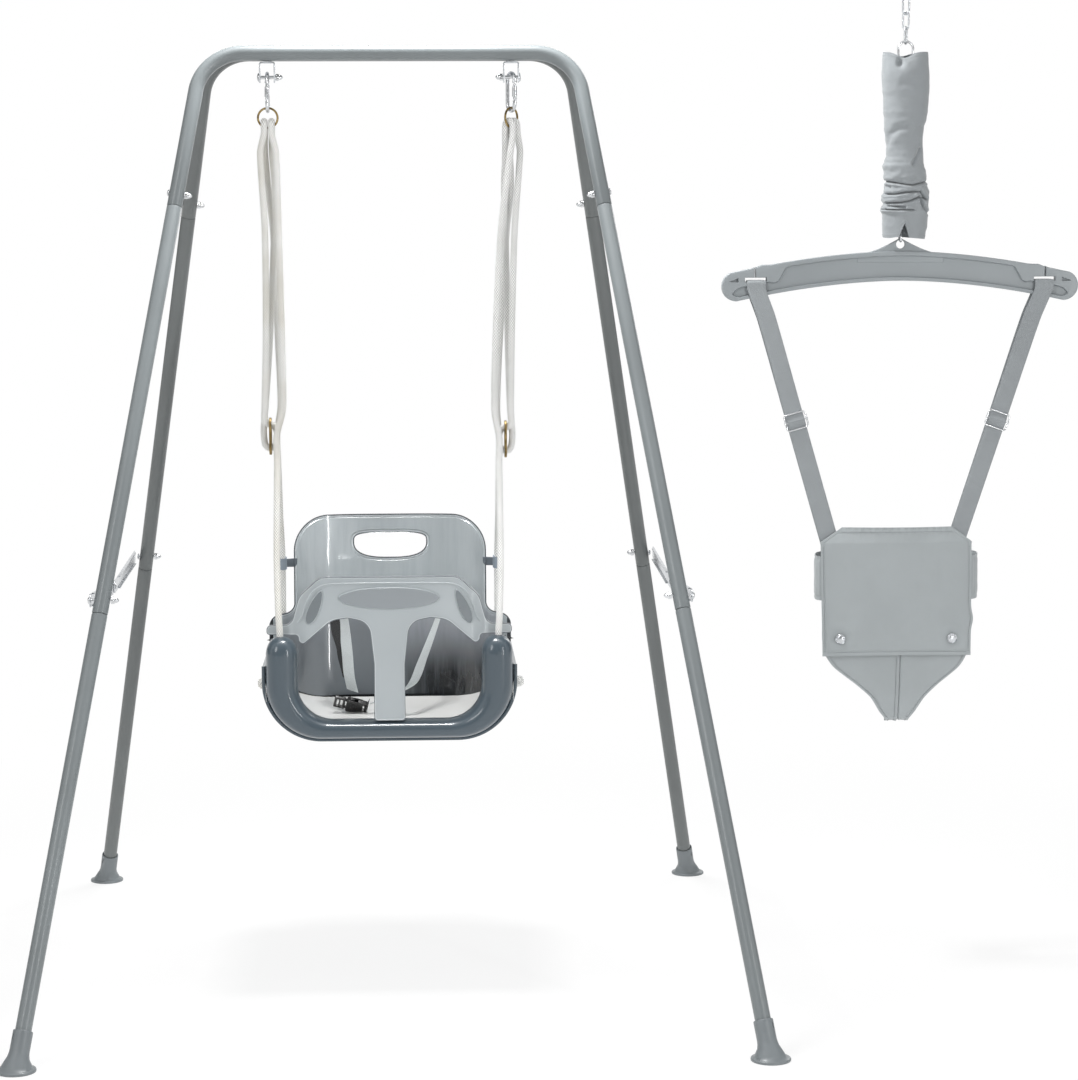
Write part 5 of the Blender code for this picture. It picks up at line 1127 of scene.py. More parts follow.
def makeStand():
    # the rear frame takes the darker copy of the coat, painted shade
    for end, body, look in (("front", "front_frame", "steel"), ("rear", "rear_frame", "steelRearShaded")):
        makeUpperTube(end, look, body)
        for side in (-1, 1):
            leg = Leg(side, end)
            makeLegTube("middle_tube", leg, leg.lowerSeam + clearance, leg.upperSeam - clearance, look, body)
            makeLegTube("lower_tube", leg, footShape["floor"] + clearance, leg.lowerSeam - clearance, look, body)
            makeFoot(leg, body)
    makeBolts()
    print("stand built")


makeStand()

# Folding stays


def flatPlate(outline, thick, edge=0.0003, segments=2):
    # a plate in its own XZ plane with eased rims
    bm = bmesh.new()
    face = bm.faces.new([bm.verts.new((x, -thick / 2, z)) for x, z in outline])
    grown = ops.extrude_face_region(bm, geom=[face])
    moved = [item for item in grown["geom"] if isinstance(item, bmesh.types.BMVert)]
    ops.translate(bm, verts=moved, vec=(0, thick, 0))
    ops.recalc_face_normals(bm, faces=bm.faces)
    if edge:
        rim = [e for e in bm.edges if abs(e.verts[0].co.y - e.verts[1].co.y) < 1e-9]
        ops.bevel(bm, geom=rim, offset=edge, segments=segments, profile=0.5, affect="EDGES", material=-1)
    return bm


def merged(parts):
    # several bmeshes, each with its place, as one
    whole = bmesh.new()
    for bm, place in parts:
        ops.transform(bm, matrix=place, verts=bm.verts)
        mesh = meshOf(bm)
        whole.from_mesh(mesh)
        bpy.data.meshes.remove(mesh)
    return whole


def stayLink(start, end, inner, offset, flatStart, flatEnd):
    run = end - start
    half, flange, length = stay["width"] / 2, stay["flange"] / 2, run.length
    along = run.normalized()
    upward = Vector((1, 0, 0)).cross(along)
    if upward.z < 0:
        upward = -upward
    place = Matrix.Translation(start + Vector((offset, 0, 0)))
    place = place @ Matrix((along, Vector((1, 0, 0)), upward)).transposed().to_4x4()
    outline = arc((0, 0), half, 90, 270, 20) + arc((length, 0), half, -90, 90, 20)
    parts = [(flatPlate(outline, stay["sheet"]), place)]
    for sign in (1, -1):
        middle = sign * (half - stay["sheet"] * 0.55)
        rim = rounded(
            [(flatStart - 0.004, -flange, 0.0), (length - flatEnd + 0.004, -flange, 0.0),
             (length - flatEnd, flange, 0.0015), (flatStart, flange, 0.0015)]
        )
        turn = turned(90 if inner > 0 else -90, "X")
        shift = slid(0, inner * flange, middle)
        parts.append((flatPlate(rim, stay["sheet"], 0.0003), place @ shift @ turn))
    # the pressed rib along the web
    rib = curveMesh([(flatStart + 0.01, 0, 0), (length - flatEnd - 0.01, 0, 0)], 0.0021, 12)
    bm = joinMeshes([rib])
    squashed = slid(0, -inner * stay["sheet"] * 0.28, 0) @ Matrix.Diagonal((1, 0.5, 1, 1))
    parts.append((bm, place @ squashed))
    return parts


def rivetProfile(head, top):
    rows = [(0, 0.0022), (0.45, 0.002), (0.8, 0.0013), (1, 0.0002), (1, 0)]
    return [(head * out, top + up) for out, up in rows]


def makeStays():
    for side, label in hands:
        front, rear = Leg(side, "front"), Leg(side, "rear")
        start, end = front.bolt(front.lowerSeam), rear.bolt(rear.lowerSeam)
        start.x = end.x = start.x + side * (pipe + stay["standoff"] + stay["sheet"] / 2)
        middle = (start + end) / 2 - Vector((0, 0, stay["sag"]))
        inward, lap = -side, stay["sheet"] + clearance
        near = stayLink(start, middle, inward, 0, stay["endFlat"], stay["middleFlat"])
        head = bolt["head"] / 2
        rivet = bmesh.new()
        top = stay["sheet"] / 2 - 0.0002
        spin(rivet, rivetProfile(head, top) + [(0.0025, top), (0.0025, -top - lap)], Matrix(), 28)
        spin(rivet, [(r, -z - lap) for r, z in rivetProfile(head, top)], Matrix(), 28)
        near.append((rivet, axes(middle, (side, 0, 0), (0, 1, 0))))
        finished(merged(near), f"stayFront_{label}", "zinc", f"stay_front_{label}", [f"stay_front_link_{label}"])
        far = stayLink(middle, end, inward, inward * lap, stay["middleFlat"], stay["endFlat"])
        boss = bmesh.new()
        spin(boss, rivetProfile(head, top), Matrix(), 28)
        far.append((boss, axes(end + Vector((inward * lap, 0, 0)), (side, 0, 0), (0, 1, 0))))
        finished(merged(far), f"stayRear_{label}", "zinc", f"stay_rear_{label}", [f"stay_rear_link_{label}"])
    print("stays built")


makeStays()

# Hangers, carabiners, rings and adjusters

hanger = {"spacing": 0.0205, "sheet": 0.002, "deep": 0.013, "drop": 0.0225, "tail": 0.0075, "head": 0.0125}
hanger.update(clipWide=0.013, clipSheet=0.0012)


def makeHangers():
    r = pipe + clearance
    under = stand["barHeight"] - r
    for side, label in hands:
        x = hangerX(side)
        rear = (stand["barSpacing"] / 2, stand["barHeight"])
        inner = arc(rear, r, -90, 128, 36)
        outer = arc(rear, r + hanger["clipSheet"], 128, -90, 36)
        frontEnd = -stand["barSpacing"] / 2 - hanger["deep"] * 0.18
        outline = [(frontEnd, under)] + inner + outer + [(frontEnd, under - hanger["clipSheet"])]
        clipPlace = slid(x, 0, 0) @ turned(90, "Z")
        base = under - hanger["clipSheet"] + hanger["sheet"] * 0.1
        half = hanger["spacing"] / 2 + hanger["sheet"] / 2
        low = under - hanger["drop"] - hanger["tail"]
        inside = half - hanger["sheet"]
        legs = rounded(
            [(-half, low, 0), (-half, base, 0.0028), (half, base, 0.0028), (half, low, 0), (inside, low, 0),
             (inside, base - hanger["sheet"], 0.0012), (-inside, base - hanger["sheet"], 0.0012), (-inside, low, 0)], 8
        )
        parts = [(flatPlate(outline, hanger["clipWide"], 0.0002), clipPlace)]
        parts.append((flatPlate(legs, hanger["deep"], 0.0003), slid(x, 0, 0)))
        finished(merged(parts), f"hanger_{label}", "zinc", "front_frame", [f"hanger_bracket_{label}"])
        grip = half + clearance
        name, place = f"hangerBolt_{label}", (x, 0, under - hanger["drop"])
        makeBolt(name, "front_frame", place, (side, 0, 0), grip, grip, hanger["head"], f"hanger_bolt_{label}")


def makeCarabiners():
    r = carabinerSize["wire"] / 2
    half = carabinerSize["width"] / 2 - r
    top, bottom = -r, -carabinerSize["length"] + r
    hinge, latch = bottom + half + 0.004, -r - half - 0.004
    for side, label in hands:
        turn = carabinerSize["turnRight"] if side > 0 else 0.0
        place = slid(hangerX(side), 0, hookTop())
        place = place @ Matrix.Rotation(turn - radians(90), 4, "Z")
        points = [Vector((half, 0, hinge))]
        points += [Vector((x, 0, z)) for x, z in arc((0, bottom + half), half, 0, -180, 28)]
        points += [Vector((x, 0, z)) for x, z in arc((0, top - half), half, 180, 0, 28)]
        points += [Vector((half, 0, latch))]
        hook = joinMeshes([curveMesh([place @ p for p in points], r, 28)])
        # the nose's catch
        spin(hook, [(0, latch - 0.0002), (r * 1.05, latch), (r * 1.18, latch + 0.0018), (r, latch + 0.004)],
             place @ slid(half, 0, 0), 28)
        finished(hook, f"carabiner_{label}", "chrome", "swing", [f"carabiner_{label}"])
        low, high = hinge + clearance, latch - clearance
        thin, thick = 0.0024, 0.0036
        gate = [(0, low), (thin * 0.7, low + 0.0004), (thin, low + 0.0016), (thin, low + 0.0046), (thick, low + 0.0052)]
        ridges = 6
        for k in range(ridges):
            z = low + 0.0062 + (high - low - 0.0125) * k / ridges
            step = (high - low - 0.0125) / ridges
            gate += [(thick, z), (thick, z + step * 0.62)]
            gate += [(thick - 0.0003, z + step * share) for share in (0.72, 0.92)]
        gate += [(thick, high - 0.0055), (thick * 0.92, high - 0.0046), (thin, high - 0.0042), (thin, high - 0.0008)]
        gate.append((0, high))
        bm = bmesh.new()
        spin(bm, gate, place @ slid(half, 0, 0), 28)
        ops.create_uvsphere(
            bm, u_segments=20, v_segments=12, radius=0.0027,
            matrix=place @ slid(half + 0.0016, 0, low + 0.0022),
        )
        finished(bm, f"carabinerGate_{label}", "chrome", f"gate_{label}", [f"carabiner_gate_{label}"])


def makeRings():
    radius = (ringSize["across"] - ringSize["wire"]) / 2
    for side, label in hands:
        turn = ringPlace["turnRight"] if side > 0 else 0.0
        centre = ringCentre(side)
        way = Matrix.Rotation(turn, 3, "Z")
        points = [centre + way @ Vector((radius * c, 0, radius * s)) for c, s in circle(72)]
        bm = joinMeshes([curveMesh(points, ringSize["wire"] / 2, 20, closed=True)])
        finished(bm, f"swingRing_{label}", "brass", "swing", [f"swing_ring_{label}"])


def holedPlate(outlines, thick, edge, place):
    # a flat curve with holes, given thickness and rolled rims
    data = bpy.data.curves.new("plate", "CURVE")
    data.dimensions, data.fill_mode = "2D", "BOTH"
    data.extrude, data.bevel_depth, data.bevel_resolution = thick / 2 - edge, edge, 3
    data.offset = -edge
    for outline in outlines:
        addSpline(data, [(x, y, 0) for x, y in outline], True)
    mesh = applied(link(bpy.data.objects.new("plate", data)))
    mesh.transform(place @ turned(90, "X"))
    bm = joinMeshes([mesh])
    ops.remove_doubles(bm, verts=bm.verts, dist=1e-6)
    return bm


def makeAdjusters():
    half, width = adjuster["length"] / 2, adjuster["width"] / 2
    outline = arc((0, half - width), width, 0, 180, 28) + arc((0, width - half), width, 180, 360, 28)
    holes = [arc((0, k * adjuster["pitch"]), adjuster["hole"] / 2, 360, 0, 36)[:-1] for k in (-1, 0, 1)]
    for side, label in hands:
        place = Matrix.Translation(adjusterPlace(side))
        bm = holedPlate([outline] + holes, adjuster["sheet"], 0.0008, place @ turned(90, "Z"))
        finished(bm, f"ropeAdjuster_{label}", "brass", "swing", [f"rope_adjuster_{label}"])


makeHangers()
makeCarabiners()
makeRings()
makeAdjusters()
print("hangers, carabiners, rings and adjusters built")


# The swing seat: tray, backrest, guard, belts and buckle

tray = {"half": 0.1718, "bottom": 0.35, "corner": 0.077, "innerHalf": 0.128, "innerBottom": 0.376, "innerCorner": 0.05}
tray.update(rollDeep=0.05, square=0.84, dome=0.026)
scoop = {"half": 0.1765, "wall": 0.004, "bottom": 0.3465, "top": 0.452, "back": 0.168, "lip": 0.0013, "rise": 0.0115}


def uShape(half, bottom, corner, top, turn=26, flat=8, floor=10):
    # points of a U from its left post round the bottom to the right post
    left = [(-half, top + (bottom + corner - top) * k / flat) for k in range(flat)]
    bend = arc((-half + corner, bottom + corner), corner, 180, 270, turn)
    level = [(-(half - corner) * (1 - k / floor), bottom) for k in range(1, floor)]
    return left + bend + level + [(0.0, bottom)] + mirrored(left + bend + level)


def makeTrayRoll():
    top = post["top"] - tray["dome"]
    outer = uShape(tray["half"], tray["bottom"], tray["corner"], top)
    inner = uShape(tray["innerHalf"], tray["innerBottom"], tray["innerCorner"], top)
    sections = []
    steps = 12
    for k in range(steps, 0, -1):  # the rounded top of the left post
        a = pi / 2 * k / steps
        sections.append((outer[0], inner[0], max(0.02, cos(a) ** 0.78), tray["dome"] * sin(a) ** 0.95))
    sections += [(a, b, 1.0, 0.0) for a, b in zip(outer, inner)]
    sections += [(outer[-1], inner[-1], shrink, lift) for _, _, shrink, lift in reversed(sections[:steps])]
    last = len(sections) - 1

    def place(u, v):
        a, b, shrink, lift = sections[round(v * last)]
        a, b = Vector(a), Vector(b)
        c, s = cos(2 * pi * u), sin(2 * pi * u)
        across = copysign(abs(c) ** tray["square"], c) * shrink
        deep = copysign(abs(s) ** tray["square"], s) * shrink
        spot = (a + b) / 2 + (a - b) / 2 * across
        return Vector((seatX + spot.x, post["y"] + deep * tray["rollDeep"] / 2, spot.y + lift))

    bm = tubeMesh(72, last, place)
    finished(bm, "trayRoll", "slate", "swing", ["seat_tray"], 60)


def makeTrayScoop():
    radius = tray["corner"] + scoop["half"] - tray["half"]
    outside = uShape(scoop["half"], scoop["bottom"], radius, scoop["top"])
    wall = scoop["wall"]
    inside = uShape(scoop["half"] - wall, scoop["bottom"] + wall, radius - wall, scoop["top"])
    # cross section: lip, outside, rear edge, inside
    lip = scoop["lip"]
    front, back = post["y"] - 0.001, scoop["back"]
    stations = [(0.0, front + 0.0016), (lip * 0.8, front + 0.0005), (lip, front - 0.0006), (lip * 0.6, front - 0.0016)]
    stations += [(-wall * 0.5, front - 0.0019), (-wall + 0.0006, front - 0.0012), (-wall, front + 0.0012)]
    loop = [(-wall, front + (back - front) * k / 24) for k in range(1, 24)]
    loop += [(-wall, back - 0.001), (-wall * 0.7, back), (-wall * 0.3, back), (0.0, back - 0.001)]
    loop += [(0.0, back + (front - back) * k / 24) for k in range(1, 24)]
    ring = stations + loop
    columns, rows = len(ring), len(outside) - 1

    def place(u, v):
        depth, y = ring[round(u * columns) % columns]
        i = round(v * rows)
        a, b = Vector(outside[i]), Vector(inside[i])
        spot = a + (a - b) / wall * depth
        return Vector((seatX + spot.x, y, spot.y))

    bm = tubeMesh(columns, rows, place)
    finished(bm, "trayScoop", "slate", "swing", (), 50)
    # the pale floor inside, which starts behind the roll
    liftUp = 0.0005
    low, bend = scoop["bottom"] + wall + liftUp, radius - wall - liftUp
    nearLine = uShape(scoop["half"] - wall - liftUp, low, bend, 0.402)
    farLine = uShape(scoop["half"] - wall - liftUp, low + scoop["rise"], bend, 0.402)
    count = len(nearLine) - 1
    near, far = post["y"] - 0.004, 0.1475

    def onFloor(u, v):
        x, z = Vector(nearLine[round(u * count)]).lerp(Vector(farLine[round(u * count)]), v)
        y = near + (far - near) * v
        step = clamp((y + 0.098) / 0.004)
        return Vector((seatX + x, y, z + 0.0016 * (1 - step) * max(0.0, 1 - (z - 0.351) / 0.03)))

    bm = gridMesh(count, 90, onFloor, False, (0.45, 0.27))
    made = finished(bm, "trayFloor", "panFloor", None, (), 60, outward=False)
    setDown(thickened(made, 0.0004, 0), "trayFloor", "panFloor", "swing", (), 60)


backrest = {"top": 0.632, "half": 0.1415, "corner": 0.049, "shoulder": 0.1755, "shoulderTop": 0.494, "sheet": 0.006}
backrest.update(y=0.1615, wrap=0.105, lean=0.08, base=0.3513)
backrest.update(slotHalf=0.0535, slotTop=0.604, slotMiddle=0.5905, slotLow=0.571)


def backShape(x, y, z):
    forward = backrest["wrap"] * (abs(x) / backrest["shoulder"]) ** 4
    return Vector((seatX + x, backrest["y"] + y - forward + (z - backrest["base"]) * backrest["lean"], z))


def filled(bm, loops, dents):
    # faces that look forward between the loops, and one face in each dent
    rings = []
    for loop in loops + dents:
        verts = [bm.verts.new((x, 0, z)) for x, z in loop]
        rings.append(verts)
        for a, b in zip(verts, verts[1:] + verts[:1]):
            bm.edges.new((a, b))
    ops.triangle_fill(bm, use_beauty=True, use_dissolve=False, edges=bm.edges[:], normal=(0, -1, 0))
    dentFaces = [bm.faces.new(verts) for verts in rings[len(loops):]]
    for face in bm.faces:
        face.normal_update()
        if face.normal.y > 0:
            face.normal_flip()
    return dentFaces


def inset(bm, faces, steps):
    for thickness, depth in steps:
        ops.inset_region(bm, faces=faces, thickness=thickness, depth=depth, use_even_offset=True, use_boundary=True)


def formedPlate(outline, holes, dents, thick, front, back, cells, shape, dark=0):
    # a moulded plate: filled outline, rims stepped by insets, then bent by shape.
    # front and back list (inset, rise); dents list (loop, steps); cells cut it along X and Z so that it bends
    bm = bmesh.new()
    rim = bm.verts.layers.float.new("rim")
    dent = bm.verts.layers.float.new("dent")
    dentFaces = filled(bm, [outline] + holes, [loop for loop, _ in dents])
    grown = ops.extrude_face_region(bm, geom=bm.faces[:], use_keep_orig=True)
    rear = [g for g in grown["geom"] if isinstance(g, bmesh.types.BMFace)]
    rearVerts = {v for f in rear for v in f.verts}
    frontFaces = [f for f in bm.faces if not any(v in rearVerts for v in f.verts)]
    rises = sum(rise for _, rise in front if rise > 0)
    falls = sum(rise for _, rise in back if rise > 0)
    for face in rear:
        face.normal_flip()
    ops.translate(bm, verts=list({v for f in frontFaces for v in f.verts}), vec=(0, -thick / 2 + rises, 0))
    ops.translate(bm, verts=list(rearVerts), vec=(0, thick / 2 - falls, 0))
    # rim marks where painted shade (1) and a painted highlight (-1) go; dark is the inset step with the highlight
    for vert in bm.verts if dark else rearVerts:
        vert[rim] = 1.0
    bm.normal_update()
    for faces, steps in ((frontFaces, front), (rear, back)):
        for k, step in enumerate(steps):
            inset(bm, faces, [step])
            for vert in {v for f in faces for v in f.verts}:  # 1 on the painted shade line round the plate, -1 on the painted highlight
                vert[rim] = 0.0 if faces is rear or k > dark else (-1.0 if k == dark else 1.0)
    for face, (_, steps) in zip([f for f in dentFaces if f.is_valid], dents):
        inset(bm, [face], steps)
        for vert in face.verts:
            vert[dent] = 1.0
    for normal, places in zip(((1, 0, 0), (0, 0, 1)), cells):
        for spot in places:
            geom = bm.verts[:] + bm.edges[:] + bm.faces[:]
            ops.bisect_plane(bm, geom=geom, dist=1e-6, plane_co=Vector(normal) * spot, plane_no=normal)
    big = [f for f in bm.faces if len(f.verts) > 4]
    ops.triangulate(bm, faces=big)
    for vert in bm.verts:
        vert.co = shape(*vert.co)
    return bm


def spans(low, high, step):
    count = max(1, round((high - low) / step))
    return [low + (high - low) * k / count for k in range(1, count)]


def makeBackrest():
    inside = scoop["half"] - scoop["wall"] - 0.0008
    corner = tray["corner"] + scoop["half"] - tray["half"] - scoop["wall"] - 0.0008
    shoulder, level = backrest["shoulder"], backrest["shoulderTop"]
    half = [(inside, backrest["base"], corner), (inside, scoop["top"] - 0.006, 0.008)]
    half += [(shoulder, scoop["top"] + 0.006, 0.008), (shoulder, level, 0.012)]
    half += [(backrest["half"], level, 0.012), (backrest["half"], backrest["top"], backrest["corner"])]
    outline = rounded(half + mirrored(half), 14)
    s, centre = backrest["slotHalf"], backrest["slotMiddle"]
    slotLine = []
    for c, n in circle(128):
        power = 0.52 if n > 0 else 0.84
        reach = backrest["slotTop"] - centre if n > 0 else centre - backrest["slotLow"] + 0.003
        x, z = copysign(abs(c) ** (0.52 if n > 0 else 0.7), c), copysign(abs(n) ** power, n)
        slotLine.append((s * x, centre + reach * z))
    front = [(0.0002, 0.0006), (0.0004, 0.0005), (0.0007, 0.0003), (0.001, 0.0001), (0.0022, 0.0), (0.0009, -0.0009)]
    rear = [(0.0002, 0.0006), (0.0005, 0.0004), (0.001, 0.0002)]
    cells = spans(-0.172, 0.172, 0.0065), spans(0.356, 0.628, 0.016)
    bm = formedPlate(outline, [slotLine], [], backrest["sheet"], front, rear, cells, backShape, 3)
    finished(bm, "backrestShell", "midGrey", "swing", ["backrest"], 35, outward=False)
    # clips that hold the rear strands of the ropes, each on a narrow neck behind the plate's edge
    for side, label in hands:
        line = [p for p in ropeLines[side][0] if abs(p.z - sideClip["z"]) < 0.0088 and p.y > 0.06]
        grip = joinMeshes([curveMesh(line[::3] + [line[-1]], 0.0066, 32)])
        middle = sum(line, Vector()) / len(line)
        root = backShape(side * (backrest["half"] - 0.004), 0.0035, sideClip["z"] - 0.0015)
        run = root - middle
        reach = run.length
        neck = [(0.004, -0.0058, 0.001), (reach, -0.007, 0.001), (reach, 0.0058, 0.001), (0.004, 0.0058, 0.001)]
        forward = run.normalized()
        place = Matrix((forward, forward.cross(Vector((0, 0, -1))), Vector((0, 0, 1)))).transposed().to_4x4()
        arm = flatPlate(rounded(neck), 0.0046, 0.0008, 3)
        finished(grip, f"ropeClip_{label}", "clip", "swing")
        held = merged([(arm, Matrix.Translation(middle) @ place)])
        # the neck takes the clip's plastic darkened with painted shade
        finished(held, f"ropeClipNeck_{label}", "clipNeckShaded", "swing")


guard = {"top": 0.575, "topHalf": 0.096, "earHalf": 0.171, "earTop": 0.5065, "postHalf": 0.0215, "archX": 0.058}
guard.update(archTop=0.5185, sheet=0.022, y=-0.124, bow=0.01, lean=0.1, earLow=0.4939, postLow=0.3766, earDip=0.0105)
# the dents: the oval's half width, middle and half height; a pad's x, z, half width and half height
guard.update(oval=(0.0715, 0.546, 0.0165), pad=(0.1035, 0.5335, 0.0088, 0.0262))


def guardShape(x, y, z):
    bow = guard["bow"] * (abs(x) / guard["earHalf"]) ** 2
    near = clamp((0.004 - y) / 0.012)  # only the front face falls back at the ears
    t = clamp((abs(x) - 0.112) / 0.026)
    dip = guard["earDip"] * smooth(t) * near
    return Vector((seatX + x, guard["y"] + y + bow + dip + (z - guard["earLow"]) * guard["lean"], z))


def makeGuard():
    inner = tray["innerHalf"] - 0.0016
    right = [
        (guard["postHalf"], guard["postLow"], 0.0042),
        (guard["postHalf"], 0.455, 0.03),
        (guard["archX"] - 0.03, guard["archTop"] - 0.006, 0.022),
        (guard["archX"], guard["archTop"], 0.016),
        (guard["archX"] + 0.022, guard["archTop"] - 0.003, 0.03),
        (inner, 0.476, 0.006),
        (inner, guard["earLow"], 0.0044),
        (guard["earHalf"], guard["earLow"], 0.0044),
        (guard["earHalf"], guard["earTop"], 0.006),
        (0.1365, guard["earTop"] + 0.001, 0.014),
        (0.1255, 0.548, 0.03),
        (guard["topHalf"], guard["top"], 0.024),
    ]
    outline = rounded(right + mirrored(right), 9)
    wide, middle, tall = guard["oval"]
    oval = [(wide * c, middle + tall * s) for c, s in circle(72)]
    padX, padZ, padWide, padTall = guard["pad"]
    sunk = [(0.0003, 0.0), (0.0006, -0.001), (0.0005, -0.0022), (0.0008, -0.0008)]
    dents = [(oval, sunk)]
    for side in (-1, 1):
        lean = radians(23) * side
        pad = []
        for c, s in circle(44):
            px, pz = padWide * (1 - 0.18 * s) * c, padTall * s
            x = side * padX + px * cos(lean) - pz * sin(lean)
            pad.append((x, padZ + px * sin(lean) + pz * cos(lean)))
        dents.append((pad, sunk))
    front = [(0.0002, 0.0008), (0.0004, 0.0007), (0.0007, 0.0006), (0.001, 0.0003), (0.0014, 0.0001)]
    rear = [(0.0003, 0.0008), (0.0006, 0.0006), (0.0012, 0.0004)]
    cells = spans(-0.17, 0.17, 0.007), spans(0.38, 0.574, 0.012)
    bm = formedPlate(outline, [], dents, guard["sheet"], front, rear, cells, guardShape, 2)
    finished(bm, "guardShell", "lightGrey", "guard", ["t_guard"], 35, outward=False)
    # the raised line that follows the top and sides of the head
    line = [(-0.128, 0.512), (-0.122, 0.52), (-0.1155, 0.541), (-0.104, 0.558), (-0.088, 0.5655), (-0.05, 0.5672)]
    line += [(0.0, 0.5675)] + mirrored(line)
    flat = smoothLine([Vector((x, z, 0)) for x, z in line], 0.003)
    points = [guardShape(p.x, -guard["sheet"] / 2 + 0.0002, p.y) for p in flat]
    bm = joinMeshes([curveMesh(points, 0.0009, 12)])
    hole = ops.create_cone(bm, cap_ends=True, segments=20, radius1=0.0013, radius2=0.0013, depth=0.001)
    spot = guardShape(0, -guard["sheet"] / 2 + 0.0034, 0.5318)
    ops.transform(bm, matrix=axes(spot, (0, -1, 0)), verts=hole["verts"])
    finished(bm, "guardTrim", "lightGrey", "guard")


belt = {"wide": 0.02, "sheet": 0.0016}


def bandMesh(points, widths, thick, across=8):
    # a flat woven band along points, with its UV map in metres; widths reach across it
    length = sum((b - a).length for a, b in zip(points, points[1:]))
    wide = widths[0].length
    rows = len(points) - 1
    ring = 2 * across + 2
    faces = []
    for i, point in enumerate(points):
        ahead = points[min(i + 1, rows)] - points[max(i - 1, 0)]
        normal = ahead.cross(widths[i]).normalized()
        row = []
        for face in (1, -1):
            for k in range(across + 1)[::face]:
                t = k / across * 2 - 1
                swell = face * thick / 2 * (1 - 0.55 * t**6)
                row.append(point + widths[i] * t / 2 + normal * swell)
        faces.append(row)

    def place(u, v):
        return faces[round(v * rows)][round(u * ring) % ring]

    return tubeMesh(ring, rows, place, (2 * wide, length))


def beltPath(side, low):
    start = backShape(side * 0.081, -backrest["sheet"] / 2 - 0.0024, 0.52)
    start.x -= seatX
    return [start, Vector((side * 0.077, 0.105, 0.516)), Vector((side * 0.069, 0.09, 0.487))] + [Vector(p) for p in low]


def makeBelts():
    routes = {
        "left": (-1, [(-0.063, 0.055, 0.445), (-0.06, 0.04, 0.412), (-0.055, 0.035, 0.39)]),
        "right": (1, [(0.0457, 0.04, 0.4326), (0.0287, 0.014, 0.4), (-0.0228, 0.032, 0.3738)]),
    }
    for label, (side, low) in routes.items():
        path = [p + Vector((seatX, 0, 0)) for p in beltPath(side, low)]
        points, length = evenly(smoothLine(path, 0.002), 0.0024)
        widths = []
        for i in range(len(points)):
            t = i / (len(points) - 1)
            upright = Vector((side * 0.25, -0.2 * (1 - t), 1.0))
            turn = upright.lerp(Vector((1.0, 0.7 * side, 0.25 * side)), min(1, t * 1.3))
            widths.append(turn.normalized() * belt["wide"])
        bm = bandMesh(points, widths, belt["sheet"])
        made = finished(bm, f"lapBelt_{label}", "belt", "swing", [f"lap_belt_{label}"], 45)
        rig.sheet(made, flat=(belt["wide"], length), held="hung", rests_on=["backrest", "belt_buckle"])
        # painted shade: a near-black sheet behind the left belt's edge where the belt's underside lies in shadow; it
        # widens beside the upper half and narrows to the buckle
        if side < 0:
            behind, under = [], []
            span = points[14:-8]
            for i, point in enumerate(span):
                t = i / (len(span) - 1)
                wide = tabled([(1.0, 0.006), (0.75, 0.011), (0.5, 0.0165), (0.25, 0.019), (0.0, 0.01)], t)[0]
                across = widths[14 + i].normalized()
                edge = point - Vector((abs(across.x), 0, 0)) * belt["wide"] / 2
                behind.append(edge + Vector((0.004 - wide / 2, 0.006, 0.0)))
                under.append(Vector((wide, 0, 0.0005)))
            shadowBand = bandMesh(behind, under, belt["sheet"] * 0.8, 6)
            dark = finished(shadowBand, "lapBeltLining", "shadowWeb", "swing", (), 45)
            reach = sum((b - a).length for a, b in zip(behind, behind[1:]))
            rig.sheet(dark, flat=(0.013, reach), held="hung", rests_on=["backrest"])


def makeBuckle():
    lay = slid(seatX - 0.0585, 0.035, 0.37) @ turned(13, "Y") @ turned(42, "X")
    parts = []

    def block(corners, deep, forward=0.0, edge=0.0009):
        corners = [(*corner, 0.001)[:3] for corner in corners]  # 1 mm where no radius is named
        parts.append((flatPlate(rounded(corners, 5), deep, edge, 3), lay @ slid(0, forward, 0)))

    socket = [(-0.006, -0.0125, 0.003), (0.018, -0.011, 0.004)]
    rows = [  # whether the two mirrored halves are one outline, depth, place in depth, half outline
        (True, 0.0026, -0.0036, socket),
        (True, 0.0026, 0.0036, socket),
        (False, 0.009, 0, [(0.01, -0.011), (0.0245, -0.01, 0.003), (0.0245, -0.0065), (0.01, -0.0075)]),
        (True, 0.0042, 0, [(0.0205, -0.0095), (0.0245, -0.0095)]),
        # the plug's ladder
        (True, 0.0065, 0, [(-0.0115, -0.0105), (-0.008, -0.0105)]),
        (True, 0.0048, 0, [(-0.024, -0.01, 0.002), (-0.0205, -0.01)]),
        (True, 0.004, 0, [(-0.0175, -0.01), (-0.015, -0.01)]),
        (False, 0.0052, 0, [(-0.024, -0.0105), (-0.008, -0.0105), (-0.008, -0.008), (-0.024, -0.008)]),
    ]
    for joined, deep, forward, below in rows:
        above = [(x, -z, *r) for x, z, *r in reversed(below)]
        for corners in [below + above] if joined else [below, above]:
            block(corners, deep, forward)
    # two bowed prongs with their press buttons
    block([(-0.008, 0.006), (0.004, 0.0095), (0.005, 0.0132), (-0.0005, 0.0134, 0.002), (-0.0085, 0.009)], 0.004)
    block([(-0.008, -0.009), (-0.0005, -0.0134, 0.002), (0.005, -0.0132), (0.004, -0.0095), (-0.0085, -0.006)], 0.004)
    for k in range(4):  # grip ridges on the socket's face
        x = 0.0034 * k
        ridge = [(x, -0.0075), (x + 0.0013, -0.0075), (x + 0.0013, 0.0075), (x, 0.0075)]
        block([(*corner, 0.0003) for corner in ridge], 0.0012, -0.0052, 0.0003)
    finished(merged(parts), "beltBuckle", "black", "swing", ["belt_buckle"])


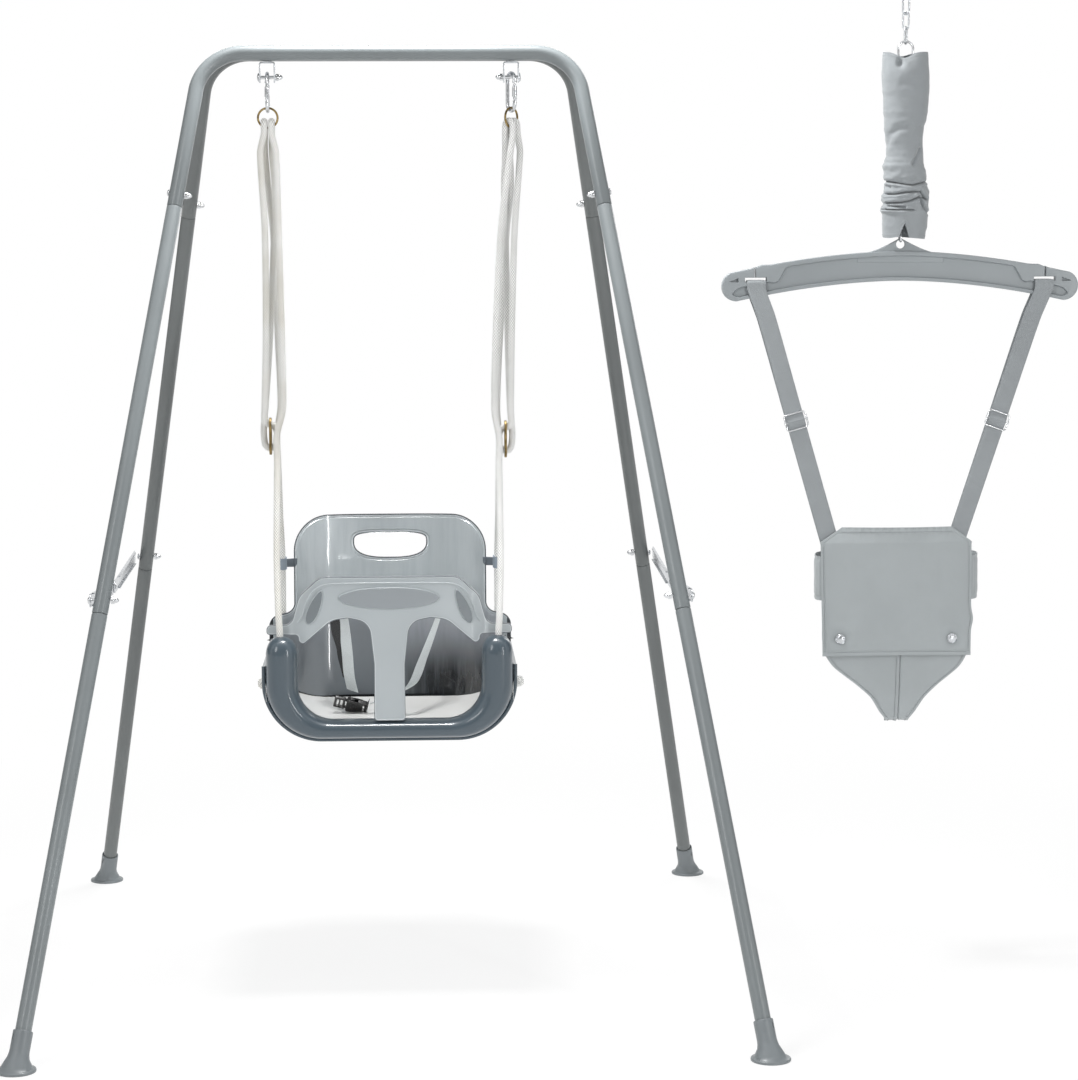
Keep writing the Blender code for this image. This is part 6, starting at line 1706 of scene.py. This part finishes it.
makeTrayRoll()
makeTrayScoop()
makeBackrest()
makeGuard()
makeBelts()
makeBuckle()
print("seat built")

# The jumper: chain, spring and sleeve

hangX = jumperX + 0.005
chain = {"pitch": 0.0205, "wire": 0.0028, "width": 0.0125, "first": 1.3242, "turns": (64, -44, 18)}
spring = {"coil": 0.0163, "wire": 0.0034, "turns": 13, "top": 1.246, "bottom": 1.086, "hookTop": 1.3158, "hook": 0.0105}
spring.update(lowerHalf=0.0066, floor=1.03475)


def makeChain():
    r = (chain["width"] - chain["wire"]) / 2
    straight = (chain["pitch"] + chain["wire"] + clearance) / 2 - r
    for k, (turn, body) in enumerate(zip(chain["turns"], ("jumper_top", "jumper_link", "front_frame"))):
        centre = Vector((hangX, 0, chain["first"] + k * chain["pitch"]))
        way = turned(turn, "Z", 3)
        flat = arc((0, straight), r, 0, 180, 22) + arc((0, -straight), r, 180, 360, 22)
        bm = joinMeshes([curveMesh([centre + way @ Vector((x, 0, z)) for x, z in flat], chain["wire"] / 2, 18, True)])
        weld = Matrix.Translation(centre + way @ Vector((-r, 0, 0))) @ Matrix.Diagonal((1, 1, 0.8, 1))
        ops.create_uvsphere(bm, u_segments=16, v_segments=10, radius=chain["wire"] * 0.62, matrix=weld)
        finished(bm, f"chainLink_{k + 1}", "zinc", body, [f"chain_link_{k + 1}"])


def makeSpring():
    r, h, top = spring["coil"], spring["hook"], spring["hookTop"]
    points = [Vector((hangX - h * 0.55, 0, spring["top"] + 0.012)), Vector((hangX - h, -0.004, top - h - 0.026))]
    points += [Vector((hangX - h, -0.0035, top - h - 0.012))]
    points += [Vector((hangX + x, 0, z)) for x, z in arc((0, top - h), h, 180, -10, 24)]
    points += [Vector((hangX + h * 0.98, -0.001, top - h - 0.02))]
    points += [Vector((hangX + r * 0.5, -r * 0.55, spring["top"] + 0.006))]
    perTurn = 28
    steps = spring["turns"] * perTurn
    coil = []
    for k in range(steps + 1):
        a = 2 * pi * k / perTurn
        z = spring["top"] + (spring["bottom"] - spring["top"]) * k / steps
        coil.append(Vector((hangX + r * cos(a), r * sin(a), z)))
    low, floor = spring["lowerHalf"], spring["floor"]
    end = [Vector((hangX + r * 0.6, -r * 0.7, spring["bottom"] - 0.007))]
    end += [Vector((jumperX + r * 0.1, -low, spring["bottom"] - 0.016))]
    under = [(-1, 0.006), (-0.88, 0.0022), (-0.6, 0.0003), (0, 0)]
    under += [(0.6, 0.0003), (0.88, 0.0022), (1, 0.006), (0.9, 0.017)]
    end += [Vector((jumperX, low * across, floor + up)) for across, up in under]
    line = smoothLine(points + [coil[0]], 0.0012)[:-1] + coil + smoothLine([coil[-1]] + end, 0.0012)[1:]
    bm = joinMeshes([curveMesh(line, spring["wire"] / 2, 16)])
    made = finished(bm, "bounceSpring", "chrome", None, ["jumper_spring"])
    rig.blend(made, "jumper_top", "jumper_seat", start=(jumperX, 0, spring["top"]), end=(jumperX, 0, spring["bottom"]))


sleeve = {"top": 1.2995, "bottom": 1.041, "cloth": 0.0012, "flatness": 0.8, "least": 0.0205, "hem": 0.0055}
sleeve["sides"] = [  # height, left and right of the jumper's middle
    (1.2995, -0.0272, 0.0362), (1.29, -0.0281, 0.0375), (1.268, -0.0288, 0.0389), (1.247, -0.0276, 0.039),
    (1.237, -0.0262, 0.0381), (1.218, -0.0258, 0.0369), (1.207, -0.0245, 0.0352), (1.195, -0.0243, 0.0316),
    (1.178, -0.0228, 0.0303), (1.169, -0.0211, 0.0303), (1.156, -0.0214, 0.0315), (1.147, -0.024, 0.0319),
    (1.141, -0.0268, 0.033), (1.133, -0.0245, 0.0357), (1.1255, -0.0252, 0.0365), (1.1205, -0.0208, 0.0352),
    (1.114, -0.0236, 0.038), (1.105, -0.0236, 0.0408), (1.0985, -0.0272, 0.0398), (1.093, -0.0277, 0.0394),
    (1.0885, -0.0246, 0.0396), (1.08, -0.029, 0.0397), (1.0715, -0.0261, 0.0386), (1.0575, -0.0259, 0.0382),
    (1.049, -0.0258, 0.036), (1.041, -0.025, 0.0345),
]
sleeve["creases"] = [  # depth, half width, how far the upper lip hangs over, and the line as seen from the front
    (0.0075, 0.0017, 0.0022,
     [(-0.0215, 1.1205), (-0.0185, 1.1196), (-0.0007, 1.1165), (0.0133, 1.1148), (0.0335, 1.1192)]),
    (0.0075, 0.0018, 0.002,
     [(-0.0235, 1.102), (-0.0122, 1.1021), (0.0044, 1.1049), (0.0247, 1.1056), (0.0325, 1.0962)]),
    (0.0065, 0.0016, 0.0018, [(-0.0205, 1.0901), (-0.0033, 1.0906), (0.0095, 1.0927), (0.0235, 1.0985)]),
    (0.0055, 0.0013, 0.001, [(-0.0195, 1.0852), (-0.008, 1.0846), (0.0018, 1.084)]),
    (0.006, 0.0014, 0.0014, [(-0.029, 1.0806), (-0.0058, 1.0802), (0.0146, 1.0798)]),
    (0.0065, 0.0017, 0.0, [(0.0247, 1.0948), (0.0279, 1.0853), (0.0375, 1.0751)]),
    (0.006, 0.0022, 0.001, [(0.0215, 1.099), (0.033, 1.095)]),
    (0.004, 0.002, 0.0, [(-0.0215, 1.1125), (-0.019, 1.111)]),
    (0.0026, 0.0042, 0.0, [(-0.0225, 1.173), (-0.0185, 1.1845), (-0.0083, 1.1934), (0.002, 1.1953)]),
    (0.0034, 0.0022, 0.0, [(0.0247, 1.1655), (0.0195, 1.1545), (0.0139, 1.1432)]),
    (0.0012, 0.005, 0.0, [(0.0000, 1.256), (0.018, 1.254), (0.03, 1.26)]),
]


def fromLine(x, z, line):
    # distance to a line of points, and whether the spot is above it
    best = (1.0, 0.0)
    for (x0, z0), (x1, z1) in zip(line, line[1:]):
        run = (x1 - x0) ** 2 + (z1 - z0) ** 2
        t = clamp(((x - x0) * (x1 - x0) + (z - z0) * (z1 - z0)) / run)
        away = hypot(x - x0 - t * (x1 - x0), z - z0 - t * (z1 - z0))
        if away < best[0]:
            best = (away, z - z0 - t * (z1 - z0))
    return best


def sleeveSpot(u, v):
    a = 2 * pi * u - pi / 2  # starts at the front
    c, s = cos(a), sin(a)
    front = max(0.0, -s)
    z = sleeve["top"] + (sleeve["bottom"] - sleeve["top"]) * v
    left, right = tabled(sleeve["sides"], z)
    middle, half = (left + right) / 2, (right - left) / 2
    deep = max(half * sleeve["flatness"], sleeve["least"])
    x, y = middle + half * c, deep * s
    push, drop = 0.0, 0.0
    if s < 0.12:
        for depth, wide, over, line in sleeve["creases"]:
            away, rise = fromLine(x, z, line)
            if away > wide * 6:
                continue
            t = away / wide
            push -= depth * hump(t)
            push += depth * 0.22 * hump(t - 2.2)
            if rise > 0:
                drop += over * hump(t - 1.4)
    else:
        for k, height in enumerate((1.119, 1.104, 1.0925, 1.0835)):
            t = (z - height - 0.0022 * sin(2 * a + 1.7 * k)) / 0.0018
            fade = min(1.0, (s - 0.12) / 0.2)
            push -= 0.006 * fade * hump(t)
            push += 0.0012 * fade * hump(abs(t) - 2.2)
    low = clamp((1.15 - z) / 0.03) * clamp((z - 1.07) / 0.02)
    push += noise.noise(Vector((x * 55, s * 1.6, z * 16))) * 0.0011
    push += noise.noise(Vector((x * 120, s * 3, z * 150))) * (0.00035 + 0.0011 * low)
    flat = Vector((c / half, s / deep, 0)).normalized()
    x, y = x + flat.x * push * (0.35 + 0.65 * abs(s)), y + flat.y * push
    z -= drop
    # the mouth: corners up, a dip where the hook goes in, the two sides close together
    mouth = max(0.0, 1 - (sleeve["top"] - z) / 0.028) ** 1.6
    dip = hump((x - 0.001) / 0.013)
    z += mouth * (0.0014 - (0.0085 if s < 0 else 0.005) * dip)
    y *= 1 - 0.45 * mouth
    y -= mouth * 0.0015
    notch = exp(-(((x + 0.0055) / 0.0042) ** 2) - ((z - 1.2845) / 0.006) ** 2) * front
    y += notch * 0.0085
    # the cuff lifts to a pointed gap over the lower hook
    cuff = max(0.0, 1 - (z - sleeve["bottom"]) / 0.03) ** 1.2
    gap = max(0.0, 1 - abs(x - 0.0022) / (0.0072 if x < 0.0022 else 0.0062)) if s < 0 else 0.0
    z += cuff * 0.0205 * gap ** 0.8
    z += cuff * (-0.003 * max(0.0, x / 0.034) - 0.0014 * hump((x + 0.018) / 0.006))
    y -= cuff * gap * 0.002
    # hems are doubled cloth
    if min(v, 1 - v) * (sleeve["top"] - sleeve["bottom"]) < sleeve["hem"]:
        x, y = x + flat.x * 0.0005, y + flat.y * 0.0005
    return Vector((jumperX + x, y, z))


def makeSleeve():
    flat = (0.168, 0.3)
    bm = gridMesh(150, 230, sleeveSpot, True, flat)
    made = finished(bm, "springSleeve", "sleeve", None, (), 70)
    made = setDown(thickened(made, sleeve["cloth"]), "springSleeve", "sleeve", None, ["spring_sleeve"], 70)
    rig.sheet(made, flat=flat, held="gathered", rests_on=["jumper_spring"])
    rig.blend(made, "jumper_top", "jumper_seat", start=(jumperX, 0, 1.25), end=(jumperX, 0, 1.08))


makeChain()
makeSpring()
makeSleeve()
print("chain, spring and sleeve built")

# The spreader bar

bar = {"length": 0.51, "tall": 0.042, "thick": 0.014, "rise": 0.033, "top": 1.021, "lug": 0.019, "lugThick": 0.007}
bar.update(hole=0.0125, eye=0.0098, strapX=0.206, slotLow=0.978, slotHigh=0.9842, slotHalf=0.016, curl=0.174)


def barMiddle(x):
    return bar["top"] - bar["tall"] / 2 - bar["rise"] * (abs(x) / (bar["length"] / 2)) ** 1.8


def makeSpreader():
    tall, half = bar["tall"] / 2, bar["length"] / 2
    span = half - tall
    steps = 64
    across = [-span + 2 * span * k / steps for k in range(steps + 1)]
    lower = [(x, barMiddle(x) - tall) for x in across]
    rightEnd = arc((span, barMiddle(span)), tall, -84, 66, 24)
    leftEnd = arc((-span, barMiddle(span)), tall, 114, 264, 24)
    upper = []
    for x in reversed(across):
        upper.append((x, barMiddle(x) + tall + 0.0022 * hump((abs(x) - 0.197) / 0.007)))

    def topAt(side):
        # the narrow cut through which a strap is slipped into its slot
        x = side * (bar["strapX"] + 0.0015)
        z = barMiddle(x) + tall
        low, high, wide = bar["slotLow"], bar["slotHigh"], bar["slotHalf"]
        x0, x1 = side * bar["strapX"] - wide, side * bar["strapX"] + wide
        cut = [(x + 0.0008, z + 0.0008), (x + 0.0008, high), (x1, high), (x1, low)]
        return cut + [(x0, low), (x0, high), (x - 0.0008, high), (x - 0.0008, z + 0.0008)]

    outline = lower + rightEnd
    cuts = [(bar["strapX"] + 0.0005, topAt(1)), (-bar["strapX"] - 0.0028, topAt(-1))]
    for x, z in upper:
        if cuts and x < cuts[0][0]:
            outline += cuts.pop(0)[1]
        if abs(abs(x) - bar["strapX"] - 0.0015) > 0.0016:
            outline.append((x, z))
    outline += leftEnd
    top, bottom = [], []
    for k in range(89):
        x = -0.2405 + 0.481 * k / 88
        t = clamp((abs(x) - bar["curl"] + 0.012) / 0.014)
        dip = 0.0168 * smooth(t)
        knob = 0.003 * hump((abs(x) - 0.179) / 0.006)
        end = 0.006 * max(0.0, (abs(x) - 0.229) / 0.0115) ** 2
        top.append((x, barMiddle(x) + tall - 0.006 - dip - knob - end))
        bottom.append((x, barMiddle(x) - tall + 0.0046 + end))
    pocket = bottom + list(reversed(top))
    steps = [(0.0004, -0.0004), (0.0004, -0.0012), (0.0003, -0.0022), (0.0006, -0.0008)]
    dents = [(pocket, steps)]
    for side in (-1, 1):
        corners = [(side * 0.2315, 0.9839, 0.0004), (side * 0.2315, 0.9776, 0.0004), (side * 0.246, 0.9783, 0.0004)]
        dents.append((rounded(corners, 3), [(0.0002, -0.001), (0.0001, -0.0035)]))
    body = bmesh.new()
    filled(body, [outline], [loop for loop, _ in dents])
    rounding = [(0.0002, 0.0006), (0.0004, 0.0005), (0.0006, 0.0002)]
    lift = bar["thick"] / 2 - sum(rise for _, rise in rounding)
    frontFaces = body.faces[:]
    grown = ops.extrude_face_region(body, geom=frontFaces)
    frontFaces = [g for g in grown["geom"] if isinstance(g, bmesh.types.BMFace)]
    moved = [g for g in grown["geom"] if isinstance(g, bmesh.types.BMVert)]
    ops.translate(body, verts=moved, vec=(0, -lift, 0))
    # extruding makes new faces, so the dents are found again by their number of corners
    counts = [len(loop) for loop, _ in dents]
    body.normal_update()
    inset(body, frontFaces, rounding)
    deep = [f for f in frontFaces if f.is_valid and len(f.verts) in counts and len(f.verts) > 4]
    for face in sorted(deep, key=lambda f: -len(f.verts)):
        inset(body, [face], dents[0 if len(face.verts) == counts[0] else 1][1])
    ops.triangulate(body, faces=[f for f in body.faces if len(f.verts) > 4])
    ops.mirror(body, geom=body.verts[:] + body.edges[:] + body.faces[:], axis="Y", merge_dist=1e-5)
    inner = [f for f in body.faces if all(abs(v.co.y) < 1e-5 for v in f.verts)]
    ops.delete(body, geom=inner, context="FACES")
    ops.remove_doubles(body, verts=body.verts, dist=1e-6)
    for vert in body.verts:
        vert.co.x += jumperX
    # the thin lug in the middle with its eye
    rim = []
    for k in range(49):
        x = 0.062 - 0.124 * k / 48
        grow = bar["lug"] * max(0.0, 1 - abs(x) / 0.048) ** 1.4
        rim.append((x, barMiddle(x) + tall - 0.0004 + grow))
    rim = [(0.062, bar["top"] - 0.016)] + rim + [(-0.062, bar["top"] - 0.016)]
    eye = arc((0, bar["top"] + bar["eye"]), bar["hole"] / 2, 360, 0, 40)[:-1]
    lug = holedPlate([rim, eye], bar["lugThick"], 0.001, slid(jumperX, 0, 0))
    whole = merged([(body, Matrix()), (lug, Matrix())])
    finished(whole, "spreaderBar", "spreader", "jumper_seat", ["spreader_bar"], 32)


makeSpreader()
print("spreader built")

# The saddle and its straps

saddle = {"x": jumperX - 0.0073, "top": 0.6305, "topHalf": 0.077, "half": 0.109, "bottom": 0.445, "deep": 0.038}
saddle.update(chamfer=0.022, bulge=0.012, backTop=0.6165, seatShift=0.0045, backShift=0.0115, crotch=0.0172)
saddle.update(bandTop=0.588, bandBottom=0.525, snapX=0.0801, snapZ=0.4697, snap=0.015, thread=0.00038, cloth=0.0011)
flapLow = saddle["bottom"]
flapTall = saddle["top"] - flapLow
strap = {"wide": 0.025, "sheet": 0.0022, "lowX": 0.092, "shift": (-0.0045, 0.0056), "inset": (0.002, 0.0029)}
strap.update(sliderZ=0.781, sliderWide=0.031, sliderHigh=0.023, wire=0.0024)


def stitches(bm, line, pitch=0.003, length=0.0021):
    # a row of sewn stitches lying along line
    spots, _ = evenly(line, pitch)
    for a, b in zip(spots, spots[1:]):
        ahead = (b - a).normalized()
        place = axes((a + b) / 2, ahead, (0, 1, 0)) @ Matrix.Diagonal((1, 1, length / saddle["thread"] / 2, 1))
        ops.create_uvsphere(bm, u_segments=6, v_segments=4, radius=saddle["thread"], matrix=place)


def flapEdges(z):
    # half width of the flap left and right of its middle
    below = max(0.0, saddle["top"] - z)
    t = min(1.0, below / saddle["chamfer"])
    fall = clamp((below - saddle["chamfer"]) / 0.16)
    left = saddle["topHalf"] + (saddle["half"] - saddle["topHalf"]) * t - 0.004 * fall
    right = saddle["topHalf"] + (saddle["half"] - 0.0015 - saddle["topHalf"]) * t + 0.0005 * fall
    wave = 0.003 * hump((z - 0.498) / 0.012)
    return left, right + wave


def flapSpot(u, v, proud=0.0):
    z = flapLow + flapTall * v
    left, right = flapEdges(z)
    k = 2 * u - 1
    x = k * (right if k > 0 else left)
    lift = 0.0026 * (1 - k * k) * max(0.0, 1 - (z - flapLow) / 0.05)
    swell = saddle["bulge"] * (1 - k * k) * min(1.0, max(left, right) / saddle["half"])
    y = -saddle["deep"] - 0.0012 - swell
    relief = noise.noise(Vector((x * 26, 0.3, z * 17))) * 0.0016
    relief += noise.noise(Vector((x * 70, 4.3, z * 60))) * 0.00045
    low = max(0.0, 1 - (z - flapLow) / 0.045)
    relief += 0.001 * low * sin(x * 96 + 1.1) * (0.6 + 0.4 * sin(x * 41))
    for side in (-1, 1):  # the cloth is drawn in at the studs
        away = hypot(x - side * saddle["snapX"], z - saddle["snapZ"])
        relief += 0.0016 * hump(away / 0.014) - 0.0008 * hump((away - 0.018) / 0.006)
    upper = max(0.0, 1 - (saddle["top"] - z) / 0.02)
    relief += 0.00035 * upper * sin(x * 620)
    return Vector((saddle["x"] + x, y + relief - proud, z + lift))


def makeFlap():
    hem, foot, fold = 0.0075, 0.006, 0.004

    def place(u, v):
        spot = flapSpot(u, v)
        z = flapLow + flapTall * v
        left, right = flapEdges(z)
        x = spot.x - saddle["x"]
        fromSide = (right - x) if x > 0 else (left + x)
        edge = min((saddle["top"] - z) / hem, (z - flapLow) / foot, fromSide / fold)
        step = 1 / (1 + exp(min(60.0, (edge - 1) * 16)))
        spot.y -= 0.0007 * step
        spot.y += 0.0005 * hump((edge - 1.12) / 0.1)
        return spot

    bm = gridMesh(190, 170, place, False, (2 * saddle["half"], flapTall))
    ops.recalc_face_normals(bm, faces=bm.faces)
    mesh = thickened(link(bpy.data.objects.new("cloth", meshOf(bm))), saddle["cloth"], 0)
    rows = bmesh.new()
    for v in (1 - 0.0066 / flapTall, 1 - 0.002 / flapTall):
        stitches(rows, [flapSpot(0.04 + 0.92 * k / 60, v, 0.0011) for k in range(61)])
    stitches(rows, [flapSpot(0.03 + 0.94 * k / 60, 0.0052 / flapTall, 0.0011) for k in range(61)])
    for u in (0.0155, 0.9845):
        stitches(rows, [flapSpot(u, 0.03 + 0.82 * k / 60, 0.0011) for k in range(61)])
    thread = finished(rows, "flapStitching", "thread", "jumper_seat")
    # the folded edge that binds the two cut corners
    binding = bmesh.new()
    for side in (-1, 1):
        for inward, wide in ((0.0004, 0.0011), (0.0042, 0.0006)):
            points = []
            for k in range(25):
                z = saddle["top"] - saddle["chamfer"] * (1.04 * k / 24) - 0.0002
                v = (z - flapLow) / flapTall - inward * 0.8 / flapTall
                left, right = flapEdges(z)
                reach = right if side > 0 else left
                u = 0.5 + side * 0.5 * (1 - inward * 0.8 / reach)
                points.append(flapSpot(u, v, 0.0005))
            edge = curveMesh(points, wide, 10)
            binding.from_mesh(edge)
            bpy.data.meshes.remove(edge)
    bound = finished(binding, "flapBinding", "cloth", "jumper_seat")
    made = setDown(mesh, "saddleFlap", "cloth", "jumper_seat", ["saddle_front_flap"], 60)
    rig.sheet(
        made, flat=(0.226, 0.2), area=0.226 * 0.2 * 0.96, held="hung", rests_on=["saddle_seat"],
        with_pieces=[thread, bound],
    )


def seatRows():
    deep = saddle["deep"]
    cut = [(0.4306, 0.0895), (0.4165, 0.0745), (0.4009, 0.056), (0.3833, 0.039), (0.361, 0.0255)]
    depth = [0.985, 0.965, 0.93, 0.83, 0.58]
    rows = [(0.49, 0.099, -deep + 0.0027), (0.45, 0.099, -deep + 0.0034)]
    rows += [(z, w, (-deep + 0.004) * d) for (z, w), d in zip(cut, depth)]
    rows += [(z, saddle["crotch"], deep * d) for z, d in ((0.35, -0.36), (0.3455, 0), (0.35, 0.36))]
    rows += [(z, w, deep * d) for (z, w), d in reversed(list(zip(cut, depth)))]
    rows += [(0.45, saddle["half"] - 0.004, deep), (0.49, saddle["half"] - 0.003, deep)]
    rows += [(0.53, saddle["half"] - 0.002, deep), (0.565, saddle["half"] - 0.001, deep)]
    rows += [(saddle["backTop"] - 0.022, saddle["half"], deep), (saddle["backTop"], saddle["topHalf"], deep)]
    return rows


def makeSeat():
    rows = [Vector((w, y, z)) for z, w, y in seatRows()]
    corner = len(rows) - 2
    line = smoothLine(rows[: corner + 1], 0.0015) + [rows[corner].lerp(rows[-1], k / 12) for k in range(1, 13)]
    path, length = evenly(line, 0.0016)
    count = len(path) - 1
    deep = saddle["deep"]

    def seatSpot(k, i, proud=0.0):
        w, y, z = path[i]
        share = (y / deep + 1) / 2
        shift = saddle["seatShift"] + (saddle["backShift"] - saddle["seatShift"]) * share
        lean = max(-1.0, min(1.0, y / deep))
        x = k * w - (0.007 * clamp((z - 0.385) / 0.06) * k * k if k < 0 and lean < 0 else 0.0)
        push = lean * saddle["bulge"] * (1 - k * k) * min(1.0, w / saddle["half"])
        ahead = path[min(i + 1, count)] - path[max(i - 1, 0)]
        normal = Vector((0, -ahead.z, ahead.y)).normalized() * -1  # outwards
        relief = noise.noise(Vector((x * 30, y * 20 + 3, z * 22))) * 0.0013 * min(1.0, w / 0.05)
        relief += noise.noise(Vector((x * 90, y * 60, z * 70))) * 0.0003
        seam = hump((x + 0.0016) / 0.0013) * 0.0012 - hump((x - 0.0014) / 0.001) * 0.0024
        fromEdge = (1 - abs(k)) * w
        hem = 0.0005 / (1 + exp(min(60.0, (fromEdge - 0.0052) / 0.0004)))
        spot = Vector((saddle["x"] + x + shift, y + push, z))
        return spot + normal * (relief + seam + hem + proud)

    def place(u, v):
        k = 2 * u - 1
        k = copysign(abs(k) ** 1.35, k)
        return seatSpot(k, round(v * count))

    bm = gridMesh(110, count, place, False, (2 * saddle["half"], length))
    ops.recalc_face_normals(bm, faces=bm.faces)
    mesh = thickened(link(bpy.data.objects.new("cloth", meshOf(bm))), saddle["cloth"], 0)
    sewing = bmesh.new()
    for side in (-1, 1):
        stitches(sewing, [seatSpot(side * (1 - 0.0045 / path[i].x), i, 0.0009) for i in range(28, count - 4, 3)])
    stitches(sewing, [seatSpot(-0.0042 / path[i].x, i, 0.0009) for i in range(30, count - 30, 3)])
    thread = finished(sewing, "seatStitching", "thread", "jumper_seat")
    made = setDown(mesh, "saddleSeat", "cloth", "jumper_seat", ["saddle_seat"], 60)
    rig.sheet(
        made, flat=(2 * saddle["half"], length), area=2 * saddle["half"] * length * 0.7, held="hung",
        rests_on=["jumper_strap_left", "jumper_strap_right"], with_pieces=[thread],
    )


def makeBands():
    half, deep = saddle["half"], saddle["deep"]
    route = [(half - 0.016, deep + 0.0026), (half - 0.004, deep + 0.0002), (half + 0.003, deep - 0.01)]
    route += [(half + 0.006, deep * 0.55), (half + 0.008, 0.0), (half + 0.006, -deep * 0.6)]
    route += [(half + 0.0005, -deep + 0.006), (half - 0.008, -deep + 0.0022), (half - 0.022, -deep - 0.0014)]
    tall = saddle["bandTop"] - saddle["bandBottom"]
    for side, label in hands:
        middle = (saddle["bandTop"] + saddle["bandBottom"]) / 2
        points = []
        for px, py in route:
            drift = saddle["backShift"] * (py / deep + 1) / 2
            points.append(Vector((saddle["x"] + side * px + drift, py, middle)))
        line, length = evenly(smoothLine(points, 0.001), 0.0016)
        bm = bandMesh(line, [Vector((0, 0, tall))] * len(line), 0.0018, 44)
        for vert in bm.verts:  # gathers that run across the elastic, and its two hems
            t = (vert.co.z - middle) / tall
            out = side * (0.0005 * sin(vert.co.y * 900) + 0.0006 * noise.noise(vert.co * 60))
            vert.co.x += out - side * 0.0007 * hump((abs(t) - 0.43) / 0.03)
        made = finished(bm, f"saddleBand_{label}", "cloth", "jumper_seat", (), 60)
        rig.sheet(made, flat=(tall, length), held="stretched", rests_on=["saddle_seat"])


def makeSnaps():
    r = saddle["snap"] / 2
    profile = [(0.0, 0.003), (0.3, 0.00295), (0.55, 0.0025), (0.72, 0.0018), (0.8, 0.0011), (0.83, 0.0008)]
    profile += [(0.87, 0.0009), (0.93, 0.0012), (0.98, 0.0009), (1, 0.0004), (0.98, 0), (0.8, -0.0004), (0, -0.0004)]
    profile = [(r * out, up) for out, up in profile]
    for side, label in hands:
        left, right = flapEdges(saddle["snapZ"])
        u = 0.5 + side * 0.5 * saddle["snapX"] / (right if side > 0 else left)
        v = (saddle["snapZ"] - flapLow) / flapTall
        bm = bmesh.new()
        place = axes(flapSpot(u, v, 0.0027), (side * 0.18, -1, 0))
        spin(bm, profile, place, 40)
        finished(bm, f"saddleSnap_{label}", "zinc", "jumper_seat", [f"saddle_snap_{label}"], 45)


def strapLine(side, rear):
    face = 1 if rear else -1
    top = Vector((jumperX + side * bar["strapX"], face * (bar["thick"] / 2 + strap["sheet"] / 2 + clearance), 0.9794))
    x = saddle["x"] + side * strap["lowX"] + strap["shift"][rear]
    y = face * (saddle["deep"] - strap["inset"][rear])
    return top, Vector((x, y, (saddle["backTop"] if rear else saddle["top"]) - 0.016))


def makeStraps():
    wide, sheet = strap["wide"], strap["sheet"]
    for side, label in hands:
        points, widths = [], []
        for rear in (0, 1):
            top, low = strapLine(side, rear)
            face = 1 if rear else -1
            down = (low - top).normalized()
            across = Vector((-down.z, 0, down.x)).normalized() * wide
            level = Vector((wide * 1.06, 0, 0))
            run = [(low, across), (top.lerp(low, 0.5), across), (top.lerp(low, 0.14), across)]
            run += [(top + Vector((0, 0, -0.011)), level), (top + Vector((0, 0, -sheet / 2)), level)]
            run += [(top + Vector((0, -face * y, z)), level) for y, z in ((0.0012, 0.0003), (0.004, 0.0004))]
            run = run[::-1] if rear else run
            points += [p for p, _ in run]
            widths += [w for _, w in run]
        line, length = evenly(smoothLine(points, 0.0015), 0.0024)
        marks = [min(range(len(line)), key=lambda i: (line[i] - p).length) for p in points]
        twisted = []
        for i in range(len(line)):
            k = max([n for n, m in enumerate(marks) if m <= i] or [0])
            k = min(k, len(marks) - 2)
            t = (i - marks[k]) / max(1, marks[k + 1] - marks[k])
            twisted.append(widths[k].lerp(widths[k + 1], clamp(t)))
        # over the slide's middle bar
        top, low = strapLine(side, 0)
        spot = top + (low - top) * ((top.z - strap["sliderZ"]) / (top.z - low.z))
        down = (low - top).normalized()
        across = Vector((-down.z, 0, down.x)).normalized()
        normal = across.cross(down).normalized()
        if normal.y > 0:
            normal = -normal
        bent = []
        for i, point in enumerate(line):
            away = (point - spot).length if i < len(line) / 2 else 1.0
            bent.append(point + normal * (0.0034 * hump(away / 0.0068)))
        bm = bandMesh(bent, twisted, sheet, 12)
        made = finished(bm, f"jumperStrap_{label}", "strap", "jumper_seat", [f"jumper_strap_{label}"], 50)
        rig.sheet(made, flat=(strap["wide"], length), held="stretched", rests_on=["spreader_bar"])
        # the slide
        place = axes(spot + normal * (sheet / 2 + strap["wire"] / 2 + 0.0004), -down, across)
        w, h = strap["sliderWide"] / 2, strap["sliderHigh"] / 2
        outline = rounded([(-w, -h, 0.0042), (w, -h, 0.0042), (w, h, 0.0042), (-w, h, 0.0042)], 8)
        parts = [curveMesh([place @ Vector((x, 0, z)) for x, z in outline], strap["wire"] / 2, 16, True)]
        parts.append(curveMesh([place @ Vector((k * (w + 0.0016), 0, 0)) for k in (-1, 1)], strap["wire"] * 0.4, 14))
        bm = joinMeshes(parts)
        for k in (-1, 1):
            knob = place @ slid(k * (w + 0.0004), 0, 0) @ Matrix.Diagonal((1.0, 1.0, 1.5, 1))
            ops.create_uvsphere(bm, u_segments=18, v_segments=12, radius=strap["wire"] * 0.66, matrix=knob)
        finished(bm, f"strapSlider_{label}", "chrome", "jumper_seat", [f"strap_slider_{label}"])


makeFlap()
makeSeat()
makeBands()
makeSnaps()
makeStraps()
print("saddle and straps built")

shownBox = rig.bounds()
with open("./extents.json", "w") as sizeFile:
    json.dump({"cad": [list(v) for v in cadBox], "scene": [list(v) for v in shownBox]}, sizeFile)
